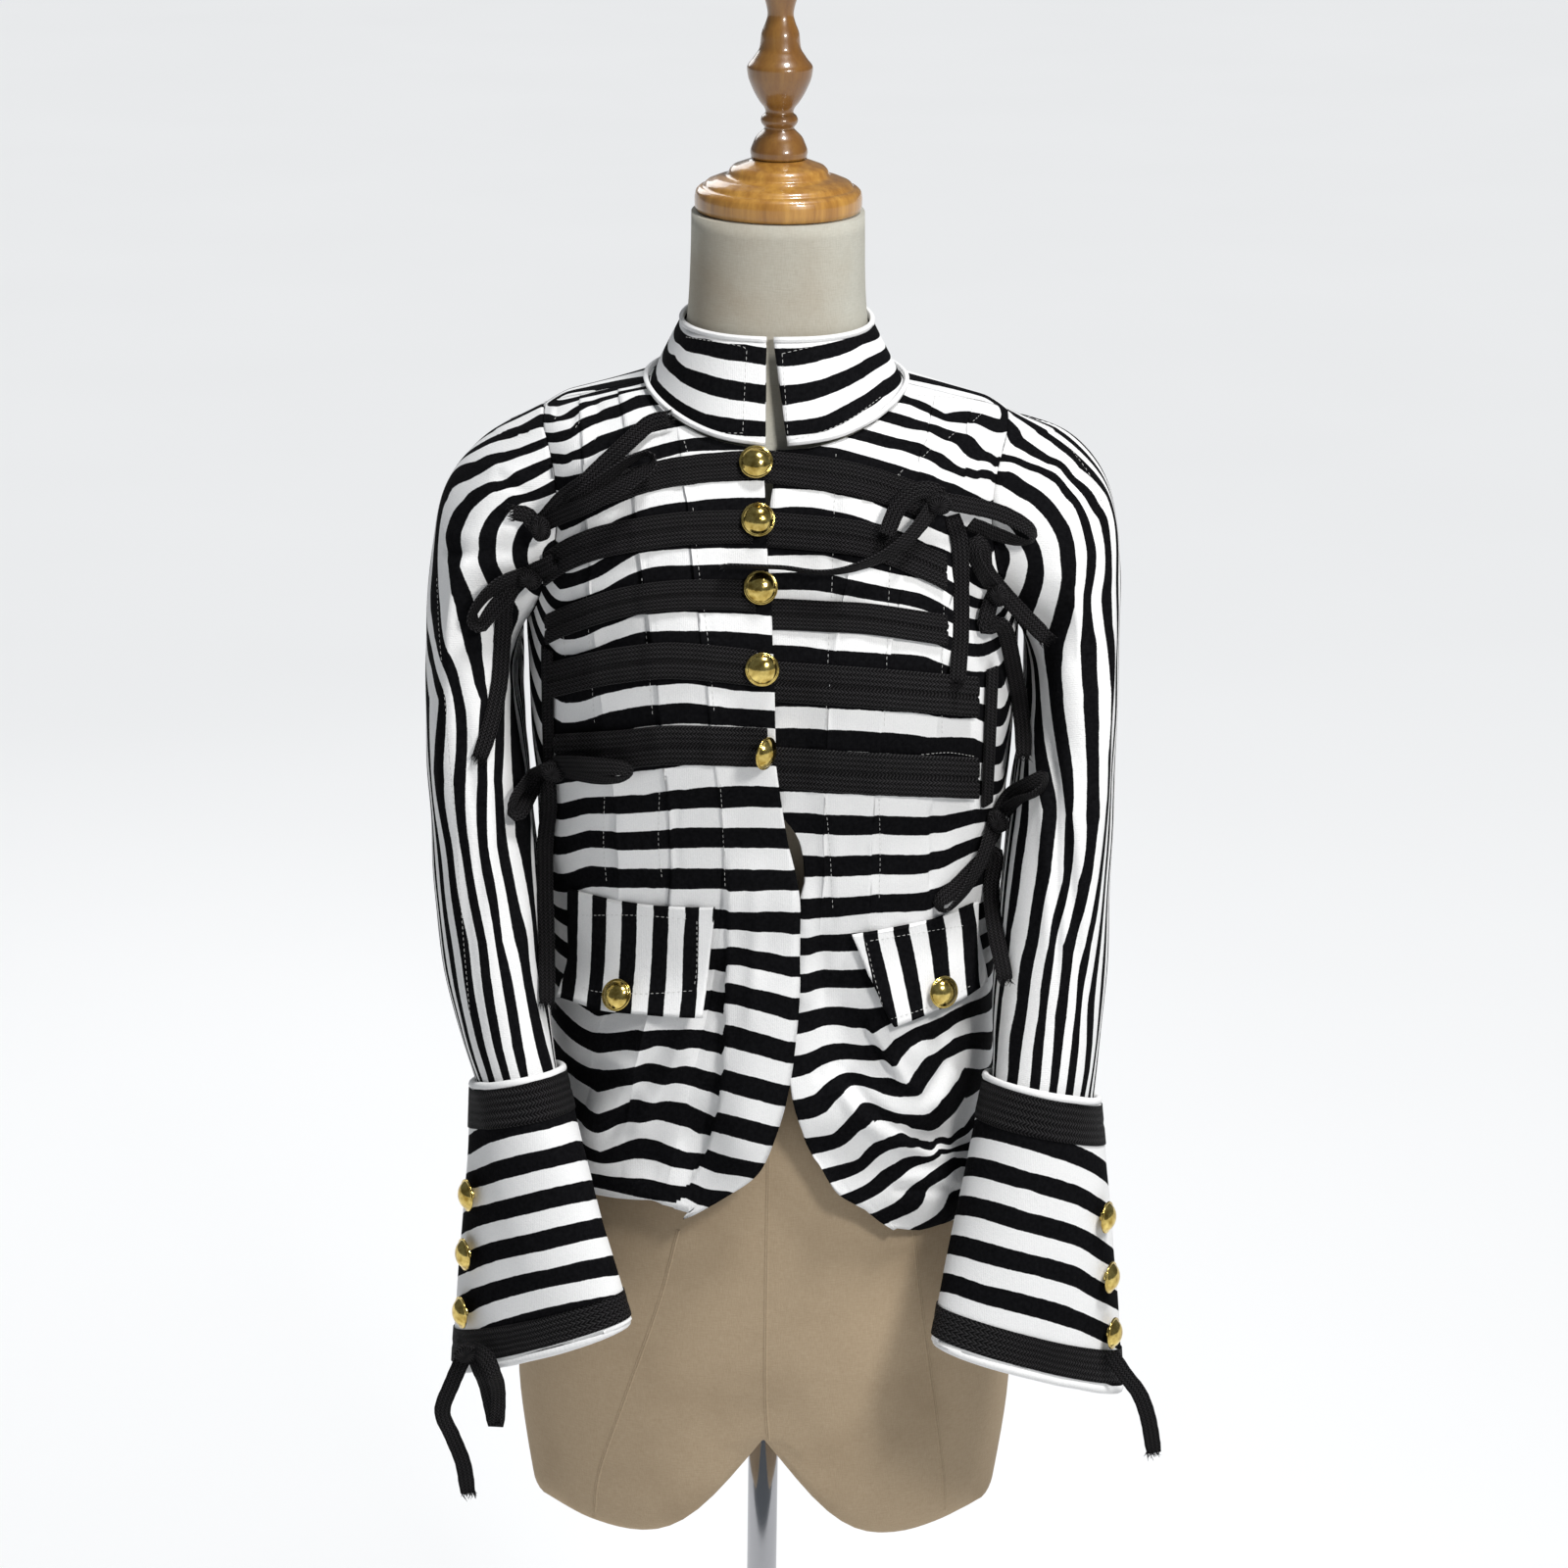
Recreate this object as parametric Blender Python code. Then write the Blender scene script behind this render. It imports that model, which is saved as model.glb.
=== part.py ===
# A striped jersey napoleon jacket on a limbless dress form with a turned wooden neck cap,
# a pole and a round foot. Metres, +Z up, the jacket's front faces -Y, and the origin is the
# centre of the foot's underside. Left and right are the wearer's: left is +X.
import math
from collections import namedtuple

import bmesh
import bpy
import numpy as np
from mathutils import Vector
from mathutils.bvhtree import BVHTree

# Cloth, tape and seams
CLOTH = 0.0020  # the striped jersey's wall
TAPE_WIDTH = 0.0105  # the herringbone tape that the ties are cut from
TAPE_THICK = 0.0018
SEAM_GAP = 0.0003
SEATED = 0.0006  # the gap that a button or tie is seated with
SETTLE_STEPS = 12
SETTLED = 0.00005
FAR = 0.03  # corners of a carrier further off than this are not looked at
LAID = 0.0014  # what lies on a front is this clear of its folds' tops
LAP_DEPTH = 0.0030  # how far the under front lies below the upper one
TUCK_HEIGHT = 0.0016
TUCK_HALF = 0.015  # half a tuck's fold edge, as a share of the way to the next line
TUCK_FADE = 0.02  # the height over which a tuck's foot opens out

# Heights of the jacket's levels
TUCK_FOOT = 1.060
WAIST_Z = 1.080
CHEST_Z = 1.215
SKIRT_Z = 0.845
# Between these heights the skirt's folds die away upwards
FOLDS_END = {"front": (1.00, 1.05), "back": (0.98, 1.04)}
# Where the under front goes in below the upper one: distances from the centre, and heights
LAP_ACROSS = (0.016, 0.040)
LAP_UP = (1.050, 1.095)

# The shape of a cross-section: 1 is an ellipse, less is squarer
SQUARENESS = 0.88
SIDE = math.pi / 2
SAME = 1e-6

# Bust of a general figure
BUST_X = 0.066
BUST_Z = 1.205
BUST_RISE = 0.008
BUST_WIDE = 0.045
BUST_TALL = 0.055

# Buttons
BUTTON_RADIUS = 0.0103

# Stand
POLE_RADIUS = 0.0102
CROTCH_Z = 0.665
FOOT_RADIUS = 0.160
FOOT_THICK = 0.012
FOOT_BEVEL = 0.006
FOOT_CROWN = 0.003
HUB_RADIUS = 0.024
HUB_HEIGHT = 0.050
HUB_BEVEL = 0.004
NECK_TOP_Z = 1.473


def table(names, *rows):
    """A short table: its columns by name."""
    return dict(zip(names.split(), np.array(rows, float).T))


# The jacket's sections below the arms
TRUNK = table(
    "z width front back",
    (0.820, 0.169, 0.131, 0.131),
    (0.845, 0.163, 0.129, 0.128),
    (0.900, 0.152, 0.125, 0.120),
    (0.960, 0.148, 0.121, 0.110),
    (1.030, 0.149, 0.118, 0.104),
    (1.100, 0.152, 0.125, 0.104),
    (1.170, 0.156, 0.133, 0.108),
    (1.215, 0.1565, 0.134, 0.112),
)
# The dress form's sections below the arms
FORM = table(
    "z width front back",
    (0.640, 0.164, 0.096, 0.118),
    (0.690, 0.168, 0.100, 0.124),
    (0.750, 0.165, 0.104, 0.122),
    (0.800, 0.159, 0.106, 0.116),
    (0.845, 0.152, 0.107, 0.110),
    (0.900, 0.140, 0.105, 0.102),
    (0.960, 0.127, 0.100, 0.092),
    (1.030, 0.118, 0.098, 0.086),
    (1.100, 0.124, 0.108, 0.088),
    (1.170, 0.136, 0.120, 0.095),
    (1.215, 0.142, 0.123, 0.100),
)
# The neckline seam, which the collar stands on
NECKLINE = {"width": 0.080, "front": 0.088, "back": 0.064}
NECKLINE_Z = {"front": 1.344, "side": 1.3660, "back": 1.378}
# How fast the yoke rises and closes in towards the front and the back, as powers of its way
RISE = {"front": 1.15, "back": 1.45}
CLOSE = {"front": 1.30, "back": 1.60}
# How it does so at the side: up to the shoulder tip, and along the shoulder to the neck
SHOULDER = table(
    "way close rise",
    (0.00, 0.000, 0.000),
    (0.15, 0.000, 0.270),
    (0.30, 0.010, 0.535),
    (0.45, 0.048, 0.765),
    (0.60, 0.150, 0.885),
    (0.80, 0.530, 0.945),
    (1.00, 1.000, 1.000),
)
# The armhole on the yoke: half its height as a share of the yoke, and half its sweep
ARMHOLE_MID = 0.30
ARMHOLE_SWEEP = math.radians(30)
ARMHOLE_STEPS = 10  # rows from the underarm to the shoulder tip

# Construction lines of the two fronts, as distances from the centre, from the edge to the
# side: the tucks, at the hem, waist, chest and top
TUCKS = {
    "left": table(
        "hem waist chest top",
        (0.066, 0.034, 0.036, 0.060),
        (0.098, 0.063, 0.069, 0.100),
        (0.126, 0.100, 0.102, 0.123),
    ),
    "right": table(
        "hem waist chest top",
        (0.068, 0.029, 0.041, 0.060),
        (0.098, 0.062, 0.071, 0.100),
        (0.126, 0.095, 0.107, 0.123),
    ),
}
# The fronts' edges, cut away in a curve below the last button
EDGES = {
    "left": table(
        "z x",
        (0.845, 0.103),
        (0.859, 0.078),
        (0.873, 0.061),
        (0.897, 0.042),
        (0.938, 0.029),
        (0.981, 0.021),
        (1.046, 0.022),
        (1.095, 0.020),
        (1.110, 0.016),
        (1.135, -0.004),
        (1.168, -0.012),
        (1.235, -0.012),
        (1.262, -0.005),
        (1.285, 0.000),
        (1.344, 0.001),
    ),
    "right": table(
        "z x",
        (0.849, 0.052),
        (0.858, 0.029),
        (0.875, 0.013),
        (0.916, -0.004),
        (0.981, -0.015),
        (1.030, -0.016),
        (1.077, -0.015),
        (1.120, -0.008),
        (1.168, -0.002),
        (1.215, -0.001),
        (1.250, 0.002),
        (1.285, 0.007),
        (1.344, 0.008),
    ),
}
# The hems' heights, by distance from the centre
HEMS = {
    "left": table("x z", (0.090, 0.846), (0.125, 0.833), (0.150, 0.834), (0.170, 0.840)),
    "right": table("x z", (0.045, 0.850), (0.075, 0.859), (0.115, 0.852), (0.165, 0.846)),
}
# Draped folds of the skirt: a soft ridge from (x0, z0) to (x1, z1), distances from the centre
FOLDS = {
    "left": table(
        "x0 z0 x1 z1 wide high",
        (0.072, 0.985, 0.098, 0.925, 0.012, 0.010),
        (0.040, 0.930, 0.120, 0.900, 0.013, 0.008),
        (0.092, 0.972, 0.125, 0.940, 0.012, 0.008),
        (0.060, 0.900, 0.150, 0.880, 0.011, -0.007),
        (0.085, 0.880, 0.140, 0.855, 0.014, 0.007),
        (0.034, 1.030, 0.060, 0.960, 0.012, -0.005),
    ),
    "right": table(
        "x0 z0 x1 z1 wide high",
        (0.066, 0.985, 0.104, 0.890, 0.013, 0.011),
        (0.034, 1.010, 0.040, 0.880, 0.012, -0.006),
        (0.012, 1.000, 0.022, 0.900, 0.013, 0.007),
        (0.085, 0.970, 0.125, 0.940, 0.014, 0.006),
        (0.045, 0.905, 0.110, 0.860, 0.015, -0.005),
        (0.105, 0.880, 0.135, 0.850, 0.013, 0.003),
    ),
}
# Flutes of the back's skirt
BACK_FOLDS = table(
    "x0 z0 x1 z1 wide high",
    (-0.090, 0.990, -0.112, 0.830, 0.017, 0.013),
    (-0.030, 1.000, -0.044, 0.830, 0.018, 0.014),
    (0.006, 1.020, 0.002, 0.830, 0.013, -0.006),
    (0.036, 0.985, 0.052, 0.830, 0.018, 0.015),
    (0.096, 1.000, 0.116, 0.830, 0.017, 0.012),
)
BACK_HEM = table("x z", (0.0, 0.822), (0.08, 0.826), (0.17, 0.838))

# Sleeves: each ring runs from its outer to its inner point, half a depth to the front and
# back of a centre that swings forward as the sleeve hangs
SLEEVES = {
    "left": table(
        "out_x out_z in_x in_z y depth lean",
        (0.1610, 1.3430, 0.1600, 1.2030, 0.000, 0.073, 0.00),
        (0.1840, 1.3355, 0.1612, 1.1950, -0.002, 0.069, 0.00),
        (0.2040, 1.3165, 0.1620, 1.1870, -0.004, 0.066, 0.01),
        (0.2150, 1.2880, 0.1620, 1.1780, -0.008, 0.063, 0.02),
        (0.2185, 1.2430, 0.1615, 1.1650, -0.014, 0.060, 0.04),
        (0.2190, 1.1990, 0.1600, 1.1480, -0.022, 0.058, 0.07),
        (0.2185, 1.1500, 0.1545, 1.1220, -0.032, 0.056, 0.12),
        (0.2178, 1.1010, 0.1500, 1.0900, -0.045, 0.054, 0.18),
        (0.2163, 1.0450, 0.1460, 1.0400, -0.061, 0.051, 0.24),
        (0.2143, 0.9880, 0.1425, 0.9880, -0.078, 0.047, 0.28),
    ),
    "right": table(
        "out_x out_z in_x in_z y depth lean",
        (0.1600, 1.3415, 0.1600, 1.2030, 0.000, 0.073, 0.00),
        (0.1795, 1.3310, 0.1610, 1.1950, -0.002, 0.069, 0.00),
        (0.1980, 1.3125, 0.1615, 1.1870, -0.004, 0.066, 0.01),
        (0.2110, 1.2880, 0.1610, 1.1780, -0.008, 0.063, 0.02),
        (0.2170, 1.2490, 0.1600, 1.1650, -0.014, 0.060, 0.04),
        (0.2193, 1.2020, 0.1575, 1.1480, -0.022, 0.058, 0.07),
        (0.2193, 1.1530, 0.1545, 1.1220, -0.032, 0.056, 0.12),
        (0.2170, 1.1020, 0.1505, 1.0900, -0.045, 0.054, 0.18),
        (0.2130, 1.0420, 0.1450, 1.0400, -0.061, 0.051, 0.24),
        (0.2050, 0.9850, 0.1400, 0.9880, -0.078, 0.047, 0.28),
    ),
}
# Flared cuffs, in the same columns, with the centre's outer and inner forward swing
CUFFS = {
    "left": table(
        "out_x out_z in_x in_z out_y in_y depth lean",
        (0.2125, 0.9240, 0.1370, 0.9420, -0.098, -0.104, 0.0445, 0.30),
        (0.2175, 0.8780, 0.1290, 0.9020, -0.103, -0.116, 0.0425, 0.30),
        (0.2243, 0.8277, 0.1210, 0.8600, -0.108, -0.129, 0.0400, 0.29),
        (0.2293, 0.7770, 0.1130, 0.8190, -0.113, -0.141, 0.0370, 0.28),
        (0.2335, 0.7290, 0.1060, 0.7800, -0.118, -0.153, 0.0345, 0.27),
    ),
    "right": table(
        "out_x out_z in_x in_z out_y in_y depth lean",
        (0.1895, 0.9300, 0.1290, 0.9440, -0.098, -0.104, 0.0445, 0.30),
        (0.1910, 0.8860, 0.1180, 0.9070, -0.104, -0.122, 0.0415, 0.30),
        (0.1949, 0.8400, 0.1070, 0.8660, -0.109, -0.135, 0.0385, 0.29),
        (0.1992, 0.7870, 0.0950, 0.8260, -0.114, -0.146, 0.0360, 0.28),
        (0.2028, 0.7380, 0.0840, 0.7930, -0.118, -0.156, 0.0335, 0.27),
    ),
}
# The tape bands' edges, as shares of the way down the cuff
CUFF_BANDS = {"top": (0.045, 0.165), "foot": (0.845, 0.965)}
BAND_CLEAR = 0.0006
# The sleeve's last rings lie inside the cuff: at which share of it, and how far inside its face
SLEEVE_END = table("way inset", (0.03, 0.0060), (0.12, 0.0032))
# Creases of the sleeves: from (turn0, way0) to (turn1, way1), where turn is degrees from the
# shoulder tip towards the front, and way is the share of the rings passed
SLEEVE_FOLDS = {
    "left": table(
        "turn0 way0 turn1 way1 wide high",
        (30, 0.06, 62, 0.60, 11, 0.006),
        (75, 0.10, 100, 0.40, 13, 0.005),
        (120, 0.30, 60, 0.70, 14, 0.004),
        (250, 0.12, 285, 0.55, 14, 0.005),
        (215, 0.35, 300, 0.75, 15, 0.004),
    ),
    "right": table(
        "turn0 way0 turn1 way1 wide high",
        (45, 0.05, 78, 0.35, 12, 0.006),
        (95, 0.12, 60, 0.55, 13, 0.005),
        (130, 0.40, 80, 0.80, 14, 0.004),
        (255, 0.10, 290, 0.50, 14, 0.005),
        (220, 0.40, 295, 0.80, 15, 0.004),
    ),
}
SLEEVE_FOLDS_START = (0.0, 0.12)
SLEEVE_FOLDS_END = (0.70, 0.84)
LENGTH_AS_TURN = 100  # the sleeve's length counts as much as this many degrees of turn

# Collar: a stand, open in front
COLLAR_TOP = {"width": 0.0600, "front": 0.0640, "back": 0.0610}
COLLAR_TOP_Z = {"front": 1.404, "side": 1.4045, "back": 1.413}
COLLAR_CLEAR = 0.10  # the share of its lowest row that the collar's foot stands off the neckline
COLLAR_OPEN = {"left": (0.0080, -0.0015), "right": (-0.0062, -0.0066)}  # edge x, foot and top
PIPING = 0.0017  # radius of the collar's piping
PIPING_CLEAR = 0.0005
FOOT_PIPING_RISE = 0.0014

# Braid rows: their centre lines, as distances from the centre and heights
BRAID_WIDTH = 0.0215
BRAID_POINTS = 13
BRAIDS = {
    "left": table(
        "x0 z0 x1 z1 x2 z2",
        (0.0060, 1.3330, 0.0310, 1.3290, 0.0760, 1.3185),
        (0.0060, 1.2985, 0.0600, 1.2915, 0.1060, 1.2700),
        (0.0060, 1.2535, 0.0600, 1.2505, 0.1200, 1.2300),
        (0.0090, 1.2110, 0.0610, 1.2090, 0.1270, 1.1850),
        (0.0120, 1.1560, 0.0610, 1.1550, 0.1270, 1.1350),
    ),
    "right": table(
        "x0 z0 x1 z1 x2 z2",
        (0.0200, 1.3330, 0.0500, 1.3295, 0.0860, 1.3215),
        (0.0180, 1.3000, 0.0770, 1.2945, 0.1250, 1.2680),
        (0.0170, 1.2640, 0.0720, 1.2615, 0.1290, 1.2320),
        (0.0170, 1.2215, 0.0756, 1.2195, 0.1310, 1.1945),
        (0.0150, 1.1710, 0.0610, 1.1700, 0.1290, 1.1420),
    ),
}
FORESHORTENED = 0.6  # how narrow a side tape looks from the front, where the body turns away
SIDE_TAPES = table("x z_top z_foot", (0.1340, 1.205, 1.112), (-0.1380, 1.212, 1.118))

# Pocket flaps: inner and outer x, at the top and foot, with their heights
FLAPS = {
    "left": {"top": ((0.051, 1.041), (0.130, 1.046)), "foot": ((0.074, 0.981), (0.129, 0.993))},
    "right": {"top": ((0.034, 1.060), (0.125, 1.054)), "foot": ((0.039, 0.990), (0.123, 0.984))},
}
FLAP_LIFT = (0.0008, 0.0036)  # clear of the front, at the top and the foot
FLAP_THICK = 0.0026

# Front buttons: x, z and turn about the upright
FRONT_BUTTONS = table(
    "x z turn",
    (-0.0115, 1.3360, 0),
    (-0.0100, 1.3050, 0),
    (-0.0080, 1.2670, 0),
    (-0.0065, 1.2200, 0),
    (-0.0020, 1.1690, 55),
)
FLAP_BUTTONS = {"left": (0.1080, 0.9985), "right": (-0.0935, 0.9965)}
# Cuff buttons: shares of the way down the outer opening
CUFF_BUTTON_WAYS = (0.40, 0.60, 0.79)
CUFF_BUTTON_TURN = math.radians(36)
CUFF_BUTTON_LIFT = 0.0018
CUFF_BUTTON_AXIS = (0.90, 0.42, 0.05)  # out, forward and up

# Tied tapes: a knot at the first row's place, and strands of tape from it. Each strand's middle
# line is given with its height off the cloth and the tilt of its breadth: 0 lies flat, 90
# stands on edge
TIES = {
    "tie_right_1": {
        "tail": table(
            "x z lift tilt",
            (-0.1427, 1.2909, 0.0050, 10),
            (-0.1282, 1.3122, 0.0080, 10),
            (-0.1129, 1.3263, 0.0090, 10),
            (-0.1001, 1.3376, 0.0080, 10),
            (-0.0868, 1.3482, 0.0050, 5),
            (-0.0758, 1.3561, 0.0050, 0),
            (-0.0657, 1.3587, 0.0050, 0),
        ),
        "loop": table(
            "x z lift tilt",
            (-0.1428, 1.2918, 0.0040, 15),
            (-0.1220, 1.3065, 0.0070, 20),
            (-0.1008, 1.3200, 0.0090, 35),
            (-0.0840, 1.3304, 0.0090, 50),
            (-0.0742, 1.3374, 0.0090, 65),
            (-0.0762, 1.3426, 0.0080, 65),
            (-0.0891, 1.3372, 0.0060, 50),
            (-0.1059, 1.3250, 0.0050, 30),
            (-0.1253, 1.3096, 0.0040, 15),
        ),
        "end": table(
            "x z lift tilt",
            (-0.1440, 1.2927, 0.0030, 10),
            (-0.1512, 1.2987, 0.0040, 5),
            (-0.1596, 1.2998, 0.0040, 0),
        ),
    },
    "tie_right_2": {
        "tail": table(
            "x z lift tilt",
            (-0.1501, 1.2577, 0.0060, 10),
            (-0.1623, 1.2485, 0.0050, 10),
            (-0.1675, 1.2182, 0.0040, 5),
            (-0.1698, 1.1887, 0.0030, 0),
            (-0.1748, 1.1651, 0.0030, 0),
            (-0.1812, 1.1462, 0.0030, 0),
        ),
        "loop": table(
            "x z lift tilt",
            (-0.1512, 1.2607, 0.0070, 15),
            (-0.1665, 1.2566, 0.0090, 25),
            (-0.1786, 1.2468, 0.0100, 45),
            (-0.1855, 1.2339, 0.0080, 60),
            (-0.1804, 1.2279, 0.0050, 50),
            (-0.1722, 1.2380, 0.0040, 25),
            (-0.1612, 1.2495, 0.0040, 10),
        ),
        "root": table(
            "x z lift tilt",
            (-0.1340, 1.2719, 0.0030, 5),
            (-0.1430, 1.2647, 0.0040, 10),
            (-0.1512, 1.2604, 0.0060, 10),
        ),
    },
    "tie_right_3": {
        "tail": table(
            "x z lift tilt",
            (-0.1354, 1.1385, 0.0050, 10),
            (-0.1396, 1.1106, 0.0040, 5),
            (-0.1429, 1.0746, 0.0030, 0),
            (-0.1410, 1.0319, 0.0030, 0),
            (-0.1393, 0.9911, 0.0030, 0),
        ),
        "loop": table(
            "x z lift tilt",
            (-0.1346, 1.1429, 0.0070, 15),
            (-0.1157, 1.1510, 0.0080, 20),
            (-0.0952, 1.1549, 0.0080, 45),
            (-0.0867, 1.1524, 0.0060, 60),
            (-0.0942, 1.1455, 0.0040, 45),
            (-0.1129, 1.1420, 0.0030, 20),
            (-0.1310, 1.1388, 0.0030, 10),
        ),
        "loop2": table(
            "x z lift tilt",
            (-0.1375, 1.1411, 0.0060, 20),
            (-0.1520, 1.1272, 0.0080, 35),
            (-0.1591, 1.1209, 0.0080, 50),
            (-0.1613, 1.1122, 0.0060, 60),
            (-0.1564, 1.1092, 0.0040, 50),
            (-0.1514, 1.1161, 0.0030, 30),
            (-0.1421, 1.1280, 0.0030, 15),
        ),
    },
    "tie_left_1": {
        "tail": table(
            "x z lift tilt",
            (0.0990, 1.3162, 0.0050, 10),
            (0.0894, 1.3078, 0.0080, 20),
            (0.0752, 1.2953, 0.0070, 30),
            (0.0559, 1.2851, 0.0050, 45),
            (0.0296, 1.2788, 0.0040, 60),
            (0.0002, 1.2813, 0.0040, 65),
            (-0.0280, 1.2821, 0.0040, 60),
        ),
        "loop": table(
            "x z lift tilt",
            (0.0977, 1.3187, 0.0060, 15),
            (0.1181, 1.3131, 0.0090, 15),
            (0.1431, 1.3029, 0.0100, 25),
            (0.1565, 1.2944, 0.0080, 55),
            (0.1557, 1.2872, 0.0060, 60),
            (0.1408, 1.2893, 0.0040, 30),
            (0.1187, 1.3011, 0.0040, 10),
        ),
        "bend": table(
            "x z lift tilt",
            (0.0989, 1.3214, 0.0070, 15),
            (0.0869, 1.3250, 0.0060, 15),
            (0.0750, 1.3166, 0.0040, 10),
            (0.0669, 1.3009, 0.0040, 5),
        ),
    },
    "tie_left_2": {
        "tail": table(
            "x z lift tilt",
            (0.1372, 1.2545, 0.0060, 10),
            (0.1419, 1.2315, 0.0050, 5),
            (0.1516, 1.1935, 0.0040, 0),
            (0.1575, 1.1615, 0.0030, 0),
            (0.1582, 1.1437, 0.0020, 0),
        ),
        "loop": table(
            "x z lift tilt",
            (0.1346, 1.2578, 0.0060, 20),
            (0.1259, 1.2723, 0.0070, 35),
            (0.1207, 1.2840, 0.0070, 40),
            (0.1237, 1.2908, 0.0060, 45),
            (0.1277, 1.2830, 0.0040, 35),
            (0.1306, 1.2683, 0.0030, 20),
        ),
        "end": table(
            "x z lift tilt",
            (0.1358, 1.2576, 0.0070, 10),
            (0.1502, 1.2431, 0.0090, 10),
            (0.1616, 1.2311, 0.0080, 5),
            (0.1690, 1.2230, 0.0050, 0),
        ),
        "root": table(
            "x z lift tilt",
            (0.1303, 1.2350, 0.0030, 5),
            (0.1324, 1.2471, 0.0040, 10),
            (0.1360, 1.2558, 0.0050, 10),
        ),
    },
    "tie_left_3": {
        "tail": table(
            "x z lift tilt",
            (0.1431, 1.0998, 0.0050, 10),
            (0.1413, 1.0786, 0.0040, 5),
            (0.1409, 1.0547, 0.0030, 0),
            (0.1421, 1.0370, 0.0030, 0),
            (0.1484, 1.0107, 0.0030, 0),
        ),
        "loop": table(
            "x z lift tilt",
            (0.1430, 1.1017, 0.0060, 15),
            (0.1498, 1.1159, 0.0080, 30),
            (0.1605, 1.1310, 0.0080, 50),
            (0.1696, 1.1385, 0.0060, 65),
            (0.1681, 1.1305, 0.0040, 55),
            (0.1553, 1.1178, 0.0030, 30),
            (0.1468, 1.1024, 0.0030, 10),
        ),
        "loop2": table(
            "x z lift tilt",
            (0.1417, 1.0990, 0.0070, 15),
            (0.1343, 1.0805, 0.0080, 25),
            (0.1234, 1.0618, 0.0080, 45),
            (0.1110, 1.0510, 0.0070, 60),
            (0.1057, 1.0566, 0.0050, 50),
            (0.1184, 1.0645, 0.0030, 20),
        ),
    },
    "tie_left_4": {
        "tail": table(
            "x z lift tilt",
            (0.1076, 1.3060, 0.0030, 0),
            (0.1125, 1.2885, 0.0040, 0),
            (0.1139, 1.2584, 0.0030, 0),
            (0.1144, 1.2321, 0.0030, 0),
            (0.1126, 1.2067, 0.0030, 0),
        ),
    },
    "cuff_tie_right": {
        "tail": table(
            "x z lift tilt",
            (-0.1900, 0.7681, 0.0030, 0),
            (-0.1994, 0.7452, 0.0030, 0),
            (-0.2061, 0.7247, 0.0030, 0),
            (-0.2001, 0.7070, 0.0030, 0),
            (-0.1934, 0.6872, 0.0030, 0),
            (-0.1906, 0.6657, 0.0030, 0),
        ),
        "loop": table(
            "x z lift tilt",
            (-0.1870, 0.7698, 0.0060, 20),
            (-0.1757, 0.7700, 0.0080, 35),
            (-0.1662, 0.7659, 0.0090, 55),
            (-0.1671, 0.7399, 0.0080, 60),
            (-0.1719, 0.7190, 0.0060, 60),
            (-0.1762, 0.7325, 0.0050, 55),
            (-0.1847, 0.7613, 0.0040, 25),
        ),
    },
    "cuff_tie_left": {
        "tail": table(
            "x z lift tilt",
            (0.2216, 0.7682, 0.0030, 0),
            (0.2311, 0.7532, 0.0030, 0),
            (0.2411, 0.7393, 0.0030, 0),
            (0.2476, 0.7217, 0.0030, 0),
            (0.2525, 0.6969, 0.0030, 0),
        ),
    },
}
STRAND_STEP = 0.011
# Radii and heights of a knot, in millimetres
KNOT = ((0, -5.0), (5.0, -4.2), (7.4, -1.5), (7.4, 1.5), (5.0, 4.2), (0, 5.0))
KNOT_LIFT = 0.0055
AT_KNOT = 0.012  # an end this near to the knot's middle is tied into it
HANGING_Y = -0.147  # the plane that tapes hang in below the cuffs


def curve(at, knots, values):
    """A smooth value through a table's rows."""
    slopes = np.gradient(values, knots)
    at = min(max(at, knots[0]), knots[-1])
    i = min(max(int(np.searchsorted(knots, at)) - 1, 0), len(knots) - 2)
    step = knots[i + 1] - knots[i]
    u = (at - knots[i]) / step
    start = values[i] * (1 + 2 * u) * (1 - u) ** 2 + slopes[i] * step * u * (1 - u) ** 2
    end = values[i + 1] * (3 - 2 * u) * u * u - slopes[i + 1] * step * (1 - u) * u * u
    return float(start + end)


def blend(a, b, share):
    return a + (b - a) * share


def eased(value, low, high):
    """0 at low, 1 at high, smooth between."""
    u = min(max((value - low) / (high - low), 0.0), 1.0)
    return u * u * (3 - 2 * u)


def section(angle, width, front, back):
    """x and y on a cross-section; angle 0 is the front and a quarter turn is the left side."""
    s = math.sin(angle)
    c = math.cos(angle)
    depth = front if c > 0 else back
    x = width * math.copysign(abs(s) ** SQUARENESS, s)
    return x, -depth * math.copysign(abs(c) ** SQUARENESS, c)


def angle_at(x, width):
    """The angle of a section's front half at x."""
    share = min(abs(x) / width, 1.0) ** (1 / SQUARENESS)
    return math.copysign(math.asin(share), x)


def trunk(angle, z):
    """A point of the jacket's plain form below the arms."""
    x, y = section(angle, *(curve(z, TRUNK["z"], TRUNK[k]) for k in ("width", "front", "back")))
    if y < 0:
        near = ((abs(x) - BUST_X) / BUST_WIDE) ** 2 + ((z - BUST_Z) / BUST_TALL) ** 2
        y -= BUST_RISE * math.exp(-near)
    return Vector((x, y, z))


def round_value(angle, values):
    """A value that turns from the front through the side to the back."""
    sideways = math.sin(angle) ** 2
    end = values["front"] if math.cos(angle) > 0 else values["back"]
    return blend(end, values["side"], sideways)


def shoulder(way, column):
    return curve(way, SHOULDER["way"], SHOULDER[column])


def neckline(angle):
    x, y = section(angle, NECKLINE["width"], NECKLINE["front"], NECKLINE["back"])
    return Vector((x, y, round_value(angle, NECKLINE_Z)))


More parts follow.
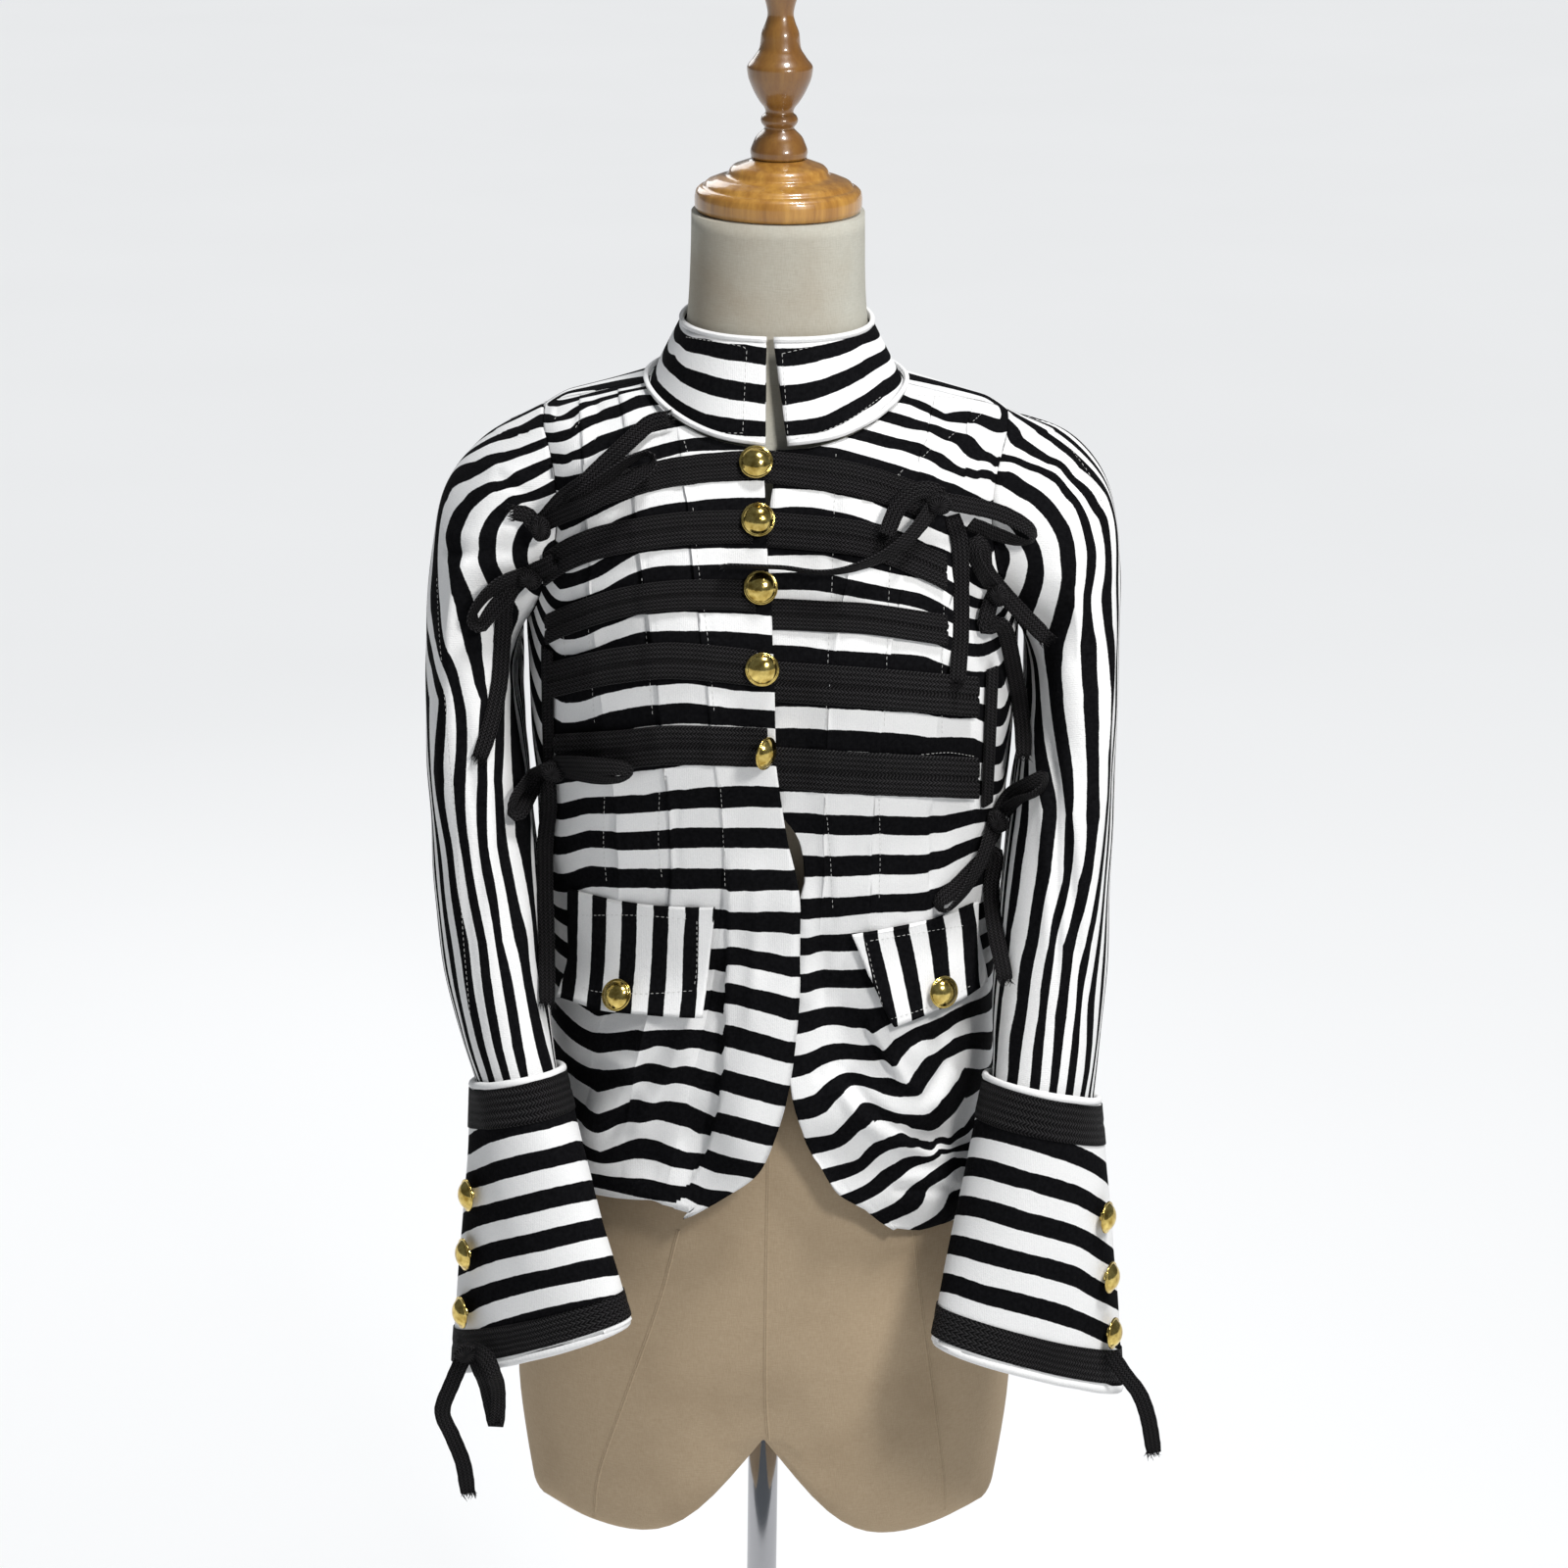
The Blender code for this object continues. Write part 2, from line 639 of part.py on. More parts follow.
def yoke(angle, way):
    """A point of the plain form between the chest (way 0) and the neckline (way 1)."""
    low = trunk(angle, CHEST_Z)
    high = neckline(angle)
    sideways = math.sin(angle) ** 2
    end = "front" if math.cos(angle) > 0 else "back"
    held = min(way, 1.0)
    close = blend(held ** CLOSE[end], shoulder(held, "close"), sideways)
    rise = blend(1 - (1 - held) ** RISE[end], shoulder(held, "rise"), sideways)
    if way > 1:
        # past the neckline the form runs on, closing in faster than it rises
        close = 1 + 1.5 * (way - 1)
        rise = way
    flat = low.lerp(high, close)
    return Vector((flat.x, flat.y, blend(low.z, high.z, rise)))


Surface = namedtuple("Surface", "tree corners")


def surface_tree(grid, around=False):
    """A grid of points as a surface that rays can be dropped on."""
    points = [p for row in grid for p in row]
    wide = len(grid[0])
    faces = []
    for i in range(len(grid) - 1):
        for j in range(wide - 1 + around):
            k = (j + 1) % wide
            a, b, c, d = i * wide + j, i * wide + k, (i + 1) * wide + k, (i + 1) * wide + j
            if (points[a] - points[c]).length <= (points[b] - points[d]).length:
                faces += [(a, b, c), (a, c, d)]
            else:
                faces += [(a, b, d), (b, c, d)]
    return Surface(BVHTree.FromPolygons(points, faces), points)


def surface_of(array, around=False):
    return surface_tree([[Vector(p) for p in row] for row in array], around)


def yoke_surface():
    """The yoke's plain form, run on a little past the neckline."""
    ways = np.linspace(0, 1.12, 29)
    angles = np.radians(np.arange(-180, 180, 3))
    return surface_tree([[yoke(a, w) for a in angles] for w in ways], around=True)


YOKE = yoke_surface().tree


def armhole(side, turn, front):
    """A point of the armhole; turn runs from 0 at the shoulder tip to pi at the underarm."""
    swing = ARMHOLE_SWEEP * math.sin(turn) * (1 if front else -1)
    point = yoke(SIDE - swing, ARMHOLE_MID * (1 + math.cos(turn)))
    point.x *= side
    return point


def grid_normals(grid, around=False):
    """Unit normals of a grid of points."""
    p = np.array(grid, float)
    up = np.gradient(p, axis=0)
    if around:
        across = (np.roll(p, -1, axis=1) - np.roll(p, 1, axis=1)) / 2
    else:
        across = np.gradient(p, axis=1)
    n = np.cross(across, up)
    return n / np.linalg.norm(n, axis=2, keepdims=True)


OUT_AND_UP = 0.15


def facing_out(normals, grid, middle_y=0.0):
    """Turns a grid's normals away from the upright through the middle, and upwards."""
    away = np.array(grid, float) - np.array([0.0, middle_y, 0.0])
    away[..., 2] = OUT_AND_UP
    total = (normals * away).sum()
    return normals if total > 0 else -normals


def level(normals, which, axis):
    """Takes one axis out of the normals along a seam that two panels share."""
    part = normals[which]
    part[..., axis] = 0
    part /= np.linalg.norm(part, axis=-1, keepdims=True)
    normals[which] = part


def ridges(folds, a, b):
    """The height of all the soft ridges of a fold table at (a, b)."""
    names = list(folds)
    total = 0.0
    for row in zip(*(folds[n] for n in names)):
        a0, b0, a1, b1, wide, high = row
        da, db = a1 - a0, b1 - b0
        long = da * da + db * db
        along = ((a - a0) * da + (b - b0) * db) / long
        held = min(max(along, 0.0), 1.0)
        off = math.hypot(a - a0 - held * da, b - b0 - held * db)
        total += high * math.exp(-((off / wide) ** 2))
    return total


def finish(name, colour, roughness, metallic=0.0):
    material = bpy.data.materials.get(name)
    if material is None:
        material = bpy.data.materials.new(name)
        material.use_nodes = True
        shader = material.node_tree.nodes["Principled BSDF"]
        shader.inputs["Base Color"].default_value = (*colour, 1.0)
        shader.inputs["Roughness"].default_value = roughness
        shader.inputs["Metallic"].default_value = metallic
    return material


def new_material(node, kind):
    colour, roughness, metallic = FINISHES[kind]
    return finish(node + "_" + kind, colour, roughness, metallic)


FINISHES = {
    "striped_jersey": ((0.60, 0.60, 0.62), 0.92, 0.0),
    "white_jersey": ((0.86, 0.86, 0.86), 0.92, 0.0),
    "black_braid": ((0.012, 0.012, 0.014), 0.80, 0.0),
    "gilt": ((0.80, 0.62, 0.25), 0.20, 1.0),
    "linen": ((0.62, 0.58, 0.52), 0.95, 0.0),
    "oak": ((0.62, 0.31, 0.09), 0.25, 0.0),
    "chrome": ((0.78, 0.78, 0.80), 0.10, 1.0),
    "foot_steel": ((0.60, 0.60, 0.62), 0.30, 1.0),
}


def make(name, points, faces, kind):
    """A closed object with its faces turned outwards."""
    mesh = bpy.data.meshes.new(name)
    mesh.from_pydata([tuple(p) for p in points], [], faces)
    shape = bmesh.new()
    shape.from_mesh(mesh)
    bmesh.ops.recalc_face_normals(shape, faces=shape.faces)
    bmesh.ops.triangulate(shape, faces=shape.faces, quad_method="SHORT_EDGE")
    if shape.calc_volume(signed=True) < 0:
        bmesh.ops.reverse_faces(shape, faces=shape.faces)
    shape.to_mesh(mesh)
    shape.free()
    mesh.shade_smooth()
    mesh.set_sharp_from_angle(angle=math.radians(50))
    mesh.materials.append(new_material(name, kind))
    thing = bpy.data.objects.new(name, mesh)
    bpy.context.collection.objects.link(thing)
    return thing


def wall(name, grid, normals, thick, kind, around=False):
    """Cloth: a grid of points as its face, a wall's thickness behind it, and its edges."""
    face = np.array(grid, float)
    back = face - normals * thick
    tall, wide = face.shape[:2]
    points = [*face.reshape(-1, 3), *back.reshape(-1, 3)]
    behind = tall * wide
    faces = []
    across = range(wide if around else wide - 1)
    for j in across:
        k = (j + 1) % wide
        for i in range(tall - 1):
            a, b, c, d = i * wide + j, i * wide + k, (i + 1) * wide + k, (i + 1) * wide + j
            faces.append((a, b, c, d))
            faces.append((behind + d, behind + c, behind + b, behind + a))
        for row in (0, tall - 1):
            a, b = row * wide + j, row * wide + k
            faces.append((a, b, behind + b, behind + a))
    if not around:
        for i in range(tall - 1):
            for j in (0, wide - 1):
                a, b = i * wide + j, (i + 1) * wide + j
                faces.append((a, b, behind + b, behind + a))
    return make(name, points, faces, kind)


def turned(name, profile, kind, segments, place=None):
    """A round solid from (radius, height) pairs, from its foot on the axis to its top."""
    points = []
    rings = []
    for radius, height in profile:
        if radius == 0:
            rings.append([len(points)])
            points.append(Vector((0, 0, height)))
            continue
        rings.append(list(range(len(points), len(points) + segments)))
        for k in range(segments):
            a = 2 * math.pi * k / segments
            points.append(Vector((radius * math.cos(a), radius * math.sin(a), height)))
    faces = []
    for low, high in zip(rings, rings[1:]):
        for k in range(segments):
            m = (k + 1) % segments
            if len(low) == 1:
                faces.append((low[0], high[m], high[k]))
            elif len(high) == 1:
                faces.append((low[k], low[m], high[0]))
            else:
                faces.append((low[k], low[m], high[m], high[k]))
    thing = make(name, points, faces, kind)
    if place is not None:
        centre, axis = place
        thing.location = centre
        thing.rotation_mode = "QUATERNION"
        thing.rotation_quaternion = Vector(axis).to_track_quat("Z", "Y")
    return thing


# The columns of a front, from the edge (0) over the tucks (1, 2, 3) to the side (4)
NECK_CORNER = 1.5  # the column that ends where the neckline meets the shoulder seam
NARROWEST = 0.010  # the least breadth between two lines where the edge curves away
FRONT_COLUMNS = (
    0, 0.35, 0.70, 1 - TUCK_HALF, 1 + TUCK_HALF, 1.25, NECK_CORNER, 2 - TUCK_HALF, 2 + TUCK_HALF, 2.5,
    3 - TUCK_HALF, 3 + TUCK_HALF, 3.4, 3.7, 4,
)
SHOULDER_COLUMN = FRONT_COLUMNS.index(NECK_CORNER)
# The rows of a panel from the hem (0) to the chest (1)
SKIRT_ROWS = (0, 0.07, 0.14, 0.21, 0.28, 0.35, 0.42, 0.48)
BODY_ROWS = (0.54, 0.60, 0.65, 0.69, 0.73, 0.78, 0.85, 0.92, 1.0)
PANEL_ROWS = SKIRT_ROWS + BODY_ROWS
SIDES = {"left": 1, "right": -1}


def edge_x(name, z):
    return curve(z, EDGES[name]["z"], EDGES[name]["x"])


def line_x(name, line, z):
    """A tuck's distance from the centre, from the hem to the chest."""
    tucks = TUCKS[name]
    knots = np.array([SKIRT_Z, WAIST_Z, CHEST_Z])
    return curve(z, knots, np.array([tucks[k][line] for k in ("hem", "waist", "chest")]))


def front_x(name, column, z, top=None):
    """The distance from the centre of a column at z, or towards the top at a share top."""
    lines = [edge_x(name, z if top is None else blend(CHEST_Z, NECKLINE_Z["front"], top))]
    for line in range(3):
        x = line_x(name, line, z)
        if top is not None:
            x = blend(x, TUCKS[name]["top"][line], top)
        lines.append(max(x, lines[-1] + NARROWEST))
    if column >= 3:
        return lines[3]
    i = int(column)
    x = blend(lines[i], lines[i + 1], column - i)
    if top is not None and 1 < column <= NECK_CORNER:
        # at the neckline the columns turn evenly towards the corner
        start = angle_at(lines[1], NECKLINE["width"])
        turn = blend(start, SIDE, (column - 1) / (NECK_CORNER - 1))
        x = blend(x, NECKLINE["width"] * math.sin(turn) ** SQUARENESS, top)
    return x


def front_trunk_point(name, column, row):
    """A point of a front's plain form from the hem to the chest."""
    low_x = front_x(name, min(column, 3), SKIRT_Z)
    hem_x = low_x if column <= 3 else blend(low_x, TRUNK["width"][1], column - 3)
    if column == 0:
        hem_z = EDGES[name]["z"][0]
    else:
        hem_z = float(np.interp(hem_x, HEMS[name]["x"], HEMS[name]["z"]))
    z = blend(hem_z, CHEST_Z, row)
    width = curve(z, TRUNK["z"], TRUNK["width"])
    angle = angle_at(front_x(name, column, z), width)
    if column > 3:
        angle = blend(angle, SIDE, column - 3)
    return trunk(angle, z)


def fan_top(x):
    """The top seam at x: the neckline, or past its side the shoulder seam."""
    if abs(x) <= NECKLINE["width"] + SAME:
        return neckline(angle_at(x, NECKLINE["width"]))
    low, high = ARMHOLE_MID, 1.0
    for _ in range(30):
        way = (low + high) / 2
        if yoke(SIDE, way).x > abs(x):
            low = way
        else:
            high = way
    return yoke(math.copysign(SIDE, x), way)


def back_top(x):
    if abs(x) <= NECKLINE["width"] + SAME:
        return neckline(math.copysign(math.pi, x) - angle_at(x, NECKLINE["width"]))
    return fan_top(x)


def fan_point(x_low, x_high, row, facing):
    """A point of the yoke on a line that rises from the chest to the top seam."""
    x = blend(x_low, x_high, row)
    top = fan_top(x_high) if facing < 0 else back_top(x_high)
    if row >= 1:
        return top
    climb = math.atan2(top.z - CHEST_Z, max(facing * top.y, 0.0)) * row
    start = Vector((x, 0, CHEST_Z))
    way = Vector((0, facing * math.cos(climb), math.sin(climb)))
    hit = YOKE.ray_cast(start, way)[0]
    return hit


def onto_yoke(point):
    return YOKE.find_nearest(point)[0]


def front_grid(name):
    """A front's plain form: rows from the hem to the top, columns from the edge to the side.
    It is worked out on the left and mirrored for the right."""
    grid = [[front_trunk_point(name, c, r) for c in FRONT_COLUMNS] for r in PANEL_ROWS]
    for step in range(1, ARMHOLE_STEPS + 1):
        share = step / ARMHOLE_STEPS
        seam = armhole(1, math.pi * (1 - share), True)
        line = []
        for c in FRONT_COLUMNS:
            low = front_x(name, min(c, 3), CHEST_Z)
            high = front_x(name, min(c, 3), CHEST_Z, 1.0)
            point = fan_point(low, high, share, -1)
            if c > 3:
                point = point.lerp(seam, c - 3)
                if c < 4 and step < ARMHOLE_STEPS:
                    point = onto_yoke(point)
            if c > 3 and step == ARMHOLE_STEPS:
                point = fan_top(blend(high, armhole(1, 0, True).x, c - 3))
            line.append(point)
        grid.append(line)
    return grid


def tuck_height(column, z):
    """Each tuck rises towards its fold edge, and drops off beyond it."""
    line = round(column)
    if line not in (1, 2, 3) or not 0 < line - column <= 2 * TUCK_HALF:
        return 0.0
    return TUCK_HEIGHT * eased(z, TUCK_FOOT - TUCK_FADE, TUCK_FOOT)


def lap_depth(name, x, z):
    """The left front goes under the right one above the last button's gap."""
    if name == "right":
        return 0.0
    return -LAP_DEPTH * (1 - eased(x, *LAP_ACROSS)) * eased(z, *LAP_UP)


def front_relief(name, column, point):
    x, z = point.x, point.z
    drape = ridges(FOLDS[name], x, z) * (1 - eased(z, *FOLDS_END["front"]))
    return drape + tuck_height(column, z) + lap_depth(name, x, z)


def mirrored(grid):
    p = np.array(grid, float)
    p[..., 0] *= -1
    return p


def front_panel(name):
    grid = front_grid(name)
    normals = facing_out(grid_normals(grid), grid)
    rows_below = len(PANEL_ROWS)
    level(normals, (slice(0, rows_below), -1), 1)
    level(normals, (-1, slice(SHOULDER_COLUMN, None)), 1)
    plain = np.array(grid, float)
    relief = np.array(
        [[front_relief(name, c, p) for c, p in zip(FRONT_COLUMNS, row)] for row in grid]
    )
    relief[:, -1] = 0
    relief[-1] = 0
    face = plain + normals * relief[..., None]
    face[:rows_below, -1, 1] -= SEAM_GAP / 2
    face[-1, SHOULDER_COLUMN:, 1] -= SEAM_GAP / 2
    if name == "right":
        plain, face, normals = mirrored(plain), mirrored(face), mirrored(normals)
    wall("front_" + name, face, normals, CLOTH, "striped_jersey")
    return {"plain": surface_of(plain), "face": surface_of(face)}


BACK_CORNER = 0.56  # the column that ends where the neckline meets the shoulder seam
BACK_TUCK = 0.72  # the last column that runs straight up
SHOULDER_MID_X = 0.118
BACK_COLUMNS = (
    -1, -0.86, -0.72, -0.56, -0.42, -0.30, -0.15, 0, 0.15, 0.30, 0.42, 0.56, 0.72, 0.86, 1,
)


def back_point(column, row):
    """A point of the back's plain form from the hem to the chest."""
    angle = math.pi - column * SIDE
    side_x = abs(column) * TRUNK["width"][1]
    hem_z = float(np.interp(side_x, BACK_HEM["x"], BACK_HEM["z"]))
    if abs(column) == 1:
        end = "left" if column > 0 else "right"
        hem_z = float(np.interp(TRUNK["width"][1], HEMS[end]["x"], HEMS[end]["z"]))
    return trunk(angle, blend(hem_z, CHEST_Z, row))


def back_top_x(column):
    """How far from the centre a column of the back ends along the top seams."""
    if column <= BACK_CORNER:
        return NECKLINE["width"] * math.sin(SIDE * column / BACK_CORNER) ** SQUARENESS
    share = (column - BACK_CORNER) / (BACK_TUCK - BACK_CORNER)
    return blend(NECKLINE["width"], SHOULDER_MID_X, share)


def back_grid():
    grid = [[back_point(c, r) for c in BACK_COLUMNS] for r in PANEL_ROWS]
    tip = armhole(1, 0, False).x
    for step in range(1, ARMHOLE_STEPS + 1):
        share = step / ARMHOLE_STEPS
        line = []
        for c in BACK_COLUMNS:
            side = math.copysign(1, c)
            seam = armhole(side, math.pi * (1 - share), False)
            low = trunk(math.pi - c * SIDE, CHEST_Z).x
            if abs(c) > BACK_TUCK:
                low = trunk(math.pi - side * BACK_TUCK * SIDE, CHEST_Z).x
            high = side * back_top_x(min(abs(c), BACK_TUCK))
            point = fan_point(low, high, share, 1)
            if abs(c) > BACK_TUCK:
                out = (abs(c) - BACK_TUCK) / (1 - BACK_TUCK)
                if step == ARMHOLE_STEPS:
                    point = back_top(blend(high, side * tip, out))
                else:
                    point = point.lerp(seam, out)
                    if out < 1:
                        point = onto_yoke(point)
            line.append(point)
        grid.append(line)
    return grid


def back_panel():
    grid = back_grid()
    normals = facing_out(grid_normals(grid), grid)
    rows_below = len(PANEL_ROWS)
    along_shoulder = [j for j, c in enumerate(BACK_COLUMNS) if abs(c) >= BACK_CORNER]
    for j in (0, -1):
        level(normals, (slice(0, rows_below), j), 1)
    level(normals, (-1, along_shoulder), 1)
    relief = np.array([[ridges(BACK_FOLDS, p.x, p.z) for p in row] for row in grid])
    fade = np.array([1 - eased(row[0].z, *FOLDS_END["back"]) for row in grid])
    relief *= fade[:, None]
    relief[:, (0, -1)] = 0
    face = np.array(grid, float) + normals * relief[..., None]
    for j in (0, -1):
        face[:rows_below, j, 1] += SEAM_GAP / 2
    face[-1, along_shoulder, 1] += SEAM_GAP / 2
    wall("back", face, normals, CLOTH, "striped_jersey")


def sleeve_ring(rings, row, turn, side):
    """A point of a sleeve's ring; turn 0 is the outer point and a quarter turn the front."""
    centre_x = (rings["out_x"][row] + rings["in_x"][row]) / 2
    centre_z = (rings["out_z"][row] + rings["in_z"][row]) / 2
    half_x = rings["out_x"][row] - centre_x
    half_z = rings["out_z"][row] - centre_z
    x = centre_x + half_x * math.cos(turn)
    z = centre_z + half_z * math.cos(turn)
    if "y" in rings:
        middle = rings["y"][row]
    else:
        middle = blend(rings["in_y"][row], rings["out_y"][row], (1 + math.cos(turn)) / 2)
    forward = rings["depth"][row] * math.sin(turn)
    # the arm hangs forwards, so that the front of each ring is raised
    z += forward * rings["lean"][row]
    return Vector((x * side, middle - forward, z))


def turns():
    return [math.pi * k / ARMHOLE_STEPS for k in range(2 * ARMHOLE_STEPS)]


def sleeve(name):
    side = SIDES[name]
    rings = SLEEVES[name]
    grid = []
    first = []
    for turn in turns():
        if turn <= math.pi:
            point = armhole(side, turn, True)
        else:
            point = armhole(side, 2 * math.pi - turn, False)
        first.append(point + Vector((side * SEAM_GAP, 0, 0)))
    grid.append(first)
    for row in range(len(rings["y"])):
        grid.append([sleeve_ring(rings, row, turn, side) for turn in turns()])
    for way, inset in zip(*SLEEVE_END.values()):
        grid.append([cuff_inset(name, way, turn, inset) for turn in turns()])
    normals = grid_normals(grid, around=True)
    p = np.array(grid, float)
    middle = p.mean(axis=1, keepdims=True)
    if ((p - middle) * normals)[3:].sum() < 0:
        normals = -normals
    ways = np.linspace(0, 1, len(grid))
    folds = dict(SLEEVE_FOLDS[name])
    for end in ("way0", "way1"):
        folds[end] = folds[end] * LENGTH_AS_TURN
    relief = np.array(
        [[ridges(folds, math.degrees(t), LENGTH_AS_TURN * way) for t in turns()] for way in ways]
    )
    fade_in = np.array([eased(way, *SLEEVE_FOLDS_START) for way in ways])
    fade_out = np.array([1 - eased(way, *SLEEVE_FOLDS_END) for way in ways])
    relief *= (fade_in * fade_out)[:, None]
    face = p + normals * relief[..., None]
    wall("sleeve_" + name, face, normals, CLOTH, "striped_jersey", around=True)
    return surface_of(face, around=True)


def cuff_point(name, way, turn):
    """A point of a cuff's face; way runs from 0 at its top to 1 at its foot."""
    rings = CUFFS[name]
    knots = np.linspace(0, 1, len(rings["depth"]))
    row = {k: np.array([curve(way, knots, v)]) for k, v in rings.items()}
    return sleeve_ring(row, 0, turn, SIDES[name])


def cuff_inset(name, way, turn, inset):
    point = cuff_point(name, way, turn)
    centre = (cuff_point(name, way, 0) + cuff_point(name, way, math.pi)) / 2
    return point + (centre - point).normalized() * inset


def cuff(name):
    ways = np.linspace(0, 1, 5)
    grid = [[cuff_point(name, w, t) for t in turns()] for w in ways]
    normals = outward_round(grid)
    wall("cuff_" + name, grid, normals, CLOTH, "striped_jersey", around=True)
    bands = []
    for label, edges in CUFF_BANDS.items():
        band = [[cuff_point(name, w, t) for t in turns()] for w in edges]
        out = outward_round(band)
        lifted = np.array(band, float) + out * (TAPE_THICK + BAND_CLEAR)
        wall(f"cuff_band_{label}_{name}", lifted, out, TAPE_THICK, "black_braid", around=True)
        bands.append(surface_of(lifted, around=True))
    return surface_of(grid, around=True), bands


def outward_round(grid):
    normals = grid_normals(grid, around=True)
    p = np.array(grid, float)
    if ((p - p.mean(axis=1, keepdims=True)) * normals).sum() < 0:
        return -normals
    return normals


def collar_point(angle, way):
    """A point of the collar's face; way is 0 at its foot and 1 at its top."""
    foot = neckline(angle)
    x, y = section(angle, COLLAR_TOP["width"], COLLAR_TOP["front"], COLLAR_TOP["back"])
    top = Vector((x, y, round_value(angle, COLLAR_TOP_Z)))
    return foot.lerp(top, way)


COLLAR_STEPS = 22
COLLAR_WAYS = (0, 0.34, 0.67, 1)


def collar_angle(step, way):
    """Angles from the left front edge round the back to the right front edge."""
    width = blend(NECKLINE["width"], COLLAR_TOP["width"], way)
    start = angle_at(blend(*COLLAR_OPEN["left"], way), width)
    end = 2 * math.pi + angle_at(blend(*COLLAR_OPEN["right"], way), width)
    return blend(start, end, step / COLLAR_STEPS)


def collar():
    grid = []
    for way in COLLAR_WAYS:
        line = [collar_point(collar_angle(s, way), way) for s in range(COLLAR_STEPS + 1)]
        grid.append(line)
    normals = facing_out(grid_normals(grid), grid, -0.01)
    face = np.array(grid, float)
    face[0] += (face[1] - face[0]) * COLLAR_CLEAR
    wall("collar", face, normals, CLOTH, "striped_jersey")
    up = np.array([0, 0, 1])
    foot = face[0] + normals[0] * (PIPING + PIPING_CLEAR) + up * FOOT_PIPING_RISE
    piping("collar_piping_foot", foot, normals[0])
    top = face[-1] - normals[-1] * CLOTH / 2 + up * (PIPING + PIPING_CLEAR)
    piping("collar_piping_top", top, normals[-1])


def piping(name, centre, out):
    """A rolled edge: a four-sided round along the centre points, with closed ends."""
    sides = 4
    along = np.gradient(centre, axis=0)
    along /= np.linalg.norm(along, axis=1, keepdims=True)
    up = np.cross(along, out)
    up /= np.linalg.norm(up, axis=1, keepdims=True)
    points = []
    for c, o, u in zip(centre, out, up):
        for k in range(sides):
            a = 2 * math.pi * k / sides
            points.append(c + PIPING * (math.cos(a) * o + math.sin(a) * u))
    count = len(centre)
    faces = [tuple(range(sides)), tuple(range((count - 1) * sides, count * sides))]
    for i in range(count - 1):
        for k in range(sides):
            m = (k + 1) % sides
            a = i * sides
            faces.append((a + k, a + m, a + sides + m, a + sides + k))
    return make(name, points, faces, "white_jersey")


FORWARD = Vector((0, -1, 0))
NEAR = 0.006


def seen(surface, x, z):
    """The place of a surface that is seen straight from the front, and its normal."""
    hit, normal = surface.tree.ray_cast(Vector((x, -1, z)), -FORWARD)[:2]
    if hit is not None and normal.y > 0:
        normal = -normal
    return hit, normal


def rise_near(front, x, z):
    """How far the front's folds and tucks rise off its plain form round a place."""
    highest = 0.0
    for dx in (-NEAR, 0, NEAR):
        for dz in (-NEAR, 0, NEAR):
            plain, normal = seen(front["plain"], x + dx, z + dz)
            face = seen(front["face"], x + dx, z + dz)[0]
            if plain is not None and face is not None:
                highest = max(highest, (face - plain).dot(normal))
    return highest


def on_front(front, x, z, clear):
    """A place just clear of a front, and the normal there."""
    hit, normal = seen(front["plain"], x, z)
    return hit + normal * (rise_near(front, x, z) + clear), normal


def braid(name, row, front):
    """One row of braid: two tapes side by side, from near the edge to the side."""
    side = SIDES[name]
    rows = BRAIDS[name]
    knots = np.array([0.0, 0.5, 1.0])
    across = np.array([rows[k][row] for k in ("x0", "x1", "x2")])
    heights = np.array([rows[k][row] for k in ("z0", "z1", "z2")])
    grid = [[], [], []]
    normals = [[], [], []]
    for way in np.linspace(0, 1, BRAID_POINTS):
        x = curve(way, knots, across) * side
        z = curve(way, knots, heights)
        for line, offset in enumerate((-0.5, 0, 0.5)):
            point, normal = on_front(front, x, z + offset * BRAID_WIDTH, LAID + TAPE_THICK)
            grid[line].append(point)
            normals[line].append(normal)
    face = np.array(grid, float)
    out = np.array(normals, float)
    wall(f"braid_{name}_{row + 1}", face, out, TAPE_THICK, "black_braid")
    return surface_of(face)


def side_tape(name, row, front):
    grid = []
    normals = []
    for z in np.linspace(SIDE_TAPES["z_foot"][row], SIDE_TAPES["z_top"][row], 9):
        line, outs = [], []
        for offset in (-0.5, 0, 0.5):
            x = SIDE_TAPES["x"][row] + offset * TAPE_WIDTH * FORESHORTENED
            point, normal = on_front(front, x, z, LAID + TAPE_THICK)
            line.append(point)
            outs.append(normal)
        grid.append(line)
        normals.append(outs)
    face = np.array(grid, float)
    wall("side_tape_" + name, face, np.array(normals, float), TAPE_THICK, "black_braid")
    return surface_of(face)


FLAP_ROWS = (0, 0.12, 0.4, 0.7, 1.0)
FLAP_STEPS = 7


def flap(name, front):
    """A pocket flap: flat in each row, standing off more towards its foot."""
    cut = FLAPS[name]
    side = SIDES[name]
    grid, normals = [], []
    highest = 0.0
    for down in FLAP_ROWS:
        line, outs, rises = [], [], []
        for across in np.linspace(0, 1, FLAP_STEPS + 1):
            top = blend(np.array(cut["top"][0]), np.array(cut["top"][1]), across)
            foot = blend(np.array(cut["foot"][0]), np.array(cut["foot"][1]), across)
            x, z = blend(top, foot, down)
            hit, normal = seen(front["plain"], x * side, z)
            rises.append(rise_near(front, x * side, z))
            line.append(hit)
            outs.append(normal)
        highest = max(highest, max(rises))
        lift = highest + blend(*FLAP_LIFT, down) + FLAP_THICK
        grid.append([hit + out * lift for hit, out in zip(line, outs)])
        normals.append(outs)
    face = np.array(grid, float)
    thing = wall("flap_" + name, face, np.array(normals, float), FLAP_THICK, "striped_jersey")
    settle([thing], [front["face"]], -FORWARD)
    return surface_of(face + np.array(thing.location))


BUTTON = ((0, 0), (0.28, 0), (0.28, 0.30), (1.0, 0.42), (0.92, 0.54), (0.62, 0.80), (0, 0.93))


